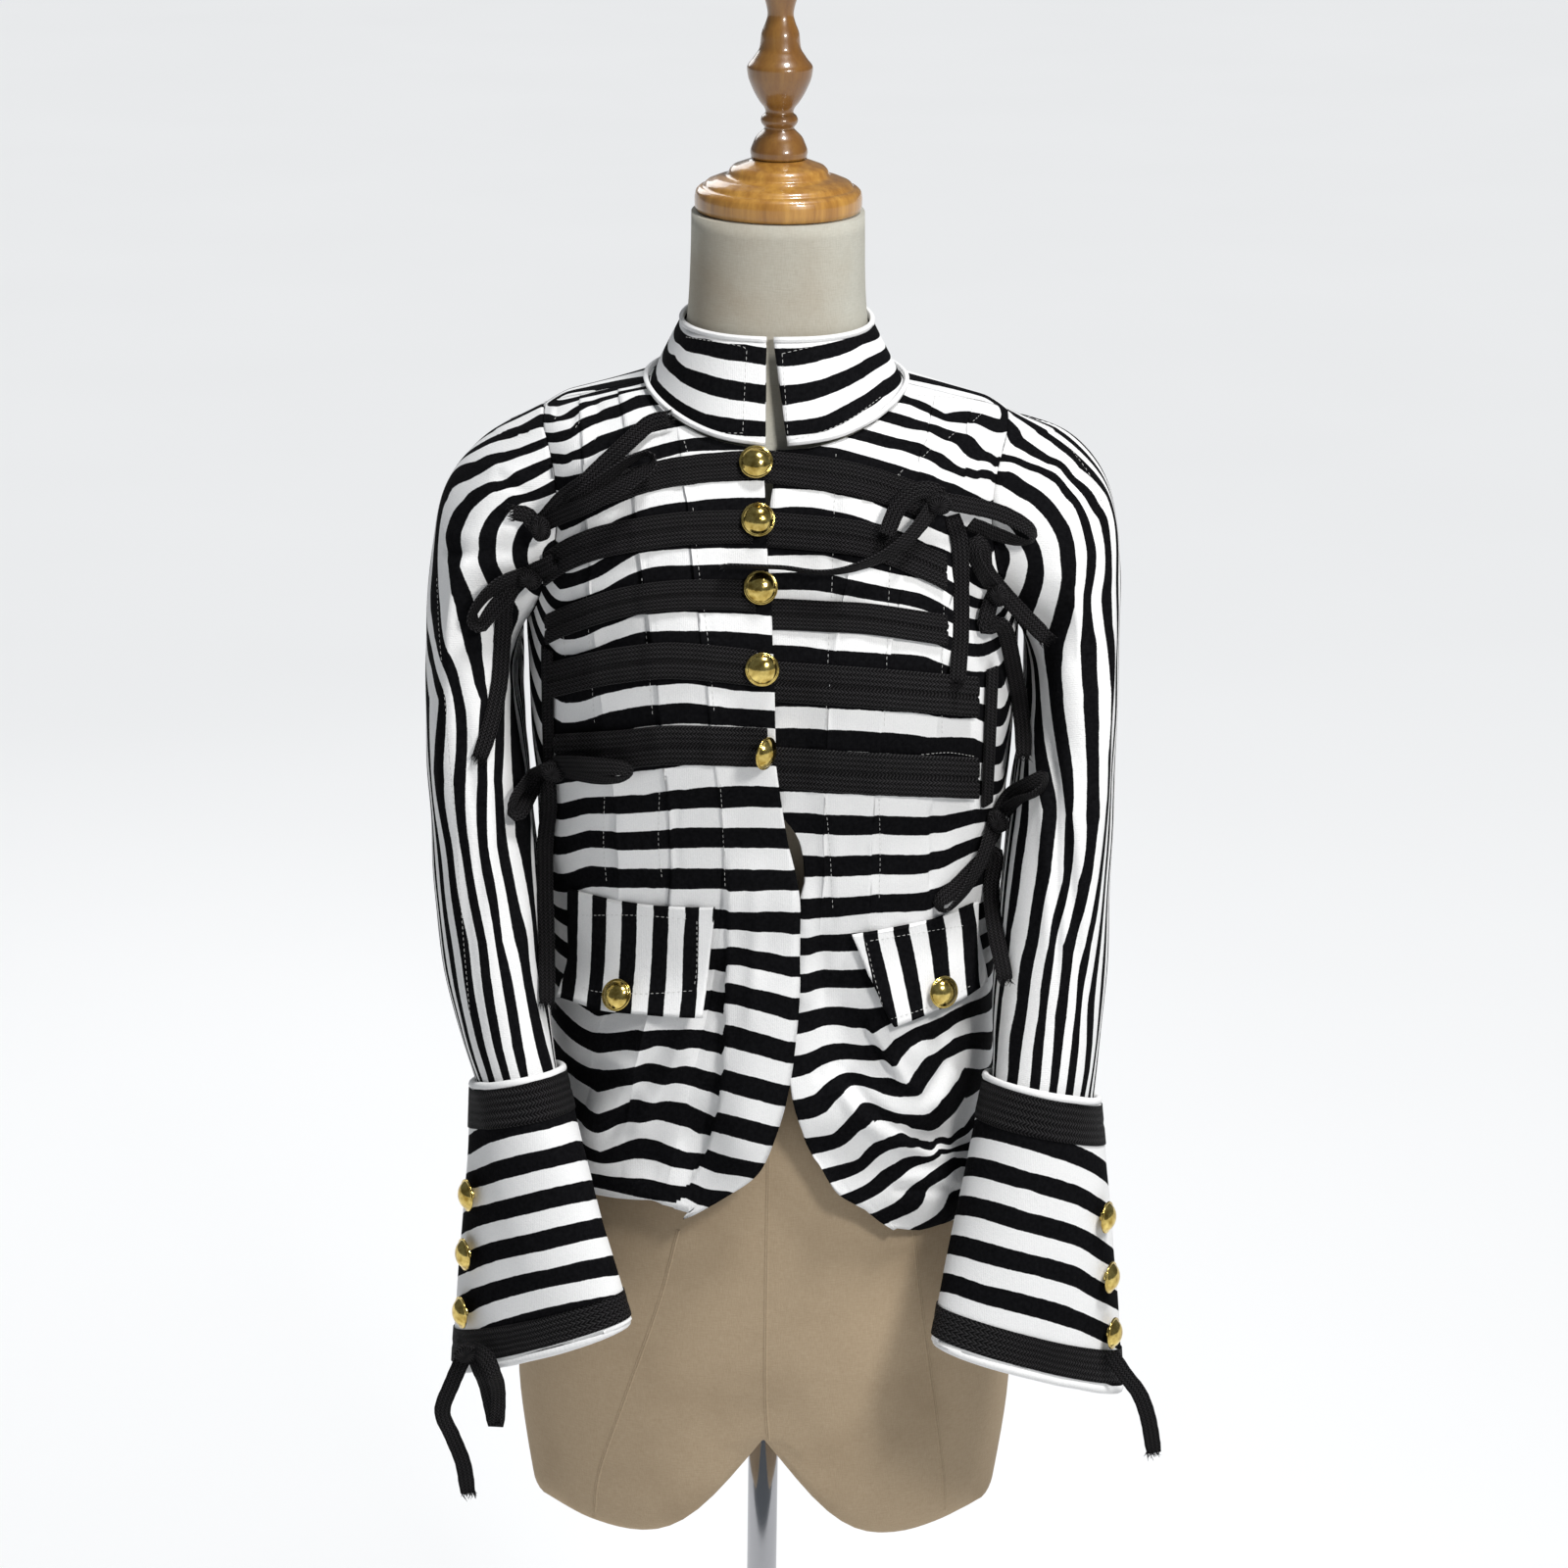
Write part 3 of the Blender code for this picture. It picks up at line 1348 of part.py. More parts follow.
def placed_points(thing):
    turn = thing.rotation_quaternion.to_matrix()
    return [thing.location + turn @ v.co for v in thing.data.vertices]


def distance(things, carriers):
    """How far things are from what carries them, from corners to surfaces both ways."""
    nearest = []
    for thing in things:
        points = placed_points(thing)
        tree = BVHTree.FromPolygons(points, [tuple(face.vertices) for face in thing.data.polygons])
        middle = sum(points, Vector()) / len(points)
        reach = max((p - middle).length for p in points)
        for surface, corners in carriers:
            nearest += [surface.find_nearest(p)[3] for p in points]
            near = [c for c in corners if (c - middle).length < reach + FAR]
            nearest += [tree.find_nearest(c)[3] for c in near]
    return min(nearest)


def settle(things, carriers, way):
    """Moves things one way until they are seated on what carries them."""
    for _ in range(SETTLE_STEPS):
        left = distance(things, carriers) - SEATED
        if left < SETTLED:
            return
        for thing in things:
            thing.location += way * left


def button(name, centre, axis, carriers):
    profile = [(r * BUTTON_RADIUS, h * BUTTON_RADIUS) for r, h in BUTTON]
    thing = turned(name, profile, "gilt", 8, (centre, axis))
    settle([thing], carriers, -Vector(axis))


def front_buttons(front, braids):
    for row in range(5):
        x, z = FRONT_BUTTONS["x"][row], FRONT_BUTTONS["z"][row]
        turn = math.radians(FRONT_BUTTONS["turn"][row])
        place, normal = on_front(front, x, z, LAID + BUTTON_RADIUS * math.sin(turn))
        axis = Vector((normal.x + math.tan(turn), normal.y, normal.z)).normalized()
        button(f"button_front_{row + 1}", place, axis, [front["face"], *braids])


def stand():
    foot = (
        (0, 0),
        (FOOT_RADIUS, 0),
        (FOOT_RADIUS, FOOT_THICK - FOOT_BEVEL),
        (FOOT_RADIUS - FOOT_BEVEL, FOOT_THICK),
        (HUB_RADIUS, FOOT_THICK + FOOT_CROWN),
        (HUB_RADIUS, HUB_HEIGHT - HUB_BEVEL),
        (HUB_RADIUS - HUB_BEVEL, HUB_HEIGHT),
        (0, HUB_HEIGHT),
    )
    turned("foot", foot, "foot_steel", 24)
    low = HUB_HEIGHT + SEAM_GAP
    seat = UNDERSIDE["share"][0] * FORM["width"][0]
    top = blend(CROTCH_Z, underside(seat), POLE_RADIUS / seat) - SEAM_GAP
    pole = ((0, low), (POLE_RADIUS, low), (POLE_RADIUS, top), (0, top))
    turned("pole", pole, "chrome", 16)


# Turned wood: radii and heights above the form's neck, in millimetres
CAP = (
    (0, 0), (50.5, 0), (51.5, 4), (51.0, 13), (46.0, 15.5), (44.0, 18), (31.0, 23), (29.5, 26),
    (17.0, 32), (0, 32),
)
FINIAL = (
    (0, 32.3), (16, 32.3), (17.5, 37), (14.5, 45), (9, 51), (11.5, 55.5), (8.5, 60), (12.5, 67),
    (17, 76), (20, 85), (20, 88), (17, 92), (13, 98), (11.5, 108), (8, 119), (10.5, 130), (12.5, 139),
    (10.5, 148), (6, 154), (0, 156),
)


def neck_cap_and_finial():
    cap = [(r / 1000, NECK_TOP_Z + SEAM_GAP + h / 1000) for r, h in CAP]
    turned("neck_cap", cap, "oak", 20)
    finial = [(r / 1000, NECK_TOP_Z + SEAM_GAP + h / 1000) for r, h in FINIAL]
    turned("finial", finial, "oak", 10)


FORM_SEGMENTS = 24
THIGH_Z = 0.590
ARCH_WIDTH = 0.038
RIM_RISE = 0.026
# The underside's rings: shares of the lowest section and how far each is above the arch
UNDERSIDE = table(
    "share lift", (0.075, 0.0), (0.28, 0.004), (0.58, 0.005), (0.84, 0.002), (0.97, 0.013)
)


def underside(x):
    """The height of the form's underside: two thighs with an arch between them."""
    return THIGH_Z + (CROTCH_Z - THIGH_Z) * math.exp(-((abs(x) / ARCH_WIDTH) ** 2.2))


# The neck of the form above the neckline: width, front, back and height
FORM_NECK = table(
    "width front back z_front z_back",
    (0.0660, 0.0690, 0.0560, 1.362, 1.380),
    (0.0590, 0.0610, 0.0540, 1.386, 1.394),
    (0.0555, 0.0565, 0.0530, 1.412, 1.414),
    (0.0540, 0.0545, 0.0530, 1.440, 1.440),
    (0.0535, 0.0535, 0.0535, 1.473, 1.473),
)


# The form under the yoke: where along the shoulder the cloth starts to rest on it, how wide
# that seat is in degrees, and its clearance from the cloth at the seat and elsewhere
SEAT_WAYS = (0.45, 0.62)
SEAT_WIDE = 24
SEAT_CLEAR = 0.0014
FORM_CLEAR = 0.0109
FORM_WAYS = (0.0, 0.18, 0.36, 0.50, 0.60, 0.70, 0.80, 0.90, 0.985)
SLOPE_STEP = 0.02


def form_yoke(angle, way):
    """The form under the yoke: it meets the cloth along the shoulders and stays off elsewhere."""
    point = yoke(angle, way)
    along = yoke(angle, min(way + SLOPE_STEP, 1.0)) - yoke(angle, max(way - SLOPE_STEP, 0.0))
    across = yoke(angle + SLOPE_STEP, way) - yoke(angle - SLOPE_STEP, way)
    normal = along.cross(across).normalized()
    if normal.dot(Vector((point.x, point.y, 0.02))) < 0:
        normal = -normal
    sideways = math.degrees(abs(abs(angle) - SIDE))
    seat = math.exp(-((sideways / SEAT_WIDE) ** 2)) * eased(way, *SEAT_WAYS)
    return point - normal * (CLOTH + blend(FORM_CLEAR, SEAT_CLEAR, seat))


def form():
    angles = [2 * math.pi * k / FORM_SEGMENTS for k in range(FORM_SEGMENTS)]
    angles = [a if a <= math.pi else a - 2 * math.pi for a in angles]
    rings = []
    lowest = [FORM[k][0] for k in ("width", "front", "back")]
    for share, lift in zip(*UNDERSIDE.values()):
        ring = []
        for a in angles:
            x, y = section(a, *(size * share for size in lowest))
            ring.append(Vector((x, y, underside(x) + lift)))
        rings.append(ring)
    for row in range(len(FORM["z"]) - 1):
        ring = []
        for a in angles:
            x, y = section(a, FORM["width"][row], FORM["front"][row], FORM["back"][row])
            above = underside(x) + RIM_RISE * (row + 1)
            ring.append(Vector((x, y, max(FORM["z"][row], above))))
        rings.append(ring)
    for way in FORM_WAYS:
        rings.append([form_yoke(a, way) for a in angles])
    for row in range(len(FORM_NECK["width"])):
        ring = []
        for a in angles:
            x, y = section(a, *(FORM_NECK[k][row] for k in ("width", "front", "back")))
            turn = (1 - math.cos(a)) / 2
            z = blend(FORM_NECK["z_front"][row], FORM_NECK["z_back"][row], turn)
            ring.append(Vector((x, y, z)))
        rings.append(ring)
    points = [Vector((0, 0, underside(0)))]
    for ring in rings:
        points.extend(ring)
    points.append(Vector((0, 0, NECK_TOP_Z)))
    count = FORM_SEGMENTS
    faces = []
    for k in range(count):
        m = (k + 1) % count
        faces.append((0, 1 + m, 1 + k))
        last = 1 + (len(rings) - 1) * count
        faces.append((len(points) - 1, last + k, last + m))
        for i in range(len(rings) - 1):
            a = 1 + i * count
            faces.append((a + k, a + m, a + count + m, a + count + k))
    make("form_torso", points, faces, "linen")


def furthest(name, cloth, x, z):
    """How far forward the cloth comes round a place, seen straight from the front. A cuff's
    tie hangs in one plane."""
    found = [HANGING_Y] if name.startswith("cuff") else []
    for surface in cloth:
        for dx in (-NEAR, 0, NEAR):
            for dz in (-NEAR, 0, NEAR):
                hit = seen(surface, x + dx, z + dz)[0]
                if hit is not None:
                    found.append(hit.y)
    return min(found)


def strand(name, cloth, rows, knot=None):
    """A strand of tape along a tie's rows, laid over the cloth below it. Its ends that are at
    the knot keep to the knot's depth."""
    steps = np.hypot(np.diff(rows["x"]), np.diff(rows["z"]))
    knots = np.concatenate([[0.0], np.cumsum(steps)])
    count = max(2, round(knots[-1] / STRAND_STEP))
    places = []
    tilts = []
    for at in np.linspace(0, knots[-1], count + 1):
        x, z, lift, tilt = (curve(at, knots, rows[k]) for k in ("x", "z", "lift", "tilt"))
        y = furthest(name, cloth, x, z)
        if knot is not None and at in (0, knots[-1]):
            if math.dist((x, z), (knot.x, knot.z)) < AT_KNOT:
                y = knot.y + KNOT_LIFT
        places.append([x, y - lift, z])
        tilts.append(math.radians(tilt))
    line = np.array(places)
    bridged = line[:, 1].copy()
    bridged[1:-1] = (line[:-2, 1] + line[1:-1, 1] + line[2:, 1]) / 3
    line[:, 1] = np.minimum(line[:, 1], bridged)
    along = np.gradient(line, axis=0)
    along /= np.linalg.norm(along, axis=1, keepdims=True)
    forward = np.array(FORWARD)
    points = []
    for place, way, tilt in zip(line, along, tilts):
        flat = np.cross(way, forward)
        flat /= np.linalg.norm(flat)
        up = np.cross(flat, way)
        broad = (flat * math.cos(tilt) + up * math.sin(tilt)) * TAPE_WIDTH / 2
        thin = np.cross(way, broad / np.linalg.norm(broad)) * TAPE_THICK / 2
        points += [place - broad - thin, place + broad - thin, place + broad + thin, place - broad + thin]
    faces = [(0, 1, 2, 3), tuple(4 * count + k for k in range(4))]
    for i in range(count):
        for k in range(4):
            m = (k + 1) % 4
            faces.append((4 * i + k, 4 * i + m, 4 * i + 4 + m, 4 * i + 4 + k))
    return make(name, points, faces, "black_braid")


def tie(name, cloth):
    """A tied tape in one piece: its knot with every strand joined on."""
    strands = TIES[name]
    first = next(iter(strands.values()))
    if len(strands) == 1:
        settle([strand(name, cloth, first)], cloth, -FORWARD)
        return
    x, z = first["x"][0], first["z"][0]
    y = furthest(name, cloth, x, z) - KNOT_LIFT
    profile = [(r / 1000, h / 1000) for r, h in KNOT]
    centre = Vector((x, y, z))
    knot = turned(name, profile, "black_braid", 8, (centre, FORWARD))
    parts = [knot]
    for label, rows in strands.items():
        other = strand(name + "_" + label, cloth, rows, centre)
        other.hide_render = True
        other.display_type = "WIRE"
        join = knot.modifiers.new(label, "BOOLEAN")
        join.operation = "UNION"
        join.solver = "EXACT"
        join.use_self = True
        join.object = other
        parts.append(other)
    settle(parts, cloth, -FORWARD)


def cuff_buttons(name, face):
    side = SIDES[name]
    for k, way in enumerate(CUFF_BUTTON_WAYS):
        centre = cuff_point(name, way, CUFF_BUTTON_TURN)
        across = centre - cuff_point(name, way, CUFF_BUTTON_TURN + math.pi)
        centre += across.normalized() * CUFF_BUTTON_LIFT
        out, forward, up = CUFF_BUTTON_AXIS
        axis = Vector((side * out, -forward, up)).normalized()
        button(f"button_cuff_{name}_{k + 1}", centre, axis, [face])


def main():
    for thing in list(bpy.data.objects):
        bpy.data.objects.remove(thing)
    stand()
    neck_cap_and_finial()
    form()
    fronts = {name: front_panel(name) for name in SIDES}
    back_panel()
    cloth = [front["face"] for front in fronts.values()]
    for name in SIDES:
        cloth.append(sleeve(name))
        face, bands = cuff(name)
        cloth += [face, *bands]
        cuff_buttons(name, face)
        face = flap(name, fronts[name])
        cloth.append(face)
        place, normal = seen(face, *FLAP_BUTTONS[name])
        button("button_flap_" + name, place + normal * LAID, normal, [face])
    collar()
    braids = [braid(name, row, fronts[name]) for name in SIDES for row in range(5)]
    cloth += braids
    for row, name in enumerate(SIDES):
        cloth.append(side_tape(name, row, fronts[name]))
    front_buttons(fronts["right"], braids)
    for name in TIES:
        tie(name, cloth)


main()
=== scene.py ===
import math

import bmesh
import bpy
import numpy as np
from mathutils import Matrix, Vector
from mathutils.bvhtree import BVHTree


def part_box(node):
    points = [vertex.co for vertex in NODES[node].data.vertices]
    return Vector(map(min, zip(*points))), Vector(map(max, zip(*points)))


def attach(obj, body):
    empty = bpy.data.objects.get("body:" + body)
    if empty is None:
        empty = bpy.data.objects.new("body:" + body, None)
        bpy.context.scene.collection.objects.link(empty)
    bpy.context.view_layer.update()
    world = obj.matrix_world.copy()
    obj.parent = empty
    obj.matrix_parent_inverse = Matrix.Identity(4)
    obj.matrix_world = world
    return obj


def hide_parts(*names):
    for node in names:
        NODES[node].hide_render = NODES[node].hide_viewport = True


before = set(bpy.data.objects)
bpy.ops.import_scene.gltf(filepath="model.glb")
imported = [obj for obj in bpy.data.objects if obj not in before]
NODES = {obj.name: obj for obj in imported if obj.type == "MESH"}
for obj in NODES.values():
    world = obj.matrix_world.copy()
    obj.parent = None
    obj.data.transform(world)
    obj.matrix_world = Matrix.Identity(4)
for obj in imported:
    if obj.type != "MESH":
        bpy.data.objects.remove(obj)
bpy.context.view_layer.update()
MM = 0.001
TURN = 2 * math.pi
SIDES = {"left": 1, "right": -1}
FORWARD = Vector((0, -1, 0))
UP = Vector((0, 0, 1))

# Camera: a little above the jacket and tipped down at it
DISTANCE = 2.4
PITCH = math.radians(19)
ROLL = math.radians(0.7)
SCALE = 0.635e-3  # metres to a pixel at the camera's distance
PICTURE = 1600
CENTRE_U, CENTRE_V = 787.0, 800.0
AIM_Z = 1.10
SENSOR = 36.0
EYE = Vector((0, -DISTANCE * math.cos(PITCH), AIM_Z + DISTANCE * math.sin(PITCH)))
AHEAD = Vector((0, math.cos(PITCH), -math.sin(PITCH)))
UPWARD = Vector((0, math.sin(PITCH), math.cos(PITCH)))


def make_camera():
    data = bpy.data.cameras.new("camera")
    camera = bpy.data.objects.new("camera", data)
    bpy.context.scene.collection.objects.link(camera)
    data.sensor_width = SENSOR
    data.lens = SENSOR * DISTANCE / SCALE / PICTURE
    data.shift_x = (PICTURE / 2 - CENTRE_U) / PICTURE
    data.shift_y = (CENTRE_V - PICTURE / 2) / PICTURE
    turn = Matrix.Rotation(math.pi / 2 - PITCH, 4, "X") @ Matrix.Rotation(ROLL, 4, "Z")
    camera.matrix_world = Matrix.Translation(EYE) @ turn
    bpy.context.scene.camera = camera


def on_picture(points):
    """Where points fall on the picture, in its pixels."""
    away = np.asarray(points, float) - np.array(EYE)
    depth = away @ np.array(AHEAD)
    across = DISTANCE / SCALE * away[..., 0] / depth
    up = DISTANCE / SCALE * (away @ np.array(UPWARD)) / depth
    u = CENTRE_U + across * math.cos(ROLL) + up * math.sin(ROLL)
    v = CENTRE_V - up * math.cos(ROLL) + across * math.sin(ROLL)
    return u, v


def picture_ray(u, v):
    du, dv = u - CENTRE_U, CENTRE_V - v
    across = du * math.cos(ROLL) - dv * math.sin(ROLL)
    up = du * math.sin(ROLL) + dv * math.cos(ROLL)
    return (AHEAD + (Vector((1, 0, 0)) * across + UPWARD * up) * (SCALE / DISTANCE)).normalized()


make_camera()


# Materials

class Shade:
    """A shader socket that takes part in sums."""

    def __init__(self, paint, socket):
        self.paint = paint
        self.socket = socket

    def math(self, operation, *others):
        values = dict(enumerate((self, *others)))
        return self.paint.node("ShaderNodeMath", {"operation": operation}, values)[0]

    def __add__(self, other):
        return self.math("ADD", other)

    def __mul__(self, other):
        return self.math("MULTIPLY", other)

    def __sub__(self, other):
        return self.math("SUBTRACT", other)

    def __rsub__(self, other):
        return self.math("MULTIPLY_ADD", -1.0, other)

    __radd__ = __add__
    __rmul__ = __mul__

    def wave(self):
        """0 to 1 and back at each whole number."""
        return (self * TURN).math("SINE") * 0.5 + 0.5

    def held(self):
        """Kept between 0 and 1."""
        return self.paint.node("ShaderNodeClamp", {}, {"Value": self, "Min": 0.0, "Max": 1.0})[0]


class Sockets:
    """A node's outputs, each as a shade."""

    def __init__(self, paint, node):
        self.paint = paint
        self.node = node

    def __getitem__(self, key):
        return Shade(self.paint, self.node.outputs[key])


class Paint:
    """A material under construction: its nodes, each made by one call."""

    def __init__(self, name):
        self.material = bpy.data.materials.new(name)
        self.material.use_nodes = True
        self.tree = self.material.node_tree
        self.place = self.node("ShaderNodeTexCoord")["Object"]

    def plug(self, socket, value):
        if isinstance(value, Shade):
            self.tree.links.new(value.socket, socket)
        else:
            socket.default_value = value

    def node(self, kind, settings=None, values=None):
        node = self.tree.nodes.new(kind)
        for key, value in (settings or {}).items():
            if key == "stops":
                for at, tint in value[1:-1]:
                    node.color_ramp.elements.new(at).color = (*tint, 1)
                for end in (0, -1):
                    node.color_ramp.elements[end].position = value[end][0]
                    node.color_ramp.elements[end].color = (*value[end][1], 1)
            else:
                setattr(node, key, value)
        for key, value in (values or {}).items():
            self.plug(node.inputs[key], value)
        return Sockets(self, node)

    def noise(self, scale, detail=2.0, stretch=None, roughness=0.5):
        place = self.place
        if stretch:
            place = self.node("ShaderNodeVectorMath", {"operation": "MULTIPLY"}, {0: place, 1: stretch})[0]
        values = {"Vector": place, "Scale": scale, "Detail": detail, "Roughness": roughness}
        return self.node("ShaderNodeTexNoise", {}, values)["Fac"]

    def mixed(self, share, first, second):
        """A colour between two, by the share of the second."""
        tints = [tint if isinstance(tint, Shade) else (*tint, 1.0) for tint in (first, second)]
        values = {"Factor": share, 6: tints[0], 7: tints[1]}
        return self.node("ShaderNodeMix", {"data_type": "RGBA"}, values)[2]

    def attribute(self, name):
        return self.node("ShaderNodeAttribute", {"attribute_name": name})["Fac"]

    def height(self):
        return self.node("ShaderNodeSeparateXYZ", {}, {0: self.place})["Z"]

    def relief(self, height, distance, strength=1.0):
        values = {"Height": height, "Distance": distance, "Strength": strength}
        return self.node("ShaderNodeBump", {}, values)["Normal"]

    def surface(self, **values):
        shader = self.tree.nodes["Principled BSDF"]
        for key, value in values.items():
            self.plug(shader.inputs[key.replace("_", " ")], value)
        return self.material


WHITE = (0.89, 0.885, 0.875)
SOFT_WHITE = (0.72, 0.725, 0.735)
BLACK = (0.0025, 0.0025, 0.003)
DUSTY_BLACK = (0.0075, 0.0075, 0.0085)


def jersey(name, striped):
    """The brushed knit, fibres in clumps over fine ribs: white, or in black and white stripes."""
    paint = Paint(name)
    fibres = paint.noise(1500, 3.0, roughness=0.62)
    clumps = paint.noise(420)
    tint = paint.mixed((fibres * 1.5 - 0.25).held(), SOFT_WHITE, WHITE)
    if striped:
        wander = (paint.noise(150) - 0.5) * 0.035 + (fibres - 0.5) * 0.03
        edge = (((paint.attribute("stripe") + wander) * TURN).math("SINE") * 14.0 + 0.5).held()
        darks = paint.mixed((clumps * 1.6 - 0.3).held(), BLACK, DUSTY_BLACK)
        tint = paint.mixed(edge, darks, tint)
    height = fibres * 0.62 + clumps * 0.5 + paint.attribute("rib").wave() * 0.16
    return paint.surface(
        Base_Color=tint, Roughness=0.97, Specular_IOR_Level=0.03, Normal=paint.relief(height, 0.0006, 0.75)
    )


def black_braid():
    """Cotton tape: ridges that lean one way, then the other, in bands along the tape. Its colour has a
    painted highlight: the ridges and the lines between the bands are coloured lighter.
    """
    paint = Paint("black_braid")
    across = paint.attribute("across")
    zigzag = across.math("PINGPONG", 0.5)
    ridges = (paint.attribute("along") * 0.44 + zigzag * 1.9).wave()
    valley = (across * TURN).math("COSINE") * 0.5 + 0.5
    threads = paint.noise(1700)
    height = ridges * 0.7 + threads * 0.35 + valley * 0.25
    # Colour: random thread tone, plus a painted highlight on the ridges and on the lines between the bands
    threads_and_painted_highlight = (ridges * ridges * 0.75 + threads * 0.55 + valley * 0.4 - 0.48).held()
    return paint.surface(
        Base_Color=paint.mixed(threads_and_painted_highlight, (0.0008, 0.0008, 0.0010), (0.040, 0.038, 0.040)),
        Roughness=0.80 - ridges * 0.2, Specular_IOR_Level=0.10, Normal=paint.relief(height, 0.0014),
    )


def gilt():
    paint = Paint("gilt")
    worn = paint.noise(210, 2.5)
    height = worn * 0.7 + paint.noise(2600) * 0.05
    return paint.surface(
        Base_Color=paint.mixed((worn * 2.6 - 0.8).held(), (0.36, 0.235, 0.045), (0.86, 0.67, 0.22)),
        Metallic=1.0, Roughness=worn * 0.14 + 0.09, Normal=paint.relief(height, 0.0006, 0.45),
    )


def linen():
    """Close canvas, greyer at the neck and browned below, with worn patches."""
    paint = Paint("linen")
    weave = paint.noise(1900, 1.0, (1.0, 1.0, 0.12)) * 0.5 + paint.noise(1900, 1.0, (0.12, 0.12, 1.0)) * 0.5
    patches = paint.noise(11, 4.0)
    low = ((1.28 - paint.height()) * 3.0 + (patches - 0.5) * 0.7).held()
    light = (weave * 1.5 - 0.25).held()
    neck = paint.mixed(light, (0.37, 0.36, 0.31), (0.50, 0.49, 0.43))
    hips = paint.mixed(light, (0.37, 0.275, 0.175), (0.49, 0.385, 0.265))
    stain = (patches * 3.2 - 1.55).held() * 0.55
    return paint.surface(
        Base_Color=paint.mixed(stain, paint.mixed(low, neck, hips), (0.27, 0.195, 0.12)), Roughness=0.9,
        Normal=paint.relief(weave, 0.0003, 0.6), Specular_IOR_Level=0.15,
    )


def oak():
    """Turned oak with a coat of varnish, darker on the finial."""
    paint = Paint("oak")
    drift = paint.noise(14, 3.0, (1.0, 1.0, 0.25))
    grain = paint.noise(160, 4.0, (1.0, 1.0, 0.07), 0.65)
    pores = paint.noise(700, 2.0, (1.0, 1.0, 0.05))
    stops = (0.25, (0.13, 0.050, 0.007)), (0.52, (0.33, 0.150, 0.024)), (0.80, (0.56, 0.30, 0.058))
    figure = paint.node("ShaderNodeValToRGB", {"stops": stops}, {"Fac": grain * 0.65 + drift * 0.45})[0]
    dark = paint.mixed((pores * 3.0 - 1.75).held() * 0.5, figure, (0.07, 0.026, 0.005))
    finial = ((paint.height() - 1.500) * 90.0).held() * 0.62
    return paint.surface(
        Base_Color=paint.mixed(finial, dark, (0.085, 0.030, 0.006)), Roughness=0.34, Coat_Weight=0.7,
        Coat_Roughness=0.05, Normal=paint.relief(pores, 0.0002, 0.3),
    )


def metal(name, tint, rough):
    paint = Paint(name)
    smear = paint.noise(30, 4.0)
    scratch = paint.noise(900, 2.0, (1.0, 1.0, 0.05))
    return paint.surface(
        Base_Color=paint.mixed(smear * 0.5, tint, tuple(0.7 * c for c in tint)), Metallic=1.0,
        Roughness=smear * 0.12 + rough, Normal=paint.relief(scratch, 0.0001, 0.2),
    )


def thread(name, tint):
    paint = Paint(name)
    twist = paint.noise(2400, 1.0)
    return paint.surface(
        Base_Color=paint.mixed(twist, tuple(0.72 * c for c in tint), tint), Roughness=0.8,
        Normal=paint.relief(twist, 0.0002, 0.5),
    )


def floor_paint():
    paint = Paint("pale_floor")
    return paint.surface(
        Base_Color=paint.mixed(paint.noise(1.2), (0.90, 0.90, 0.90), (0.93, 0.93, 0.93)), Roughness=0.9
    )


MATERIALS = {
    "striped_jersey": jersey("striped_jersey", True),
    "white_jersey": jersey("white_jersey", False),
    "black_braid": black_braid(),
    "gilt": gilt(),
    "linen": linen(),
    "oak": oak(),
    "chrome": metal("chrome", (0.50, 0.50, 0.52), 0.05),
    "foot_steel": metal("foot_steel", (0.60, 0.60, 0.62), 0.24),
}
WHITE_THREAD = thread("white_thread", (0.72, 0.72, 0.70))


# Meshes

def dressed(piece, slot, *nodes, material=None):
    """A finished piece: the material of its slot, or the one given, its body, and the solids that it stands
    for hidden.
    """
    piece.data.materials.clear()
    piece.data.materials.append(material or MATERIALS[slot])
    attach(piece, "root")
    if nodes:
        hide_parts(*nodes)
    return piece


def make(name, points, faces, **values):
    """A smooth mesh, with a value at each point under each name given."""
    mesh = bpy.data.meshes.new(name)
    mesh.from_pydata([tuple(map(float, p)) for p in points], [], [tuple(f) for f in faces])
    mesh.validate()
    mesh.shade_smooth()
    piece = bpy.data.objects.new(name, mesh)
    bpy.context.scene.collection.objects.link(piece)
    for key, value in values.items():
        give(mesh, key, value)
    return piece


def give(mesh, name, values):
    layer = mesh.attributes.new(name, "FLOAT", "POINT")
    layer.data.foreach_set("value", np.ascontiguousarray(values, np.float32))


def places(mesh, what="co"):
    found = np.empty(len(mesh.vertices) * 3)
    mesh.vertices.foreach_get(what, found)
    return found.reshape(-1, 3)


def placed(mesh, points):
    mesh.vertices.foreach_set("co", np.ascontiguousarray(points, float).ravel())
    mesh.update()


def tree_of(*pieces):
    """One search tree of several pieces' faces."""
    points, faces = [], []
    for piece in pieces:
        start = len(points)
        points += [v.co.copy() for v in piece.data.vertices]
        faces += [[start + k for k in f.vertices] for f in piece.data.polygons]
    return BVHTree.FromPolygons(points, faces)


SHARP = math.radians(52)  # edges as steep as this stay sharp


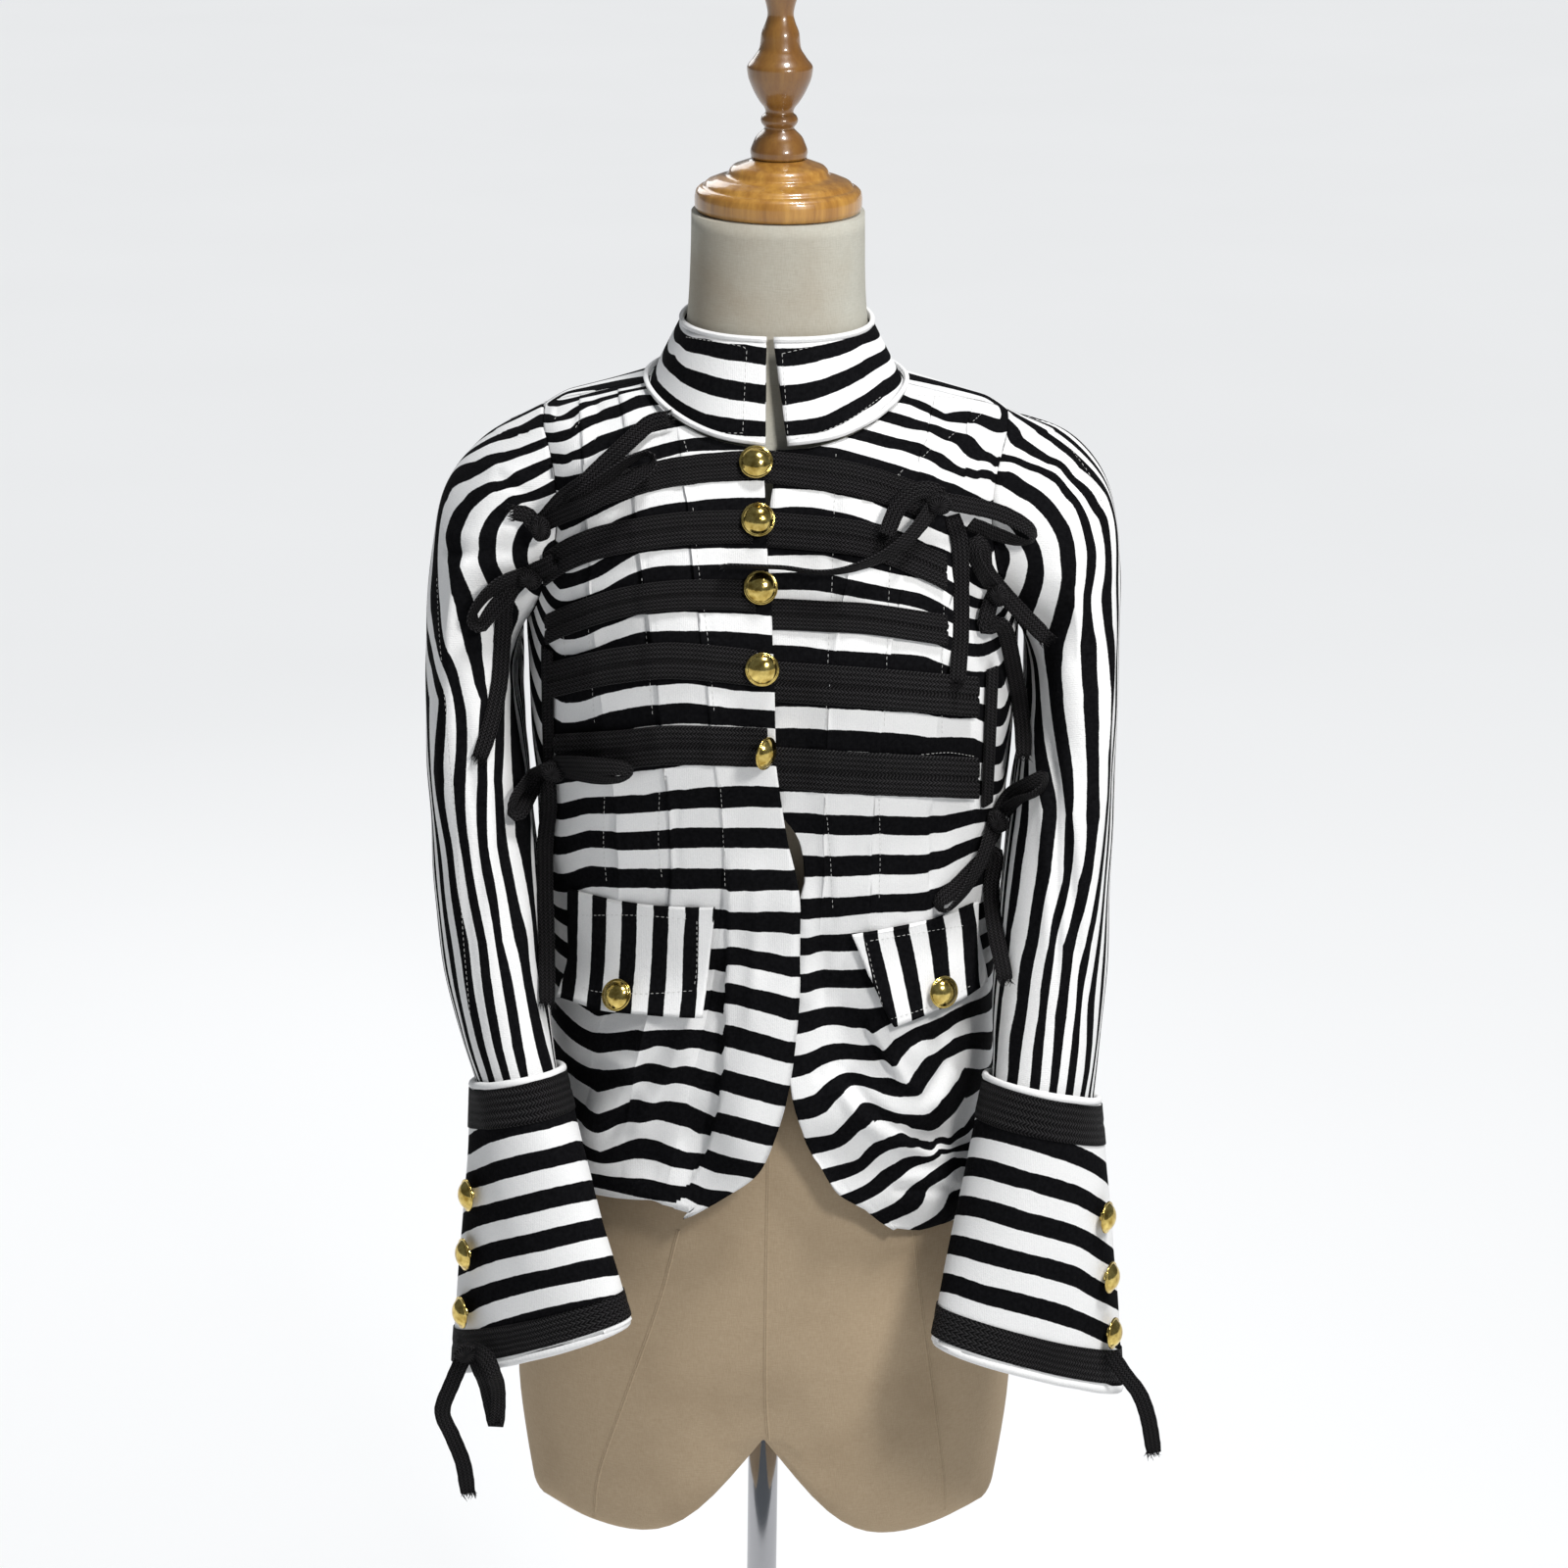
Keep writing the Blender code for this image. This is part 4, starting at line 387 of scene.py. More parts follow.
def fine_copy(node, name, levels=3):
    """A closely meshed copy of a solid: round but for its sharp edges, through its own points."""
    cage = bmesh.new()
    cage.from_mesh(NODES[node].data)
    bmesh.ops.remove_doubles(cage, verts=cage.verts, dist=1e-5)
    bmesh.ops.join_triangles(
        cage, faces=cage.faces, angle_face_threshold=math.radians(40),
        angle_shape_threshold=math.radians(70),
    )
    crease = cage.edges.layers.float.new("crease_edge")
    for edge in cage.edges:
        if len(edge.link_faces) == 2 and edge.calc_face_angle() > SHARP:
            edge[crease] = 1.0
    mesh = bpy.data.meshes.new(name)
    cage.to_mesh(mesh)
    cage.free()
    piece = bpy.data.objects.new(name, mesh)
    bpy.context.scene.collection.objects.link(piece)
    smooth = piece.modifiers.new("rounding", "SUBSURF")
    smooth.levels = smooth.render_levels = levels
    target = places(mesh)
    for _ in range(2):
        result = evaluated(piece)
        placed(mesh, places(mesh) + 0.8 * (target - places(result)[: len(target)]))
        bpy.data.meshes.remove(result)
    result = evaluated(piece)
    piece.modifiers.clear()
    piece.data = result
    bpy.data.meshes.remove(mesh)
    result.name = name
    result.materials.clear()
    result.shade_smooth()
    return piece


def evaluated(piece):
    bpy.context.view_layer.update()
    graph = bpy.context.evaluated_depsgraph_get()
    return bpy.data.meshes.new_from_object(piece.evaluated_get(graph))


def tube_faces(rings, sides, first=0):
    """The faces between rings of points that follow each other, and one over each end."""
    last = first + (rings - 1) * sides
    walls = [
        (a + k, a + (k + 1) % sides, a + sides + (k + 1) % sides, a + sides + k)
        for a in range(first, last, sides) for k in range(sides)
    ]
    return walls + [tuple(range(a, a + sides)) for a in (first, last)]


def slab_faces(rows, wide, closed=True):
    """The faces of a slab whose rows each hold the upper points, then the lower ones."""
    faces = []
    last = (rows - 1) * 2 * wide
    for a in range(0, last, 2 * wide):
        b = a + 2 * wide
        for j in range(wide - 1):
            faces.append((a + j, a + j + 1, b + j + 1, b + j))
            faces.append((b + wide + j, b + wide + j + 1, a + wide + j + 1, a + wide + j))
        if closed:
            faces.append((a, b, b + wide, a + wide))
            faces.append((b + wide - 1, a + wide - 1, a + 2 * wide - 1, b + 2 * wide - 1))
    for a in (0, last) if closed else ():
        faces += [(a + j, a + j + 1, a + wide + j + 1, a + wide + j) for j in range(wide - 1)]
    return faces


# Lines and values

def eased(value, low, high):
    """0 at low, 1 at high, smooth between."""
    u = np.clip((value - low) / (high - low), 0.0, 1.0)
    return u * u * (3 - 2 * u)


def unit(ways):
    return ways / np.linalg.norm(ways, axis=-1, keepdims=True)


def in_twos(flat):
    return [flat[k: k + 2] for k in range(0, len(flat), 2)]


def gone(line):
    """How far along a line each of its points lies."""
    return np.concatenate([[0], np.cumsum(np.linalg.norm(np.diff(line, axis=0), axis=1))])


def at_distances(line, far, at):
    """The places on a line at the given distances along it."""
    return np.stack([np.interp(at, far, column) for column in line.T], axis=1)


def calmed(values, rounds=1):
    """Each value but the first and the last drawn towards its neighbours."""
    for _ in range(rounds):
        values[1:-1] = (values[:-2] + 2 * values[1:-1] + values[2:]) / 4
    return values


def smooth_curve(points, step):
    """Points at even steps along a smooth curve through given ones."""
    points = np.array(points, float)
    whole = np.vstack([2 * points[0] - points[1], points, 2 * points[-1] - points[-2]])
    found = []
    for a, b, c, d in zip(whole, whole[1:], whole[2:], whole[3:]):
        for t in np.linspace(0, 1, 24, endpoint=False):
            bend = (2 * a - 5 * b + 4 * c - d) * t * t + (3 * b - a - 3 * c + d) * t ** 3
            found.append(0.5 * (2 * b + (c - a) * t + bend))
    found = np.array([*found, points[-1]])
    far = gone(found[:, :3])
    return at_distances(found, far, np.linspace(0, far[-1], max(3, int(round(far[-1] / step))) + 1))


class Field:
    """A value spread smoothly between given places, by distance from all of them."""

    def __init__(self, points, values, softness):
        points = np.asarray(points, float)
        self.points = points
        count, size = points.shape
        near = np.linalg.norm(points[:, None] - points[None], axis=2)
        whole = np.zeros((count + size + 1,) * 2)
        whole[:count, :count] = near - softness * np.eye(count)
        whole[:count, count] = whole[count, :count] = 1
        whole[:count, count + 1:] = points
        whole[count + 1:, :count] = points.T
        right = np.concatenate([values, np.zeros(size + 1)])
        self.shares = np.linalg.lstsq(whole, right, rcond=1e-9)[0]

    def __call__(self, wanted):
        count = len(self.points)
        found = []
        for part in np.array_split(wanted, max(1, len(wanted) // 6000)):
            near = np.linalg.norm(part[:, None] - self.points[None], axis=2)
            plain = self.shares[count] + part @ self.shares[count + 1:]
            found.append(near @ self.shares[:count] + plain)
        return np.concatenate(found)


def laid_on(tree, rays):
    """Where rays meet a surface, and the way out of it there; a ray is its start and its way."""
    found = []
    for start, way in rays:
        hit, normal = tree.ray_cast(start, way)[:2]
        if hit is not None:
            found.append((*hit, *(normal if normal.dot(way) < 0 else -normal)))
    found = np.array(found).reshape(-1, 6)
    return found[:, :3], found[:, 3:]


CLOTH = ("front", "back", "sleeve", "cuff", "collar", "flap")
OUTSIDE = tree_of(*(thing for node, thing in NODES.items() if node.split("_")[0] in CLOTH))


def cast(tree, marked):
    """Picture marks (u, v, value) as places on a surface with their values, where it is in sight."""
    points, values = [], []
    for u, v, value in marked:
        hit, _, _, far = tree.ray_cast(EYE, picture_ray(u, v))
        if hit is not None and far < OUTSIDE.ray_cast(EYE, picture_ray(u, v))[3] + 2 * MM:
            points.append(hit)
            values.append(value)
    return np.array(points), np.array(values)


# Stripes. They are counted downward on the fronts: a whole number is the upper edge of a white
# stripe, and a number and a half that of a black one. Each is given along lines on the picture.

def marks(*lines):
    """Marks from lines of one stripe edge each: its count, then u, v pairs."""
    return [(*place, count) for count, *pairs in lines for place in in_twos(pairs)]


def column(u, *pairs):
    """Marks down one column of the picture: count, v pairs."""
    return [(u, v, count) for count, v in in_twos(pairs)]


def run(u, count, *heights):
    """Marks of edges that follow each other down one column: the first count, then each v."""
    return [(u, v, count + 0.5 * k) for k, v in enumerate(heights)]


LOW_CHEST_RIGHT = (
    column(572, 6.5, 737) + run(600, 8, 797, 813, 830, 847, 865, 883, 905)
    + run(657, 8.5, 812, 829, 848, 867, 886, 906) + column(565, 8, 803, 9, 834, 10, 870, 11, 908)
)
CHEST_RIGHT = (
    column(750, 0, 491, 2, 560, 4, 626, 6, 705, 8, 779)
    + column(770, 0, 490, 2, 560, 4, 627, 6, 706, 8, 780)
    + column(700, -2, 428, -1, 461, 0, 495, 0.5, 512, 2, 560, 2.5, 577, 4, 624, 4.5, 644, 6, 697, 6.5, 717)
    + run(700, 8, 780, 806, 826, 845, 866, 886, 907)
    + column(650, 0, 506, 2, 564, 2.5, 583, 4, 627, 4.5, 646, 6, 701, 6.5, 721, 8, 787)
    + column(615, 0, 522, 2, 587, 2.5, 602, 4, 640, 4.5, 658, 6, 708, 6.5, 728)
    + column(572, 0, 543, 2, 602, 4, 651, 4.5, 668, 6, 716) + LOW_CHEST_RIGHT
)
SKIRT_RIGHT = (
    column(739, 9, 826, 10, 866, 11, 907) + run(739, 12, 948, 968, 993, 1013)
    + marks(
        (14, 738, 1035), (14.5, 737, 1057), (15, 736, 1077), (15.5, 733, 1097), (16, 728, 1118),
        (16.5, 722, 1139), (17, 712, 1158), (17.5, 700, 1177),
    )
    + run(700, 14, 1032, 1050, 1068, 1087, 1107, 1125, 1150)
    + run(650, 14.5, 1050, 1073, 1087, 1107, 1122, 1143, 1160) + column(645, 18, 1182, 18.5, 1202)
    + run(610, 14, 1038, 1053, 1075, 1091, 1115, 1137, 1157) + column(612, 17.5, 1177, 18.5, 1198)
)
# The strip along the right front's edge folds forward over the rest of the skirt
STRIP_RIGHT = (
    run(744, 8.5, 803, 823, 842, 864, 885, 907, 928, 947, 964, 983, 1001, 1023, 1044)
    + run(800, 8.5, 803, 825, 843, 863, 887, 905, 927, 949, 973, 993, 1014, 1038, 1060)
    + marks(
        (15, 740, 1066, 804, 1082), (15.5, 739, 1089, 761, 1095, 799, 1105),
        (16, 738, 1110, 761, 1118, 793, 1126), (16.5, 733, 1132, 788, 1147),
        (17, 730, 1153, 754, 1159, 778, 1166), (17.5, 724, 1171, 742, 1177, 769, 1183),
        (18, 714, 1188, 733, 1196, 756, 1198), (18.5, 706, 1206, 720, 1213, 741, 1215),
        (19, 698, 1221, 712, 1229, 728, 1230), (19.5, 687, 1237, 699, 1242),
    )
)
STRIP_EDGE_V = (860, 930, 1000, 1072, 1132, 1172, 1188, 1217, 1250)
STRIP_EDGE_U = (741.5, 742, 741, 739, 734, 723, 714, 698, 676)
SHOULDER_RIGHT = marks(
    (-2, 600, 467, 585, 468, 570, 473, 560, 480, 550, 487, 540, 492, 530, 499, 503, 500, 495, 508, 488, 515,
     480, 523, 476, 535, 474, 550, 470, 562, 472, 580, 477, 595, 482, 610, 487, 620),
    (-2.5, 610, 445, 600, 452, 590, 459, 578, 465, 560, 468, 545, 473, 530, 479, 521, 488, 510, 495, 480,
     500, 475, 512, 465, 520, 460, 530, 457, 545, 455, 560, 458, 580, 463, 605, 466, 620),
    (-3, 650, 417, 630, 427, 612, 431, 590, 441, 570, 451, 560, 457, 545, 462, 530, 464, 510, 470, 503, 480,
     490, 485, 480, 492, 462, 491, 461, 500, 460, 510, 453, 518, 451, 528, 449, 540),
    (-3.5, 650, 403, 635, 412, 620, 417, 605, 422, 588, 430, 583, 438, 565, 442, 550, 450, 530, 459, 515,
     462, 497, 463, 487, 472, 475, 474, 465, 482, 458, 490, 450, 495, 449, 505),
    (-4, 604, 412, 592, 423, 570, 430, 550, 436, 530, 443, 510, 449, 500, 452, 490, 459, 475, 461),
    (-4.5, 600, 410, 570, 425, 550, 431, 530, 437, 510, 444, 495, 451, 487, 457),
    (-1.5, 520, 504, 515, 515, 505, 522, 497, 530, 494, 540, 490, 560, 487, 567, 495, 590, 502, 603),
    (-1, 533, 511, 520, 520, 515, 530, 510, 538, 508, 547, 508, 572, 513, 583, 518, 590),
)
CHEST_LEFT = (
    column(792, 0, 498, 0.5, 519, 2, 567, 2.5, 585, 4, 638, 4.5, 658, 6, 722, 6.5, 743, 8, 807, 8.5, 828)
    + run(843, -2, 436, 456, 467)
    + column(843, 0, 502, 0.5, 520, 2, 567, 2.5, 585, 4, 643, 4.5, 663, 6, 723, 6.5, 745)
    + run(843, 8, 810, 832, 852, 874, 895) + column(843, 11, 938)
    + column(890, 0, 512, 0.5, 533, 2, 580, 2.5, 596, 4, 647, 4.5, 666, 6, 725, 6.5, 747)
    + run(890, 8, 812, 833, 852) + column(890, 10, 893, 11, 932)
    + column(945, 0, 536, 0.5, 555, 2, 591, 2.5, 608, 4, 652, 4.5, 670, 6, 728, 6.5, 752)
    + run(945, 8, 813, 834, 853) + column(945, 10, 892, 11, 930) + column(995, 6, 732, 6.5, 753)
    + run(995, 8, 812, 825, 840) + column(995, 10, 869, 11, 905)
    + run(1022, 5, 703, 720, 738, 758, 777, 795)
)
SKIRT_LEFT = (
    column(818, 9, 850, 10, 891, 11, 930) + run(818, 12, 971, 990, 1013, 1037)
    + column(834, 12, 973, 13, 1010, 13.5, 1031)
    + marks(
        (14, 819, 1062), (14.5, 819, 1083), (15, 819, 1104), (15.5, 819, 1128),
        (14, 830, 1054, 838, 1048, 852, 1046, 866, 1049, 884, 1051, 889, 1058, 898, 1050),
        (14.5, 828, 1075, 842, 1067, 862, 1065, 888, 1067, 901, 1075, 912, 1061),
        (15, 828, 1095, 838, 1089, 852, 1085, 872, 1083, 900, 1081, 910, 1091, 920, 1079, 930, 1068, 942,
         1061, 952, 1062, 968, 1051),
        (15.5, 832, 1117, 842, 1107, 860, 1096, 870, 1095, 888, 1100, 908, 1099, 924, 1108, 932, 1095, 946,
         1076, 958, 1070, 972, 1059),
        (16, 820, 1153, 834, 1148, 838, 1144, 844, 1135, 852, 1124, 860, 1114, 865, 1109, 872, 1108, 882,
         1108, 892, 1112, 902, 1117, 914, 1119, 924, 1118, 940, 1118, 944, 1109, 964, 1083),
        (16.5, 826, 1172, 840, 1166, 852, 1159, 864, 1145, 876, 1129, 878, 1125, 892, 1127, 902, 1133, 916,
         1137, 932, 1137, 950, 1137, 956, 1123, 978, 1097, 984, 1088),
        (17, 838, 1191, 852, 1177, 872, 1160, 889, 1143, 892, 1138, 902, 1145, 916, 1152, 932, 1157, 952,
         1156, 964, 1144, 984, 1117),
        (17.5, 850, 1209, 868, 1198, 878, 1186, 888, 1170, 896, 1163, 907, 1155, 920, 1156, 924, 1159, 940,
         1168, 952, 1170, 968, 1166, 984, 1151),
        (18, 866, 1222, 874, 1210, 878, 1198, 892, 1184, 908, 1174, 920, 1166, 923, 1161),
        (18.5, 882, 1232, 892, 1222, 892, 1206, 898, 1196, 912, 1190, 930, 1180, 937, 1171),
        (19, 900, 1239, 910, 1226, 912, 1213, 910, 1208, 924, 1198, 940, 1188, 956, 1174),
        (19.5, 918, 1247, 926, 1238, 930, 1216, 932, 1212, 942, 1204, 956, 1194, 972, 1179),
        (20, 936, 1248, 944, 1240, 948, 1216, 952, 1212, 968, 1202, 984, 1188),
        (20.5, 954, 1249, 962, 1240, 967, 1216, 984, 1204), (21, 972, 1249, 978, 1238, 983, 1216),
    )
)
SHOULDER_LEFT = marks(
    (-2.5, 930, 453, 945, 455, 960, 462, 975, 475, 983, 481, 997, 482, 1013, 480, 1030, 479, 1037, 483,
     1043, 491, 1053, 497, 1063, 504, 1073, 513, 1083, 527, 1092, 538, 1097, 555, 1098, 575, 1098, 592,
     1097, 612, 1092, 635),
    (-2, 930, 463, 942, 465, 960, 479, 970, 482, 985, 483, 1000, 484, 1010, 488, 1020, 495, 1030, 505, 1040,
     513, 1050, 514, 1058, 522, 1068, 533, 1075, 545, 1080, 558, 1081, 575, 1081, 595, 1078, 610, 1072,
     637),
    (-1.5, 930, 480, 952, 485, 975, 493, 1000, 507, 1010, 513, 1027, 521, 1040, 522, 1055, 552, 1062, 568,
     1062, 602, 1057, 617, 1054, 627),
    (-1, 1039, 557, 1047, 568, 1048, 577, 1045, 587, 1041, 600, 1037, 610),
    (-0.5, 1032, 562, 1030, 572, 1026, 583, 1024, 592), (0, 1012, 560, 1010, 572, 1012, 585),
    (-3, 930, 439, 947, 442, 970, 448, 977, 454, 987, 467, 997, 471, 1015, 477, 1032, 471, 1060, 480, 1080,
     494, 1095, 515, 1105, 545, 1108, 580, 1105, 610),
    (-3.5, 930, 427, 940, 431, 950, 435, 968, 438, 980, 439, 987, 442, 995, 447, 1005, 461, 1020, 468, 1057,
     475, 1077, 482, 1093, 505, 1112, 530, 1118, 580, 1114, 610),
    # The thin black band from -4.5 to -4 near the sleeve's head lies along a fold: partly the stripe hidden
    # in the fold, partly the fold's dark line painted in as stripe, painted shade.
    (-4, 930, 414, 948, 423, 965, 430, 993, 429, 1012, 440, 1027, 459, 1053, 468, 1085, 487, 1103, 505,
     1121, 530, 1126, 580, 1122, 610),
    (-4.5, 930, 408, 948, 415, 965, 426, 980, 420, 1002, 422, 1021, 429, 1037, 447, 1068, 471, 1095, 488,
     1118, 518, 1133, 560, 1133, 600),
    (-5, 1000, 412, 1030, 424, 1050, 436, 1072, 452, 1100, 479, 1128, 506),
)
# The left front's edge on the picture: its place in the solid, and how many pixels the cloth
# reaches past it
LEFT_EDGE_V = (900, 930, 980, 1044, 1086, 1121, 1156, 1191, 1220, 1240, 1250)
LEFT_EDGE_U = (816, 816, 816, 817, 822, 829, 840, 861, 896, 938, 970)
LEFT_REACH = (0, -6, -10, -14, -20, -22, -22, -25, -32, -38, -38)
LEFT_EDGE_SOFT = 75  # how far in from its edge the front is drawn with it, in pixels
LEFT_HEM_V = 1262
# The right shoulder's ridge, which is out of sight: x, y, z, count
RIDGE = [
    (x, y, 1.358 - 0.35 * (abs(x) - 0.11), -4.9 if y else -5.5)
    for x in (-0.09, -0.105, -0.12, -0.134) for y in (-0.012, 0.0)
]
FRONT_MARKS = {
    "left": CHEST_LEFT + SKIRT_LEFT + SHOULDER_LEFT,
    "right": CHEST_RIGHT + SKIRT_RIGHT + SHOULDER_RIGHT,
}
SHOULDERS = {"left": SHOULDER_LEFT, "right": SHOULDER_RIGHT}

# Sleeves: the height on the picture, the first count, the stripes' period in mm on the hidden
# side, and the edges from inside to outside
SLEEVE_ROWS = {
    "left": (
        # On the left sleeve some black bands narrow to a few pixels where they run into folds, as at 1089 to
        # 1093 on row 827: partly the stripe hidden in the fold, partly the fold's dark line painted in as
        # stripe, painted shade.
        (650, -0.5, 21, (1032, 1041, 1049, 1062, 1083, 1102, 1121, 1129, 1135)),
        (735, -0.25, 18, (1036, 1045, 1056, 1067, 1080, 1098, 1116, 1127)),
        (827, 0, 15, (1042, 1050, 1068, 1077, 1089, 1093, 1108, 1123, 1127)),
        (893, 0, 14, (1035, 1043, 1058, 1072, 1086, 1093, 1099, 1115, 1122)),
        (960, -0.5, 13, (1031, 1048, 1060, 1072, 1077, 1083, 1100, 1108, 1113)),
        (1030, -0.5, 12, (1022, 1038, 1048, 1061, 1068, 1076, 1090, 1098, 1104, 1109)),
        (1100, -0.5, 12, (1015, 1030, 1039, 1052, 1062, 1072, 1080, 1089, 1097, 1105, 1111)),
    ),
    "right": (
        (650, -0.5, 21, (531, 522, 501, 494, 475, 457, 443, 436)),
        (713, -1.5, 18, (503, 498, 493, 473, 462, 455, 448, 440)),
        (793, 0, 15, (538, 522, 512, 503, 497, 487, 475, 462, 455, 443)),
        (860, 0, 14, (542, 525, 518, 507, 497, 488, 479, 468, 462, 453)),
        (960, -1, 13, (537, 524, 513, 505, 497, 488, 478, 468, 462)),
        (1093, -1, 12, (565, 553, 536, 530, 519, 512, 503, 497, 490, 487)),
    ),
}
# Folds: height in mm, breadth in pixels, then u, v pairs
FOLDS = {
    "front_right": (
        (-2.4, 7, 684, 1046, 663, 1086, 644, 1122, 622, 1160, 600, 1182),
        (1.7, 9, 700, 1052, 684, 1092, 664, 1128, 640, 1168),
        (-1.8, 6, 734, 1010, 731, 1060, 727, 1120, 716, 1168, 704, 1195),
        (-1.0, 6, 726, 1100, 712, 1140, 690, 1180), (1.0, 8, 600, 1060, 640, 1090, 660, 1130),
        (-0.9, 5, 690, 800, 688, 850, 692, 905), (-0.8, 5, 626, 810, 622, 860, 628, 905),
        (0.8, 9, 770, 870, 772, 960, 762, 1060), (-0.8, 9, 752, 930, 758, 1010, 746, 1080),
        (-1.2, 7, 590, 428, 574, 422, 562, 419), (-1.2, 6, 606, 406, 608, 420, 606, 432),
        (-1.1, 7, 640, 500, 655, 590, 665, 700), (0.7, 9, 585, 560, 600, 640, 606, 730),
        (-0.7, 8, 700, 450, 712, 560, 722, 650, 730, 740),
    ),
    "front_left": (
        (-2.6, 6, 860, 1085, 872, 1106, 882, 1122, 896, 1135, 911, 1146, 928, 1153, 943, 1161, 975, 1160),
        (1.6, 8, 846, 1096, 860, 1117, 871, 1132, 886, 1146, 903, 1159, 924, 1168, 950, 1180, 985, 1178),
        (-2.2, 5, 872, 1030, 884, 1058, 895, 1076, 905, 1092, 915, 1110),
        (1.2, 6, 884, 1030, 896, 1058, 907, 1076, 917, 1092, 926, 1106, 950, 1118),
        (-1.6, 5, 940, 1130, 952, 1112, 962, 1092, 975, 1072), (1.0, 7, 952, 1134, 965, 1112, 978, 1090),
        (-1.6, 5, 905, 1214, 932, 1213, 960, 1214, 990, 1216), (0.9, 7, 905, 1203, 932, 1203, 985, 1204),
        (-1.0, 7, 830, 1100, 850, 1085, 862, 1090), (-1.3, 4, 950, 812, 954, 860, 950, 920),
        (0.8, 6, 962, 815, 966, 870, 960, 915), (-0.8, 5, 897, 812, 899, 870, 896, 925),
        (-0.8, 5, 843, 835, 846, 900, 850, 960), (1.0, 10, 816, 880, 822, 960, 820, 1040),
        (-0.9, 8, 836, 880, 840, 960, 842, 1040), (-1.3, 7, 925, 478, 947, 461, 974, 443, 998, 425),
        (1.1, 8, 905, 470, 935, 448, 965, 428), (-1.0, 8, 853, 463, 849, 596, 843, 743),
        (-0.9, 8, 918, 500, 907, 606, 902, 745), (-1.6, 9, 1010, 470, 1035, 472, 1060, 484),
        (-1.2, 9, 980, 560, 1010, 640, 1018, 700),
    ),
    "sleeve_left": (
        (-2.0, 5, 1062, 690, 1074, 800, 1079, 920, 1078, 1030),
        (-1.5, 5, 1070, 755, 1090, 860, 1100, 950, 1105, 1030),
        (-1.3, 5, 1043, 655, 1064, 770, 1090, 900, 1104, 1040),
        (1.6, 7, 1052, 690, 1065, 800, 1069, 900, 1068, 1000), (1.3, 7, 1082, 745, 1102, 870, 1110, 960),
        (-1.5, 6, 1079, 478, 1098, 492, 1113, 514, 1120, 560), (1.2, 8, 1060, 478, 1090, 500, 1104, 540),
        (-1.2, 8, 1114, 560, 1112, 620, 1096, 700), (1.0, 9, 1040, 960, 1030, 1040, 1024, 1085),
    ),
    "sleeve_right": (
        (-2.0, 7, 446, 560, 480, 566, 512, 560, 545, 552), (1.6, 9, 450, 545, 480, 548, 520, 538),
        (-1.7, 6, 502, 478, 520, 492, 545, 508), (1.3, 7, 490, 470, 512, 480, 540, 492),
        (-1.5, 6, 500, 604, 514, 650, 528, 700, 520, 800),
        (-1.3, 6, 455, 650, 470, 730, 486, 830, 492, 960), (1.3, 8, 468, 640, 486, 740, 500, 850, 505, 960),
        (-1.2, 6, 500, 700, 508, 800, 512, 930, 516, 1050), (1.0, 7, 536, 760, 540, 880, 532, 1000),
        (-1.0, 6, 470, 840, 478, 950, 494, 1080),
    ),
}
# Folds of the back: height and breadth in mm, then x, z pairs in mm
BACK_FOLDS = (
    (-1.4, 7, -30, 1060, -36, 990, -50, 900, -54, 850), (1.5, 9, -16, 1040, -22, 950, -36, 860),
    (-1.3, 7, 28, 1070, 36, 980, 46, 900, 58, 840), (1.4, 9, 46, 1040, 55, 950, 70, 870),
    (-1.1, 6, 74, 1050, 86, 970, 94, 880), (-1.2, 6, -76, 1050, -84, 960, -98, 870),
    (1.1, 8, -96, 1030, -106, 940), (-1.0, 7, -110, 1100, -60, 1085, -10, 1094),
    (0.9, 8, 110, 1115, 60, 1098, 20, 1104), (-1.0, 8, -100, 1260, -60, 1215, -40, 1150),
    (-1.1, 8, 105, 1270, 70, 1220, 45, 1160), (0.9, 10, -30, 1340, -34, 1270, -30, 1200),
    (0.8, 10, 40, 1345, 46, 1290, 42, 1220),
)
RIB = 1.1 * MM  # one rib of the knit
SIDE_HEIGHTS = np.linspace(0.86, 1.30, 45)
SOFTNESS = 1.5 * MM  # how loosely a front's stripes keep to their marks
SIDE_X = 0.155  # the trunk's side
PIECES = {}  # the finished pieces of cloth and braid, by node
FIELDS = {}  # the fronts' stripe counts in space
LEVELS = {}  # each side's counts at SIDE_HEIGHTS
STRIP_RISE = 3.4  # how far the strip stands up, in mm, with a little more next to the opening
STRIP_OPENING_U = (770, 800)
STRIP_FOOT_V = (1190, 1222)  # where the strip sinks to the hem


def side_counts(field, tree, side):
    """Level stripes round the side and under the arm, from the counts of the front's middle."""
    points = []
    for z in SIDE_HEIGHTS:
        hit = tree.ray_cast(Vector((side * 0.085, -1, z)), -FORWARD)[0]
        points.append((side * 0.085, -0.10, z) if hit is None else tuple(hit))
    return field(np.array(points))


def more_marks(where, counts, rows):
    """Marks on a surface with further ones, each x, y, z, count."""
    rows = np.array(rows, float)
    return np.vstack([where, rows[:, :3]]), np.concatenate([counts, rows[:, 3]])


def facing_out(piece, rough):
    """Each point's way out of the cloth, on both of its walls, where the rough ways lead."""
    facing = places(piece.data, "normal")
    return facing * np.where((facing * rough).sum(axis=1) < 0, -1.0, 1.0)[:, None]


def from_trunk(points):
    """Rough ways out of the trunk: from its middle line, and up above the chest."""
    return points - np.minimum(points, (0, 0, 1.15)) * (0, 0, 1)


def near_line(u, v, line):
    """Distances from a line on the picture, in pixels, and the share of the way along it."""
    best = np.full(len(u), 1e9)
    share = np.zeros(len(u))
    line = np.array(line, float)
    far = gone(line)
    for a, b, start, end in zip(line, line[1:], far, far[1:]):
        way = (b - a) / (end - start)
        at = np.clip((u - a[0]) * way[0] + (v - a[1]) * way[1], 0, end - start)
        gap = np.hypot(u - a[0] - at * way[0], v - a[1] - at * way[1])
        share = np.where(gap < best, (start + at) / far[-1], share)
        best = np.minimum(gap, best)
    return best, share


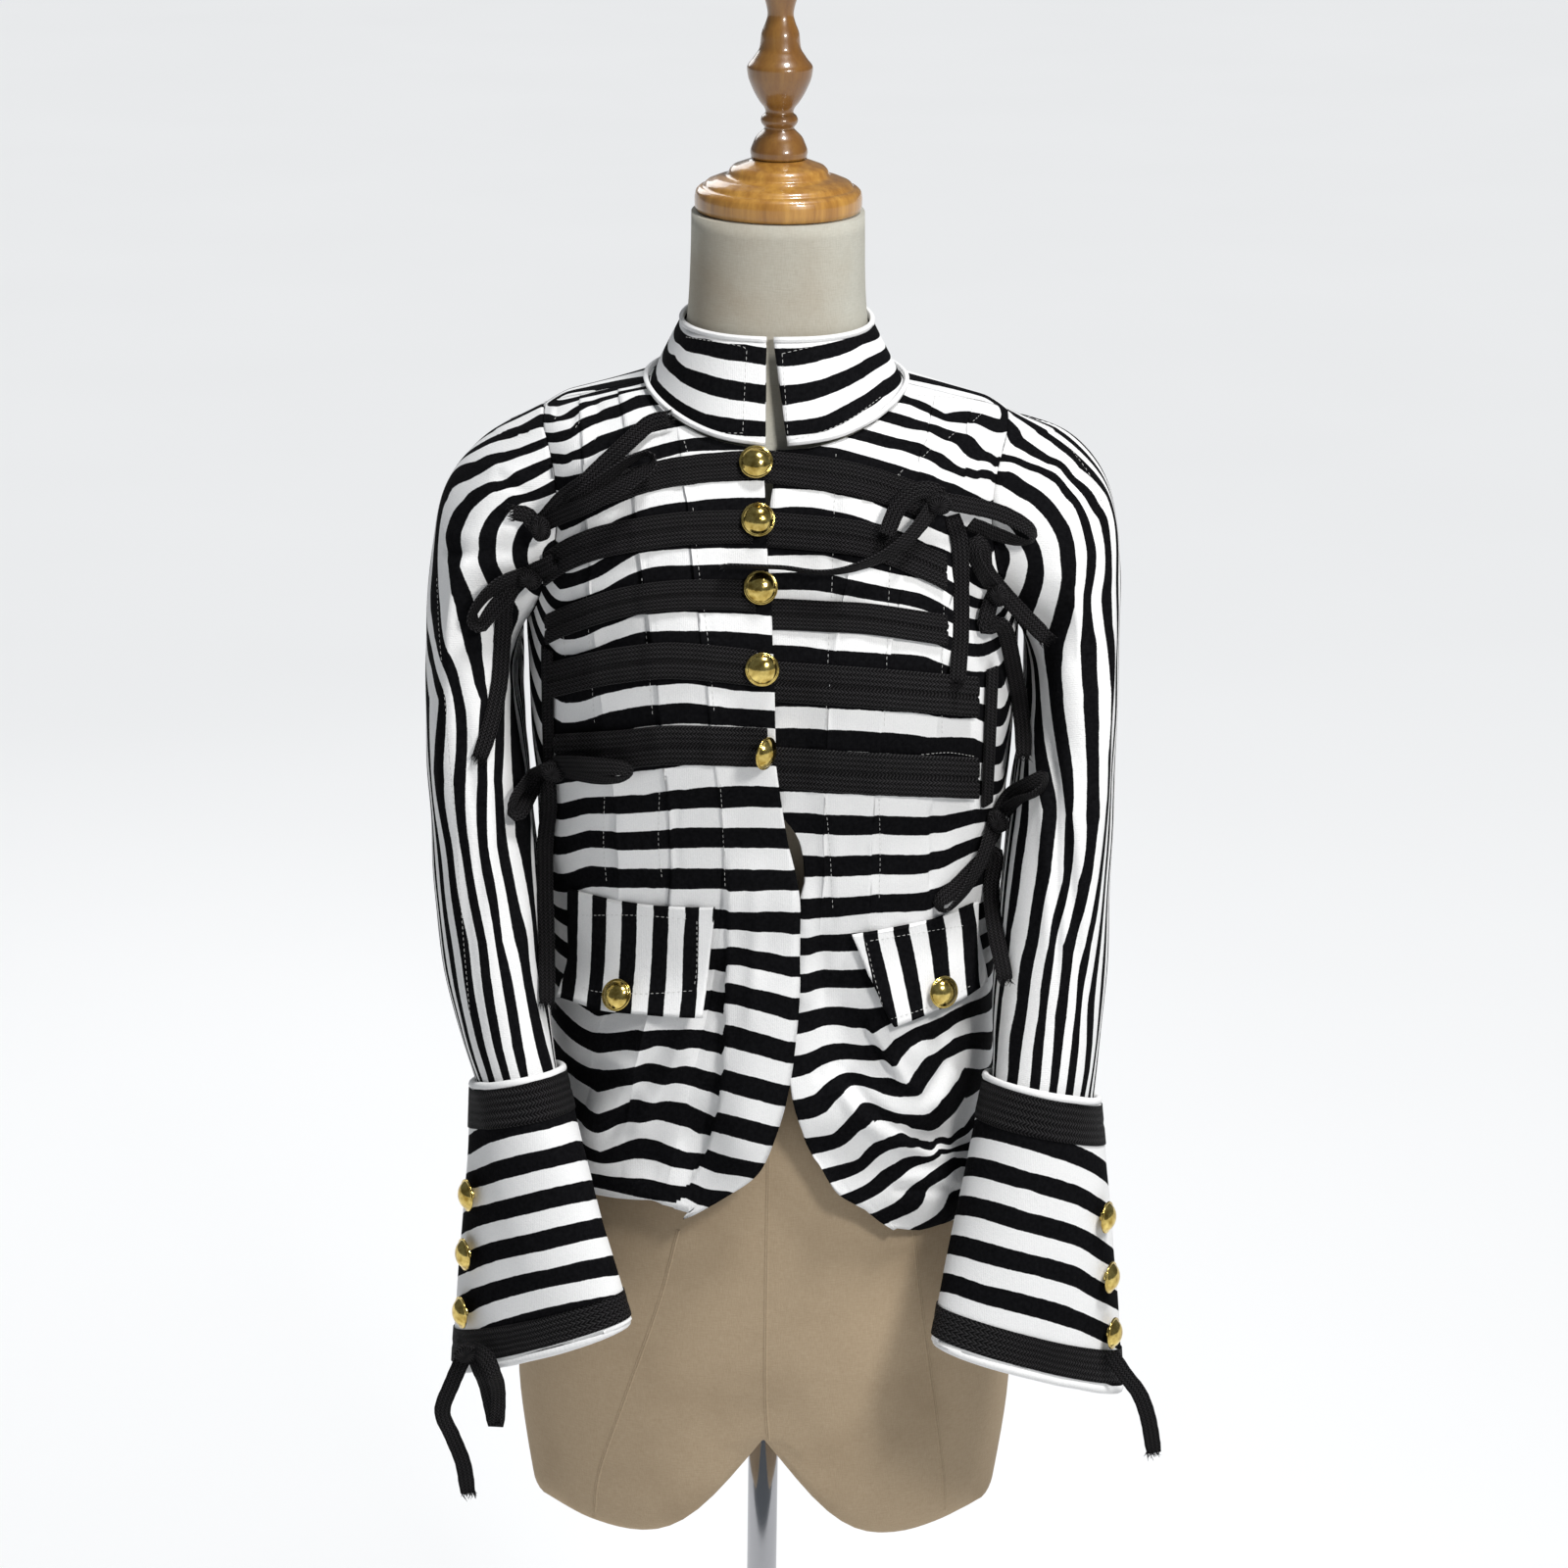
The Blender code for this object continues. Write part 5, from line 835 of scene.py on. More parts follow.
def creases(u, v, folds):
    """The rise of the cloth at folds, each fading out towards its ends."""
    rise = np.zeros(len(u))
    for height, breadth, *pairs in folds:
        gap, share = near_line(u, v, in_twos(pairs))
        fade = eased(share, 0.0, 0.18) * (1 - eased(share, 0.80, 1.0))
        rise += height * MM * np.exp(-((gap / breadth) ** 2)) * fade
    return rise


def wavy(points, seed):
    """The slight unevenness of cloth that hangs: a few long waves."""
    chance = np.random.default_rng(seed)
    rise = np.zeros(len(points))
    for _ in range(7):
        way = chance.normal(size=3) * (1, 1, 0.8)
        way *= TURN / (chance.uniform(0.035, 0.09) * np.linalg.norm(way))
        rise += chance.uniform(0.10, 0.24) * MM * np.sin(points @ way + chance.uniform(0, 6.28))
    return rise


def finish_cloth(node, piece, points, out, rise, stripe, rib):
    """Raises the cloth along its ways out and gives it its stripes and its ribs."""
    placed(piece.data, points + out * rise[:, None])
    give(piece.data, "stripe", stripe)
    give(piece.data, "rib", rib / RIB)
    PIECES[node] = dressed(piece, "striped_jersey", node)


def draw_edge(points):
    """Draws the left front's lower edge out to the middle and down, as the picture has it."""
    u, v = on_picture(points)
    near = np.exp(-((np.maximum(u - np.interp(v, LEFT_EDGE_V, LEFT_EDGE_U), 0) / LEFT_EDGE_SOFT) ** 2))
    before = points[:, 1] < 0
    points[:, 0] += np.interp(v, LEFT_EDGE_V, LEFT_REACH) * near * SCALE * (v < LEFT_HEM_V) * before
    points[:, 1] += 0.8 * MM * near * eased(v, 900, 980) * (1 - eased(v, 1060, 1120))
    points[:, 2] -= 5.0 * MM * near * eased(v, 1170, 1230) * before


def front(name):
    """A front: stripes through its marks, and the folds that the picture shows."""
    node, side = "front_" + name, SIDES[name]
    piece = fine_copy(node, "jacket_" + node)
    points = places(piece.data)
    tree = tree_of(NODES[node])
    where, counts = cast(tree, FRONT_MARKS[name])
    if name == "left":
        draw_edge(points)
    else:
        where, counts = more_marks(where, counts, RIDGE)
    LEVELS[name] = side_counts(Field(where, counts, SOFTNESS), tree, side)
    level = zip(SIDE_HEIGHTS[::2], LEVELS[name][::2])
    rows = [(side * SIDE_X, y, z, count) for z, count in level for y in (-0.03, 0.0, 0.03)]
    FIELDS[node] = Field(*more_marks(where, counts, rows), SOFTNESS)
    out = facing_out(piece, from_trunk(points))
    u, v = on_picture(points)
    seen = eased(out @ np.array((0, -1, 0.15)), -0.1, 0.25)
    rise = creases(u, v, FOLDS[node]) * seen
    fuller = np.interp(v, (900, 1000), (1.4, 2.6))  # the skirt's ridges stand out more
    rise = rise * np.where(rise > 0, fuller, 1.25) + wavy(points, 3 + side)
    stripe = FIELDS[node](points)
    if name == "right":
        strip = Field(*cast(tree, STRIP_RIGHT + LOW_CHEST_RIGHT), SOFTNESS)
        share = eased(u - np.interp(v, STRIP_EDGE_V, STRIP_EDGE_U), -1.0, 1.0) * eased(v, 850, 930)
        stripe = stripe * (1 - share) + strip(points) * share
        step = STRIP_RISE + eased(u, *STRIP_OPENING_U)
        rise += step * MM * share * seen * (1 - 0.8 * eased(v, *STRIP_FOOT_V))
    finish_cloth(node, piece, points, out, rise, stripe, points[:, 0])


def back():
    """The back: level stripes that meet the fronts' at the sides and the shoulders."""
    piece = fine_copy("back", "jacket_back")
    points = places(piece.data)
    middle = (LEVELS["left"] + LEVELS["right"]) / 2
    rows = []
    for z in np.arange(0.86, 1.30, 0.02):
        count = np.interp(z, SIDE_HEIGHTS, middle)
        rows += [(x, 0.10, z, count) for x in (-0.09, -0.045, 0.0, 0.045, 0.09)]
        for name, side in SIDES.items():
            count = np.interp(z, SIDE_HEIGHTS, LEVELS[name])
            rows += [(side * 0.158, 0.0, z, count), (side * 0.145, 0.05, z, count)]
    top = np.interp(1.30, SIDE_HEIGHTS, middle)
    rows += [(x, 0.09, 1.30 + 0.022 * k, top - k) for x in (-0.07, 0.0, 0.07) for k in range(1, 5)]
    for name in SIDES:
        shoulder = places(PIECES["front_" + name].data)
        shoulder = shoulder[(shoulder[:, 1] > -0.006) & (shoulder[:, 2] > 1.30)][::40]
        rows += np.column_stack([shoulder, FIELDS["front_" + name](shoulder)]).tolist()
    rows = np.array(rows)
    out = facing_out(piece, from_trunk(points))
    rise = creases(points[:, 0] / MM, points[:, 2] / MM, BACK_FOLDS) * eased(out[:, 1], 0.0, 0.4)
    stripe = Field(rows[:, :3], rows[:, 3], 2 * MM)(points)
    finish_cloth("back", piece, points, out, rise + wavy(points, 9), stripe, points[:, 0])


# Sleeves, as if unrolled: the turn round the middle line from outside, and the height
SLEEVE_REACH = 0.036  # the radius that turns are measured at
LENGTH_SHARE = 0.35   # how much the way down a sleeve counts in the spread of its stripes
SEAM_TURN = -2.36     # the sleeve's seam: inside and behind
HIDDEN_BEFORE = (-0.55, -1.1, -1.7, -2.35)  # turns of the side that doesn't show, at the arm
HIDDEN_BEHIND = (3.1, 3.6, 3.92)            # and behind
HEAD_Z = (1.20, 1.26)  # where the sleeve's stripes pass into those of its head
# Folds of a sleeve's hidden side: turn, lowest and highest z, height in mm
HIDDEN_FOLDS = (
    (-0.5, 0.95, 1.25, -1.4), (-1.15, 1.00, 1.20, 1.3), (-1.7, 0.93, 1.16, -1.5), (-2.1, 1.05, 1.24, 1.2),
)


def sleeve_middle(points):
    """The sleeve's middle line: z, x and y."""
    rows = []
    for z in np.arange(0.91, 1.28, 0.02):
        ring = points[np.abs(points[:, 2] - z) < 0.012]
        rows.append((z, *(ring.min(axis=0) + ring.max(axis=0))[:2] / 2))
    return np.array(rows).T


def from_middle(points, middle):
    """Level ways from a sleeve's middle line."""
    heights, *line = middle
    return np.stack([points[:, k] - np.interp(points[:, 2], heights, line[k]) for k in (0, 1)], axis=1)


def turned(points, middle, side):
    """The turn and the distance of points round a sleeve's middle line."""
    x, y = from_middle(points, middle).T
    turn = np.arctan2(-y, x * side)
    return np.where(turn < SEAM_TURN, turn + TURN, turn), np.hypot(x, y)


def sleeve(name):
    """A sleeve: stripes down its length, eased at the head into those of its front."""
    node, side = "sleeve_" + name, SIDES[name]
    piece = fine_copy(node, "jacket_" + node)
    points = places(piece.data)
    z = points[:, 2]
    tree = tree_of(NODES[node])
    middle = sleeve_middle(points)
    where, values = cast(tree, SHOULDERS[name])
    flat = list(zip(turned(where, middle, side)[0], where[:, 2]))
    counts = list(values)
    for v, start, period, edges in SLEEVE_ROWS[name]:
        where, values = cast(tree, [(u, v, start - 0.5 * k) for k, u in enumerate(edges)])
        turn, reach = turned(where, middle, side)
        per_turn = reach.mean() / (period * MM)
        hidden = [(at, values[-1] + (at - turn[-1]) * per_turn) for at in HIDDEN_BEFORE]
        hidden += [(at, values[0] + (at - turn[0]) * per_turn) for at in HIDDEN_BEHIND if at > turn[0] + 0.25]
        for at, count in [*zip(turn, values), *hidden]:
            flat.append((at, where[:, 2].mean()))
            counts.append(count)
    unrolled = np.array((SLEEVE_REACH, LENGTH_SHARE))
    turn, reach = turned(points, middle, side)
    stripe = Field(np.array(flat) * unrolled, counts, MM)(np.stack([turn, z], axis=1) * unrolled)
    below = np.flatnonzero((z > 1.16) & (z < 1.235) & (reach > 0.02))[::90]
    where, counts = cast(tree, [mark for mark in SHOULDERS[name] if mark[2] < 0])
    seam = places(PIECES["front_" + name].data)
    seam = seam[(np.abs(seam[:, 0]) > 0.131) & (seam[:, 2] > 1.27)][::60]
    seam_counts = FIELDS["front_" + name](seam)
    head = Field(
        np.vstack([where, points[below], seam]), np.concatenate([counts, stripe[below], seam_counts]), 4 * MM
    )
    high = eased(z, *HEAD_Z)
    stripe = stripe * (1 - high) + head(points) * high
    out = facing_out(piece, np.column_stack([from_middle(points, middle), 0 * z]))
    u, v = on_picture(points)
    rise = creases(u, v, FOLDS[node]) * eased(out @ np.array((0, -1, 0.2)), -0.05, 0.25)
    for at, low, top, height in HIDDEN_FOLDS:
        fade = eased(z, low, low + 0.05) * (1 - eased(z, top - 0.06, top))
        rise += height * MM * np.exp(-(((turn - at - 0.5 * (z - 1.08)) / 0.16) ** 2)) * fade
    rise += wavy(points, 20 + side)
    finish_cloth(node, piece, points, out, rise * eased(z, z.min(), z.min() + 12 * MM), stripe, z)


for side_name in SIDES:
    front(side_name)
back()
for side_name in SIDES:
    sleeve(side_name)

# Collar, cuffs and flaps
COLLAR_MARKS = (
    run(700, 0.5, 341, 358, 375, 392, 412, 430) + run(720, 0.5, 345, 362, 381, 401, 422, 438)
    + run(760, 0.5, 351, 369, 390, 409, 428, 445) + run(690, 0.5, 326, 349, 362, 384)
    + column(672, 2.5, 388, 3, 408) + run(800, 0.5, 355, 374, 393, 414, 432, 450)
    + run(840, 0.5, 345, 366, 386, 404, 425, 441) + run(880, 0.5, 330, 351, 368, 386, 403, 419)
    + column(900, 2.5, 388, 3, 405)
)
# The collar's foot and top seams behind the shoulders: x, y, z, count
COLLAR_BACK = (
    (0, 0.064, 1.378, 3.3), (0.05, 0.055, 1.376, 3.3), (-0.05, 0.055, 1.376, 3.3), (0.08, 0, 1.366, 3.3),
    (-0.08, 0, 1.366, 3.3), (0.07, 0.035, 1.371, 3.3), (-0.07, 0.035, 1.371, 3.3), (0, 0.061, 1.413, 0.4),
    (0.04, 0.05, 1.411, 0.4), (-0.04, 0.05, 1.411, 0.4), (0.06, 0, 1.4045, 0.4), (-0.06, 0, 1.4045, 0.4),
    (0.055, 0.03, 1.408, 0.4), (-0.055, 0.03, 1.408, 0.4),
)
CUFF_MARKS = {
    "right": (
        run(500, 1.5, 1147, 1166, 1187, 1208, 1228, 1248, 1268, 1289, 1309, 1330, 1350)
        + run(560, 1.5, 1130, 1152, 1172, 1192, 1213, 1234, 1254, 1275, 1295, 1313, 1334)
        + marks(
            (2, 585, 1144), (2.5, 588, 1164), (3, 592, 1185), (3.5, 597, 1205), (4, 600, 1226),
            (4.5, 607, 1243), (5, 614, 1263), (5.5, 622, 1281), (6, 628, 1302),
        )
        + run(481, 2, 1178, 1195, 1213, 1232, 1255, 1275, 1297, 1315, 1340)
    ),
    "left": (
        run(1000, 1.5, 1141, 1161, 1182, 1201, 1223, 1243, 1266, 1288, 1310, 1330, 1350)
        + run(1050, 1.5, 1152, 1173, 1197, 1214, 1238, 1258, 1280, 1300, 1322, 1343)
        + run(1100, 1.5, 1168, 1190, 1210, 1230, 1252, 1272, 1293, 1315, 1338, 1357)
        + run(975, 5, 1281, 1301, 1321) + run(1118, 2, 1199, 1221, 1240, 1261, 1284, 1305, 1326)
    ),
}
FLAP_MARKS = {
    "left": marks(
        (0, 870, 962, 893, 1035), (0.5, 882, 962, 905, 1040), (1, 897, 960, 915, 1038),
        (1.5, 913, 958, 930, 1035), (2, 929, 955, 942, 1030), (2.5, 947, 952, 958, 1025),
        (3, 965, 948, 972, 1018), (3.5, 981, 946, 986, 1010), (4, 997, 944, 999, 1000),
    ),
    "right": marks(
        (-1, 590, 930, 587, 1005), (-0.5, 604, 930, 600, 1010), (0, 618, 930, 614, 1014),
        (0.5, 634, 930, 630, 1015), (1, 649, 931, 645, 1016), (1.5, 667, 932, 662, 1016),
        (2, 682, 933, 678, 1016), (2.5, 700, 934, 696, 1016), (3, 713, 935, 711, 1016),
        (3.5, 727, 936, 726, 1016),
    ),
}


def small_panel(node, name, marked, seed, waves=1.0, middle=None, hidden=()):
    """A smaller piece of cloth: its own stripes and a little unevenness."""
    piece = fine_copy(node, name)
    points = places(piece.data)
    where, counts = cast(tree_of(NODES[node]), marked)
    if hidden:
        where, counts = more_marks(where, counts, hidden)
    centre = points.mean(axis=0) if middle is None else middle
    out = facing_out(piece, (points - centre) * (1, 1, 0))
    stripe = Field(where, counts, MM)(points)
    finish_cloth(node, piece, points, out, wavy(points, seed) * waves, stripe, points[:, 0])


def slices_round(points, count):
    """The turn of points round their middle, and where it is among a number of slices."""
    x, y = (points - points.mean(axis=0))[:, :2].T
    turn = np.arctan2(y, x)
    return turn, (turn + math.pi) / TURN * count


def close_on(points, node, across):
    """A cuff's band drawn close on the cuff, next to its edge, with a groove between its tapes."""
    _, _, edge, side = node.split("_")
    tree = tree_of(PIECES["cuff_" + side])
    centre = points.mean(axis=0)
    found = np.empty_like(points)
    for k, point in enumerate(points):
        way = Vector((point[0] - centre[0], point[1] - centre[1], 0)).normalized()
        wanted = Vector(point)
        wanted.z += (0.5 + 5.0 * across[k] if edge == "top" else -2.2) * MM
        hit = tree.ray_cast(wanted + way * 0.03, -way, 0.06)[0]
        if hit is None:
            hit = tree.find_nearest(wanted)[0]
        proud = (Vector(point) - tree.find_nearest(Vector(point))[0]).length
        groove = 0.5 * MM * math.exp(-(((across[k] - 0.5) / 0.05) ** 2)) * (proud > 1.5 * MM)
        found[k] = hit + way * (min(max(proud * 0.4, 0.3 * MM), 1.0 * MM) - groove)
    return found


BAND_SLICES = 48
CUFF_RADIUS = 45.0  # in mm, for the pitch of the herringbone round a cuff


def cuff_band(node, name):
    """Two rows of black tape sewn round a cuff."""
    piece = fine_copy(node, name)
    points = places(piece.data)
    turn, at = slices_round(points, BAND_SLICES)
    height, ring = points[:, 2], np.arange(BAND_SLICES + 1)
    ends = np.full((2, len(ring)), np.nan)
    for k in np.unique(at.astype(int)):
        inside = height[at.astype(int) == k]
        ends[:, k] = inside.min(), inside.max()
    low, high = (np.interp(at - 0.5, ring, np.where(np.isnan(e), np.nanmean(e), e)) for e in ends)
    across = np.clip((height - low) / (high - low), 0, 1)
    placed(piece.data, close_on(points, node, across))
    give(piece.data, "along", turn * CUFF_RADIUS)
    give(piece.data, "across", across * 6)
    dressed(piece, "black_braid", node)


def side_tape(node):
    """The upright tape that covers the ends of the braid rows."""
    piece = fine_copy(node, node + "_sewn")
    x, _, z = places(piece.data).T
    line = np.polyval(np.polyfit(z, x, 2), z)
    half = np.ptp(x - line) / 2
    give(piece.data, "along", z / MM)
    give(piece.data, "across", np.clip((x - line + half) / (2 * half), 0, 1) * 3)
    dressed(piece, "black_braid", node)


def piping(node):
    """A rolled white piping, a little fuller than its solid."""
    piece = fine_copy(node, node + "_rolled", 2)
    points = places(piece.data)
    give(piece.data, "rib", (points[:, 0] + points[:, 1]) / (1.2 * MM))
    placed(piece.data, points + places(piece.data, "normal") * 0.25 * MM)
    dressed(piece, "white_jersey", node)


def binding(name, edge):
    """A rolled white binding round a cuff's edge."""
    node = "cuff_" + name
    points = places(PIECES[node].data)
    count = 72
    at = slices_round(points, count)[1].astype(int) % count
    inward, radius = (-0.8 * MM, 2.3 * MM) if edge == "top" else (0.8 * MM, 2.5 * MM)
    ring = []
    for k in range(count):
        near = points[at == k]
        extreme = near[:, 2].max() if edge == "top" else near[:, 2].min()
        x, y, _ = near[np.abs(near[:, 2] - extreme) < 3.5 * MM].mean(axis=0)
        ring.append((x, y, extreme + inward))
    ring = np.array(ring)
    for _ in range(3):
        ring = (np.roll(ring, 1, 0) + ring * 2 + np.roll(ring, -1, 0)) / 4
    dressed(round_cord(f"{node}_binding_{edge}", ring, radius, 10), "white_jersey", node)


def round_cord(name, ring, radius, sides):
    """A closed roll along a ring of points."""
    count = len(ring)
    along = unit(np.roll(ring, -1, 0) - np.roll(ring, 1, 0))
    out = unit(np.cross(along, UP))
    rise = np.cross(out, along)
    points, faces = [], []
    for i in range(count):
        j = (i + 1) % count
        for k in range(sides):
            at, m = TURN * k / sides, (k + 1) % sides
            points.append(ring[i] + radius * (out[i] * math.cos(at) + 1.15 * rise[i] * math.sin(at)))
            faces.append((i * sides + k, i * sides + m, j * sides + m, j * sides + k))
    return make(name, points, faces, rib=np.repeat(np.arange(count) * 2.0, sides))


small_panel(
    "collar", "jacket_collar", COLLAR_MARKS, 31, waves=0.7, middle=(0, 0, 0), hidden=COLLAR_BACK
)
piping("collar_piping_top")
piping("collar_piping_foot")
for side_name, side in SIDES.items():
    small_panel("cuff_" + side_name, "jacket_cuff_" + side_name, CUFF_MARKS[side_name], 41 + side)
    for edge_name in ("top", "foot"):
        binding(side_name, edge_name)
        cuff_band(f"cuff_band_{edge_name}_{side_name}", f"cuff_tape_{edge_name}_{side_name}")
    small_panel(
        "flap_" + side_name, "pocket_flap_" + side_name, FLAP_MARKS[side_name], 51 + side,
        middle=(0, 0.1, 0),
    )
    side_tape("side_tape_" + side_name)


# Tapes and braid

TAPE_WIDTH = 10.5 * MM
TAPE_THICK = 1.8 * MM
ZIGZAG = 2.7 * MM  # the breadth of one lean of the herringbone
# A tape's cross-section, flat with round edges
PROFILE = [
    (math.copysign(abs(math.cos(a)) ** 0.5, math.cos(a)), math.copysign(abs(math.sin(a)) ** 0.6, math.sin(a)))
    for a in np.linspace(0, TURN, 16, endpoint=False)
]


def tape(name, line, breadth, frayed, seed):
    """A tape along a line, its flat side as the breadth vectors say; cut ends fray."""
    along = unit(np.gradient(line, axis=0))
    breadth = unit(breadth - along * (breadth * along).sum(axis=1, keepdims=True))
    thin = np.cross(along, breadth)
    points, far, across = [], [], []
    distance = gone(line)
    chance = np.random.default_rng(seed)
    for i, way in enumerate(distance):
        near_end = min(way, distance[-1] - way)
        narrow = 1.0 - 0.10 * math.exp(-((near_end / 0.004) ** 2)) + 0.02 * math.sin(way * 700 + seed)
        for a, b in PROFILE:
            points.append(line[i] + breadth[i] * a * TAPE_WIDTH / 2 * narrow + thin[i] * b * TAPE_THICK / 2)
            far.append(way / MM)
            across.append(a * TAPE_WIDTH / 2 / ZIGZAG)
    faces = tube_faces(len(line), len(PROFILE))
    for end in [end for end, frays in zip((0, -1), frayed) if frays]:
        way = along[end] * (1 if end else -1)
        for _ in range(26):
            root = line[end] + breadth[end] * chance.uniform(-0.48, 0.48) * TAPE_WIDTH
            root = root + thin[end] * chance.uniform(-0.35, 0.35) * TAPE_THICK - way * MM
            bend = breadth[end] * chance.normal(0, 0.28) + thin[end] * chance.normal(0, 0.25)
            reach = chance.uniform(2.2 * MM, 6.2 * MM)
            faces += tube_faces(3, 3, len(points))
            for share, radius in ((0, 0.42), (0.5, 0.34), (1.0, 0.12)):
                middle = root + (way + bend * share * 1.3) * reach * share
                for at in (0, TURN / 3, TURN * 2 / 3):
                    round_it = breadth[end] * math.cos(at) + thin[end] * math.sin(at)
                    points.append(middle + round_it * radius * MM)
                    far.append(share * 3)
                    across.append(0.0)
    return make(name, points, faces, along=far, across=across)


# Braid rows on the picture: how tall the row is, then its middle line
BRAIDS = {
    "left": (
        (34, 779, 477, 790, 477, 865, 488, 915, 502, 952, 516),
        (36, 779, 541, 790, 541, 865, 548, 902, 557, 965, 584),
        (32, 782, 627, 800, 627, 840, 629, 890, 632, 965, 643),
        (41, 784, 695, 802, 696, 890, 702, 997, 711), (42, 788, 783, 810, 784, 890, 789, 997, 794),
    ),
    "right": (
        (29, 600, 508, 630, 497, 668, 486, 710, 479, 757, 475, 768, 474),
        (34, 557, 581, 580, 566, 618, 552, 684, 541, 736, 538, 768, 538),
        (31, 559, 642, 579, 633, 631, 616, 684, 608, 736, 607, 771, 609),
        (37, 562, 694, 600, 685, 631, 679, 684, 674, 749, 679, 772, 682),
        (40, 568, 769, 631, 765, 684, 760, 762, 762, 783, 763),
    ),
}


BRAID_STEP = 2.4  # pixels between the points along a row
BRAID_ACROSS = 25  # points across it


def on_cloth(tree, middle, tall, shares):
    """The rays of a row of braid, how far off the cloth is along each and how it faces there."""
    rays = np.array([[picture_ray(u, v - share * tall) for share in shares] for u, v in middle])
    far = np.full(rays.shape[:2], np.nan)
    facing = np.empty(rays.shape)
    for at in np.ndindex(far.shape):
        hit, normal, _, reach = tree.ray_cast(EYE, Vector(rays[at]))
        if hit is not None and normal.y < 0.5:
            far[at] = reach
            facing[at] = normal if normal.dot(Vector(rays[at])) < 0 else -normal
    rows = np.arange(len(middle))
    for j in range(len(shares)):
        known = np.flatnonzero(~np.isnan(far[:, j]))
        near = known[np.abs(rows[:, None] - known[None]).argmin(axis=1)]
        far[:, j], facing[:, j] = far[near, j], facing[near, j]
    far = np.minimum.reduce([far[np.clip(rows + k, 0, rows[-1])] for k in range(-3, 4)])
    far = calmed(calmed(far, 5).T.copy(), 2).T
    return rays, far, unit(calmed(facing, 5))


def braid(name, row, tree):
    """A row of two herringbone tapes side by side, sewn over the tucks, with a groove between."""
    tall, *line = BRAIDS[name][row]
    middle = smooth_curve(in_twos(line), BRAID_STEP)
    shares = np.linspace(-0.5, 0.5, BRAID_ACROSS)
    wide = len(shares)
    rays, far, facing = on_cloth(tree, middle, tall, shares)
    tapes = np.abs(np.abs(shares) - 0.25) / 0.25
    height = 0.55 + 0.45 * np.sqrt(np.clip(1 - tapes ** 2, 0, 1))
    height[wide // 2] = 0.12
    height[[0, -1]] = 0.3
    points, along = [], []
    for i in range(len(middle)):
        uneven = 0.18 * MM * math.sin(i * 0.53 + row) + 0.1 * MM * math.sin(i * 1.9)
        base = np.array(EYE) + rays[i] * far[i][:, None]
        points += list(base + facing[i] * (0.5 * MM + TAPE_THICK * height + uneven)[:, None])
        points += list(base + facing[i] * 0.2 * MM)
        along += [i * 1.5] * (2 * wide)
    across = np.tile((shares + 0.5) * 8, 2 * len(middle))
    faces = slab_faces(len(middle), wide)
    piece = make(f"braid_row_{name}_{row + 1}", points, faces, along=along, across=across)
    node = f"braid_{name}_{row + 1}"
    PIECES[node] = dressed(piece, "black_braid", node)


for side_name in SIDES:
    front_tree = tree_of(PIECES["front_" + side_name])
    for row_number in range(5):
        braid(side_name, row_number, front_tree)

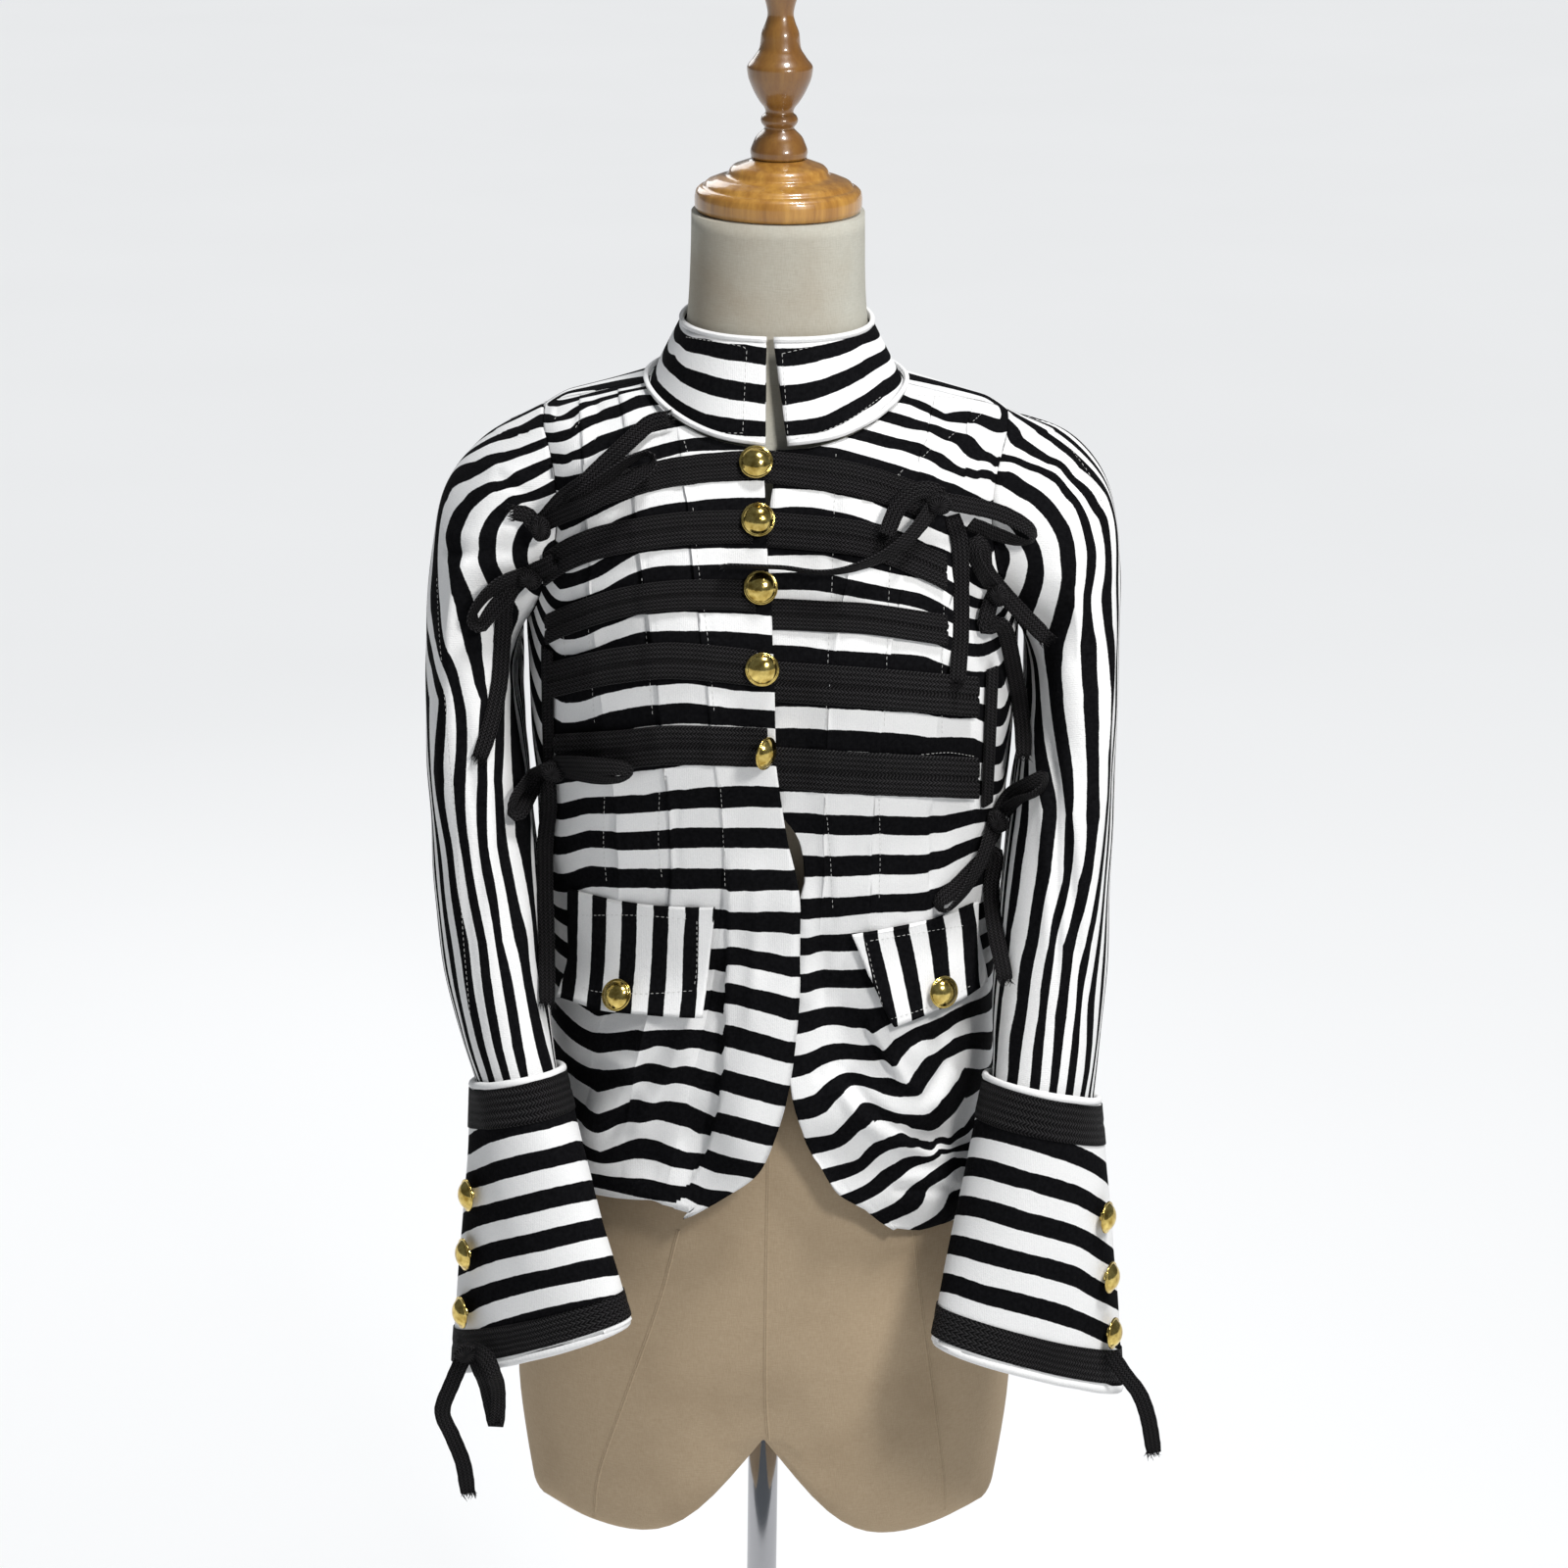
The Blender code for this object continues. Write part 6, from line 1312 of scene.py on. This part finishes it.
# Tied tapes. Each strand's middle line: x, z, its height off the cloth in mm and the tilt of
# its breadth in degrees, from the knot; a tape is one or more strands end to end.
TIES = {
    "tie_right_1": {
        "tail": (
            (-142.7, 1290.9, 5, 10), (-128.2, 1312.2, 8, 10), (-112.9, 1326.3, 9, 10),
            (-100.1, 1337.6, 8, 10), (-86.8, 1348.2, 5, 5), (-75.8, 1356.1, 5, 0), (-65.7, 1358.7, 5, 0),
        ),
        "loop": (
            (-142.8, 1291.8, 4, 15), (-122, 1306.5, 7, 20), (-100.8, 1320, 9, 35), (-84, 1330.4, 9, 50),
            (-74.2, 1337.4, 9, 65), (-76.2, 1342.6, 8, 65), (-89.1, 1337.2, 6, 50), (-105.9, 1325, 5, 30),
            (-125.3, 1309.6, 4, 15),
        ),
        "end": ((-144, 1292.7, 3, 10), (-151.2, 1298.7, 4, 5), (-159.6, 1299.8, 4, 0)),
    },
    "tie_right_2": {
        "tail": (
            (-150.1, 1257.7, 6, 10), (-162.3, 1248.5, 5, 10), (-167.5, 1218.2, 4, 5),
            (-169.8, 1188.7, 3, 0), (-174.8, 1165.1, 3, 0), (-181.2, 1146.2, 3, 0),
        ),
        "loop": (
            (-151.2, 1260.7, 7, 15), (-166.5, 1256.6, 9, 25), (-178.6, 1246.8, 10, 45),
            (-185.5, 1233.9, 8, 60), (-180.4, 1227.9, 5, 50), (-172.2, 1238, 4, 25),
            (-161.2, 1249.5, 4, 10),
        ),
        "root": ((-134, 1271.9, 3, 5), (-143, 1264.7, 4, 10), (-151.2, 1260.4, 6, 10)),
    },
    "tie_right_3": {
        "tail": (
            (-135.4, 1138.5, 5, 10), (-139.6, 1110.6, 4, 5), (-142.9, 1074.6, 3, 0), (-141, 1031.9, 3, 0),
            (-139.3, 991.1, 3, 0),
        ),
        "loop": (
            (-134.6, 1142.9, 7, 15), (-115.7, 1151, 8, 20), (-95.2, 1154.9, 8, 45), (-86.7, 1152.4, 6, 60),
            (-94.2, 1145.5, 4, 45), (-112.9, 1142, 3, 20), (-131, 1138.8, 3, 10),
        ),
        "loop2": (
            (-137.5, 1141.1, 6, 20), (-152, 1127.2, 8, 35), (-159.1, 1120.9, 8, 50),
            (-161.3, 1112.2, 6, 60), (-156.4, 1109.2, 4, 50), (-151.4, 1116.1, 3, 30),
            (-142.1, 1128, 3, 15),
        ),
    },
    "tie_left_1": {
        "tail": (
            (99, 1316.2, 5, 10), (89.4, 1307.8, 8, 20), (75.2, 1295.3, 7, 30), (55.9, 1285.1, 5, 45),
            (29.6, 1278.8, 4, 60), (0.2, 1281.3, 4, 65), (-28, 1282.1, 4, 60),
        ),
        "loop": (
            (97.7, 1318.7, 6, 15), (118.1, 1313.1, 9, 15), (143.1, 1302.9, 10, 25), (156.5, 1294.4, 8, 55),
            (155.7, 1287.2, 6, 60), (140.8, 1289.3, 4, 30), (118.7, 1301.1, 4, 10),
        ),
        "bend": ((98.9, 1321.4, 7, 15), (86.9, 1325, 6, 15), (75, 1316.6, 4, 10), (66.9, 1300.9, 4, 5)),
    },
    "tie_left_2": {
        "tail": (
            (137.2, 1254.5, 6, 10), (141.9, 1231.5, 5, 5), (151.6, 1193.5, 4, 0), (157.5, 1161.5, 3, 0),
            (158.2, 1143.7, 2, 0),
        ),
        "loop": (
            (134.6, 1257.8, 6, 20), (125.9, 1272.3, 7, 35), (120.7, 1284, 7, 40), (123.7, 1290.8, 6, 45),
            (127.7, 1283, 4, 35), (130.6, 1268.3, 3, 20),
        ),
        "end": ((135.8, 1257.6, 7, 10), (150.2, 1243.1, 9, 10), (161.6, 1231.1, 8, 5), (169, 1223, 5, 0)),
        "root": ((130.3, 1235, 3, 5), (132.4, 1247.1, 4, 10), (136, 1255.8, 5, 10)),
    },
    "tie_left_3": {
        "tail": (
            (143.1, 1099.8, 5, 10), (141.3, 1078.6, 4, 5), (140.9, 1054.7, 3, 0), (142.1, 1037, 3, 0),
            (148.4, 1010.7, 3, 0),
        ),
        "loop": (
            (143, 1101.7, 6, 15), (149.8, 1115.9, 8, 30), (160.5, 1131, 8, 50), (169.6, 1138.5, 6, 65),
            (168.1, 1130.5, 4, 55), (155.3, 1117.8, 3, 30), (146.8, 1102.4, 3, 10),
        ),
        "loop2": (
            (141.7, 1099, 7, 15), (134.3, 1080.5, 8, 25), (123.4, 1061.8, 8, 45), (111, 1051, 7, 60),
            (105.7, 1056.6, 5, 50), (118.4, 1064.5, 3, 20),
        ),
    },
    "tie_left_4": {
        "tail": (
            (107.6, 1306, 3, 0), (112.5, 1288.5, 4, 0), (113.9, 1258.4, 3, 0), (114.4, 1232.1, 3, 0),
            (112.6, 1206.7, 3, 0),
        ),
    },
    "cuff_tie_right": {
        "tail": (
            (-190, 768.1, 3, 0), (-199.4, 745.2, 3, 0), (-206.1, 724.7, 3, 0), (-200.1, 707, 3, 0),
            (-193.4, 687.2, 3, 0), (-190.6, 665.7, 3, 0),
        ),
        "loop": (
            (-186, 770, 6, 20), (-177, 770, 8, 30), (-171.5, 762, 9, 40), (-169.5, 740, 8, 35),
            (-171.5, 716, 6, 20), (-174.5, 728, 5, 20), (-179, 750, 4, 20), (-185, 764, 4, 20),
        ),
    },
    "cuff_tie_left": {
        "tail": (
            (221.6, 768.2, 3, 0), (231.1, 753.2, 3, 0), (241.1, 739.3, 3, 0), (247.6, 721.7, 3, 0),
            (252.5, 696.9, 3, 0),
        ),
    },
}
# Which strands make one tape: a minus sign turns one round
TAPES = {
    "tie_right_1": (('-end', 'tail'), ('loop',)),
    "tie_right_2": (('-root', 'tail'), ('loop',)),
    "tie_right_3": (('loop2', 'tail'), ('loop',)),
    "tie_left_1": (('-bend', 'tail'), ('loop',)),
    "tie_left_2": (('-root', 'tail'), ('loop', 'end')),
    "tie_left_3": (('loop2', 'tail'), ('loop',)),
    "tie_left_4": (('tail',),),
    "cuff_tie_right": (('tail',), ('loop',)),
    "cuff_tie_left": (('tail',),),
}
HANGING_Y = -0.147  # the plane that tapes hang in below the cuffs
KNOT_DEPTH = 5.5 * MM  # how far a knot's middle lies off the cloth
KNOT_REACH = 9 * MM  # how near the knot its tapes are drawn into it
KNOT = ((0.6, -5.0), (5.0, -4.2), (7.2, -1.5), (7.2, 1.5), (5.0, 4.2), (0.6, 5.0))


def furthest(tree, x, z, hanging):
    """How far forward the cloth comes at a place, seen from the front."""
    found = [HANGING_Y] if hanging else []
    for dx in (-4 * MM, 0, 4 * MM):
        for dz in (-4 * MM, 0, 4 * MM):
            hit = tree.ray_cast(Vector((x + dx, -1, z + dz)), -FORWARD)[0]
            if hit is not None:
                found.append(hit.y)
    return min(found, default=HANGING_Y)


def knot(name, place, seed):
    """A knot of wrapped tape: a squat roll with its turns' edges standing out."""
    rings = smooth_curve(KNOT, 0.7)
    points, far, across = [], [], []
    sides = 28
    tilt = Matrix.Rotation(0.35 * seed, 3, "Y")
    for i, (radius, height) in enumerate(rings):
        for turn in TURN * np.arange(sides) / sides:
            lobe = radius * (1 + 0.10 * math.cos(2 * turn + 0.5 * seed) + 0.05 * math.sin(5 * turn + i * 0.5))
            deep = -height * (1 + 0.06 * math.cos(3 * turn))
            local = Vector((lobe * math.cos(turn), deep, 0.92 * lobe * math.sin(turn)))
            points.append(place + tilt @ local * MM)
            far.append(7 * turn)
            across.append((height + 5) / 3.4)
    return make(name, points, tube_faces(len(rings), sides), along=far, across=across)


def tape_path(strands, parts):
    """A tied tape's smooth path through its strands: x, z, height off the cloth and tilt."""
    rows = []
    for part in parts:
        strand = strands[part.lstrip("-")]
        strand = strand[::-1] if part.startswith("-") else strand
        rows += strand[1 if rows else 0:]
    return smooth_curve(np.array(rows) * MM, 3.2 * MM)


def tie(name, tree):
    """A tied tape on the cloth: its knot, if it has one, and its lengths of tape."""
    strands = TIES[name]
    hanging = name.startswith("cuff")
    x, z = (MM * size for size in strands["tail"][0][:2])
    knotted = len(strands) > 1
    knot_y = furthest(tree, x, z, hanging) - KNOT_DEPTH
    lines = []
    for parts in TAPES[name]:
        path = tape_path(strands, parts)
        ys = np.array([furthest(tree, *place, hanging) for place in path[:, :2]])
        for _ in range(3):
            calm = ys.copy()
            calm[1:-1] = (ys[:-2] + ys[1:-1] + ys[2:]) / 3
            ys = np.minimum(ys, calm)
        ys = ys - path[:, 2]
        if knotted:
            gap = np.hypot(path[:, 0] - x, path[:, 1] - z)
            share = np.exp(-((gap / KNOT_REACH) ** 2))
            ys = ys * (1 - share) + (knot_y + 3.5 * MM) * share
        lines.append((parts, path, calmed(ys, 5)))
    lowest = min(ys.min() for _, _, ys in lines)
    shift = float(np.clip(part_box(name)[0][1] - lowest + 1.2 * MM, -4 * MM, 4 * MM))
    knots = []
    if knotted:
        seed = len(name) + int(strands["tail"][0][0]) % 3
        knots.append(dressed(knot(name + "_knot", Vector((x, knot_y + shift, z)), seed), "black_braid", name))
    for number, (parts, path, ys) in enumerate(lines):
        line = np.stack([path[:, 0], ys + shift, path[:, 1]], axis=1)
        along = unit(np.gradient(line, axis=0))
        flat = unit(np.cross(along, FORWARD))
        tilt = np.radians(path[:, 3] / MM)[:, None]
        breadth = flat * np.cos(tilt) + np.cross(flat, along) * np.sin(tilt)
        free = parts[-1] in ("tail", "end")
        frayed = (parts[0] == "-end", free)
        piece = tape(f"{name}_tape_{number + 1}", line, breadth, frayed, number + len(name))
        dressed(piece, "black_braid", name)
        route = smooth_curve(line, gone(line)[-1] / 30)
        knots if number == 0 else ()


jacket_tree = tree_of(*PIECES.values())
for tie_name in TIES:
    tie(tie_name, jacket_tree)


# Buttons, cap, finial, tube and foot, all turned: radius and height

DOME = (
    (0.3, 0.02), (0.3, 0.26), (0.55, 0.3), (0.95, 0.345), (1.0, 0.4), (0.985, 0.455), (0.93, 0.475),
    (0.885, 0.455), (0.86, 0.5), (0.72, 0.66), (0.52, 0.8), (0.28, 0.89), (0.06, 0.925),
)
BUTTON_RADIUS = 10.3 * MM
NECK_TOP_Z = 1.4733
CAP = (
    (1, 0), (49.5, 0), (51.0, 1.2), (51.6, 4), (51.6, 9), (50.8, 12.6), (48.5, 14.6), (46.2, 15.0),
    (45.4, 16.6), (44.0, 18), (38, 20.3), (32.2, 21.6), (31.2, 22.4), (30.2, 25.4), (28.0, 27.6),
    (22.0, 29.8), (17.6, 31.4), (17.0, 32), (1, 32),
)
FINIAL = (
    (1, 32.3), (15.6, 32.3), (17.2, 34), (17.6, 37), (16.2, 41), (14.0, 45.4), (10.0, 49.4), (9.0, 51),
    (10.6, 53.0), (11.5, 55.5), (10.4, 58.2), (8.6, 60), (9.4, 63), (12.5, 67), (16.0, 73), (19.0, 80),
    (20.0, 85), (20.0, 88), (18.4, 90.4), (17.0, 92), (15.2, 94.6), (13, 98), (12.2, 102), (11.5, 108),
    (9.2, 114), (8.0, 119), (8.8, 124.5), (10.5, 130), (12.0, 135), (12.5, 139.5), (11.9, 144), (10.5, 148),
    (8.2, 152), (5.4, 154.8), (2.4, 156), (0.3, 156.1),
)
POLE_RADIUS = 10.2 * MM
FOOT = (
    (1, 0), (157, 0), (160, 2.0), (160, 6.5), (157.4, 9.8), (152.5, 11.9), (100, 13.4), (40, 14.6),
    (27.0, 15.4), (24.4, 18), (24.0, 22), (24.0, 44), (22.8, 48), (19.6, 49.8), (10.6, 50), (1, 50),
)


def eased_corners(points, step):
    """Points at even steps along a line, its corners a little rounded."""
    far = gone(points)
    return calmed(at_distances(points, far, np.linspace(0, far[-1], int(far[-1] / step) + 1)))


def lathe(name, rings, place, axis, sides):
    """A turned piece along an axis, from the radii and heights of its rings."""
    turn = UP.rotation_difference(Vector(axis)).to_matrix()
    points = [
        Vector(place) + turn @ Vector((radius * math.cos(at), radius * math.sin(at), height))
        for radius, height in rings for at in TURN * np.arange(sides) / sides
    ]
    faces = tube_faces(len(rings), sides)
    faces[-2] = tuple(reversed(faces[-2]))
    return make(name, points, faces)


def button(node):
    """A domed button on its solid's own axis, facing out."""
    points = places(NODES[node].data)
    centre = points.mean(axis=0)
    axis = np.linalg.eigh(np.cov((np.unique(points.round(6), axis=0) - centre).T))[1][:, 0]
    guide = (centre[0] * 6 if "cuff" in node else 0, -1.0, 0)
    axis = axis * (1 if axis @ guide > 0 else -1)
    base = centre + axis * ((points - centre) @ axis).min()
    dome = smooth_curve(np.array(DOME) * BUTTON_RADIUS, 0.45 * MM)
    dressed(lathe(node + "_gilt", dome, base, axis, 40), "gilt", node)


def stand():
    """The neck cap, its finial, the tube and the round foot."""
    cap, finial, foot = (np.array(shape) * MM for shape in (CAP, FINIAL, FOOT))
    neck = (0, NECK_TOP_Z)
    low, high = (corner[2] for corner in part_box("pole"))
    inner = POLE_RADIUS - MM
    pole = (inner, low), (POLE_RADIUS, low + MM), (POLE_RADIUS, high - MM), (inner, high)
    for name, slot, node, rings, sides in (
        ("turned_cap", "oak", "neck_cap", eased_corners(cap + neck, 0.8 * MM), 96),
        ("turned_finial", "oak", "finial", smooth_curve(finial + neck, 1.1 * MM), 64),
        ("pole_tube", "chrome", "pole", pole, 48),
        ("round_foot", "foot_steel", "foot", eased_corners(foot, 1.0 * MM), 96),
    ):
        dressed(lathe(name, rings, (0, 0, 0), UP, sides), slot, node)


for button_node in sorted(node for node in NODES if node.startswith("button_")):
    button(button_node)
stand()


# Form

FORM_SEAMS = {
    "centre": ((784, 1150), (784, 1180), (782, 1300), (781, 1420), (784, 1470)),
    "princess_right": ((692, 1255), (672, 1330), (640, 1420), (612, 1500), (606, 1548)),
    "princess_left": ((932, 1255), (940, 1330), (952, 1420), (962, 1500), (964, 1540)),
}
SEAM_SHAPE = np.array(
    ((-1.9, -0.10), (-1.1, 0.50), (-0.35, 0.55), (0.0, 0.06), (0.35, 0.50), (1.2, 0.40), (1.9, -0.10))
)


def form():
    """The canvas-covered form with its seams."""
    piece = fine_copy("form_torso", "dress_form", 2)
    points = places(piece.data)
    placed(piece.data, points + places(piece.data, "normal") * (wavy(points, 71) * 0.35)[:, None])
    dressed(piece, "linen", "form_torso")
    tree = tree_of(piece)
    for name, line in FORM_SEAMS.items():
        seam(name, tree, [(EYE, picture_ray(u, v)) for u, v in smooth_curve(line, 8)])
    hips = np.arange(0.66, 0.86, 0.006)
    neck = np.arange(1.40, 1.470, 0.006)
    for name, x, bow, heights in (
        ("back_middle", 0.0, 0, hips), ("back_middle_neck", 0.0, 0, neck),
        ("back_left", 0.075, 0.02, hips), ("back_right", -0.075, 0.02, hips),
    ):
        seam(name, tree, [(Vector((x + bow * math.sin(z * 9), 1, z)), FORWARD) for z in heights])


def seam(name, tree, rays):
    """A flat seam of the form's cover: two folded edges, a hair apart."""
    line, facing = laid_on(tree, rays)
    wide = unit(np.cross(np.gradient(line, axis=0), facing))
    points = []
    for place, out, sideways in zip(line, facing, wide):
        across = place + sideways * SEAM_SHAPE[:, :1] * 0.8 * MM
        points += [*(across + out * SEAM_SHAPE[:, 1:] * MM), *(across - out * 0.3 * MM)]
    faces = slab_faces(len(line), len(SEAM_SHAPE), closed=False)
    dressed(make("form_seam_" + name, points, faces), "linen")


form()


# Stitches: dashes along lines on the picture, on the piece that they are sewn through

DASH, GAP = 2.1 * MM, 1.5 * MM
THREAD_RADIUS, THREAD_BOW = 0.17, 0.30  # in mm
SEWN = {
    "front_right": (
        (707, 518, 714, 590, 722, 650, 729, 730), (655, 590, 666, 730), (598, 600, 607, 740),
        (573, 625, 578, 680), (735, 800, 738, 850, 740, 905), (617, 812, 616, 860, 619, 900),
        (673, 808, 672, 860, 676, 900), (698, 450, 703, 466), (612, 443, 604, 452), (592, 430, 585, 440),
        (572, 418, 566, 428),
    ),
    "front_left": (
        (853, 463, 851, 527, 849, 596, 845, 673, 843, 743),
        (918, 484, 911, 540, 907, 606, 905, 675, 902, 745), (963, 619, 961, 690, 961, 750),
        (842, 815, 847, 870, 850, 930), (897, 815, 898, 870, 897, 920), (925, 403, 960, 405, 1000, 408),
        (940, 770, 968, 768, 995, 772), (915, 486, 925, 476), (942, 466, 953, 455), (968, 447, 980, 437),
        (993, 430, 1004, 420),
    ),
    "sleeve_right": ((446, 590, 448, 640, 452, 690, 458, 760, 464, 828, 469, 900, 474, 971, 482, 1060),),
    "sleeve_left": ((1060, 431, 1080, 444, 1100, 468, 1116, 492, 1127, 520),),
    "collar": (
        (700, 344, 725, 348, 755, 353, 761, 356), (762, 358, 760, 395, 758, 440),
        (758, 442, 735, 441, 700, 430, 672, 408), (798, 361, 840, 351, 846, 349, 880, 333),
        (798, 361, 801, 400, 804, 446), (806, 449, 840, 440, 870, 426, 900, 404),
    ),
    "flap_right": (
        (711, 940, 711, 985, 708, 1010), (706, 1011, 660, 1014, 610, 1012, 592, 1006),
        (594, 934, 650, 934, 705, 938),
    ),
    "flap_left": (
        (884, 962, 893, 1000, 905, 1040), (908, 1040, 935, 1032, 965, 1020, 990, 1006),
        (888, 960, 930, 953, 985, 944),
    ),
}
# Stitches round the hem and down the middle of the back, as x, z pairs
SEWN_BEHIND = (
    (-0.13, 0.905, -0.1, 0.86, -0.05, 0.842, 0.0, 0.84, 0.05, 0.842, 0.1, 0.858, 0.13, 0.9),
    (0.0, 1.36, 0.0, 1.25, 0.0, 1.1, 0.0, 0.96, 0.0, 0.86),
)


def dashes(node, paths):
    """Short stitches along lines on a piece, each a small bowed thread."""
    points, faces = [], []
    for line, facing in paths:
        far = gone(line)
        start = 0.0
        while start + DASH < far[-1]:
            at = np.linspace(start, start + DASH, 5)
            middle = at_distances(line, far, at)
            up = at_distances(facing, far, at)
            wide = np.cross(unit(middle[-1] - middle[0]), up)
            faces += tube_faces(5, 4, len(points))
            for k in range(5):
                bow = math.sin(math.pi * k / 4)
                size = THREAD_RADIUS * (0.55 + 0.45 * bow)
                for turn in (0, 1.57, 3.14, 4.71):
                    rise = THREAD_BOW * bow + size * math.sin(turn)
                    points.append(middle[k] + (up[k] * rise + wide[k] * size * math.cos(turn)) * MM)
            start += DASH + GAP
    dressed(make("stitches_" + node, points, faces), "white_jersey", material=WHITE_THREAD)


for sewn_node, sewn_lines in SEWN.items():
    sewn_tree = tree_of(PIECES[sewn_node])
    dashes(sewn_node, [
        laid_on(sewn_tree, [(EYE, picture_ray(u, v)) for u, v in smooth_curve(in_twos(line), 2.5)])
        for line in sewn_lines
    ])
back_tree = tree_of(PIECES["back"])
dashes("back", [
    laid_on(back_tree, [(Vector((x, 1, z)), FORWARD) for x, z in smooth_curve(in_twos(line), 2 * MM)])
    for line in SEWN_BEHIND
])


# Floor and lights

def lamp(name, kind, place, power, tint):
    data = bpy.data.lights.new(name, kind)
    data.energy = power
    data.color = tint
    thing = bpy.data.objects.new(name, data)
    bpy.context.scene.collection.objects.link(thing)
    thing.location = place
    thing.rotation_euler = (Vector((0, 0, 1.1)) - Vector(place)).to_track_quat("-Z", "Y").to_euler()
    return data


def stage():
    corners = [(40.0 * x, 40.0 * y, 0) for x, y in ((-1, -1), (1, -1), (1, 1), (-1, 1))]
    floor = make("floor", corners, [(0, 1, 2, 3)])
    floor.data.materials.append(floor_paint())
    world = bpy.data.worlds.new("studio")
    bpy.context.scene.world = world
    world.use_nodes = True
    sky = world.node_tree.nodes["Background"].inputs
    sky["Color"].default_value = (0.84, 0.92, 1.0, 1)
    sky["Strength"].default_value = 0.16
    bpy.context.scene.view_settings.view_transform = "Standard"
    lamp("high", "SUN", (0.9, -0.6, 4.2), 2.6, (1.0, 1.0, 1.0)).angle = math.radians(12)
    lamp("key", "AREA", (0.62, -1.0, 1.95), 11.0, (1.0, 0.985, 0.96)).size = 0.22
    lamp("rim", "AREA", (-1.0, 2.2, 2.4), 14, (1.0, 1.0, 1.0)).size = 1.2


stage()
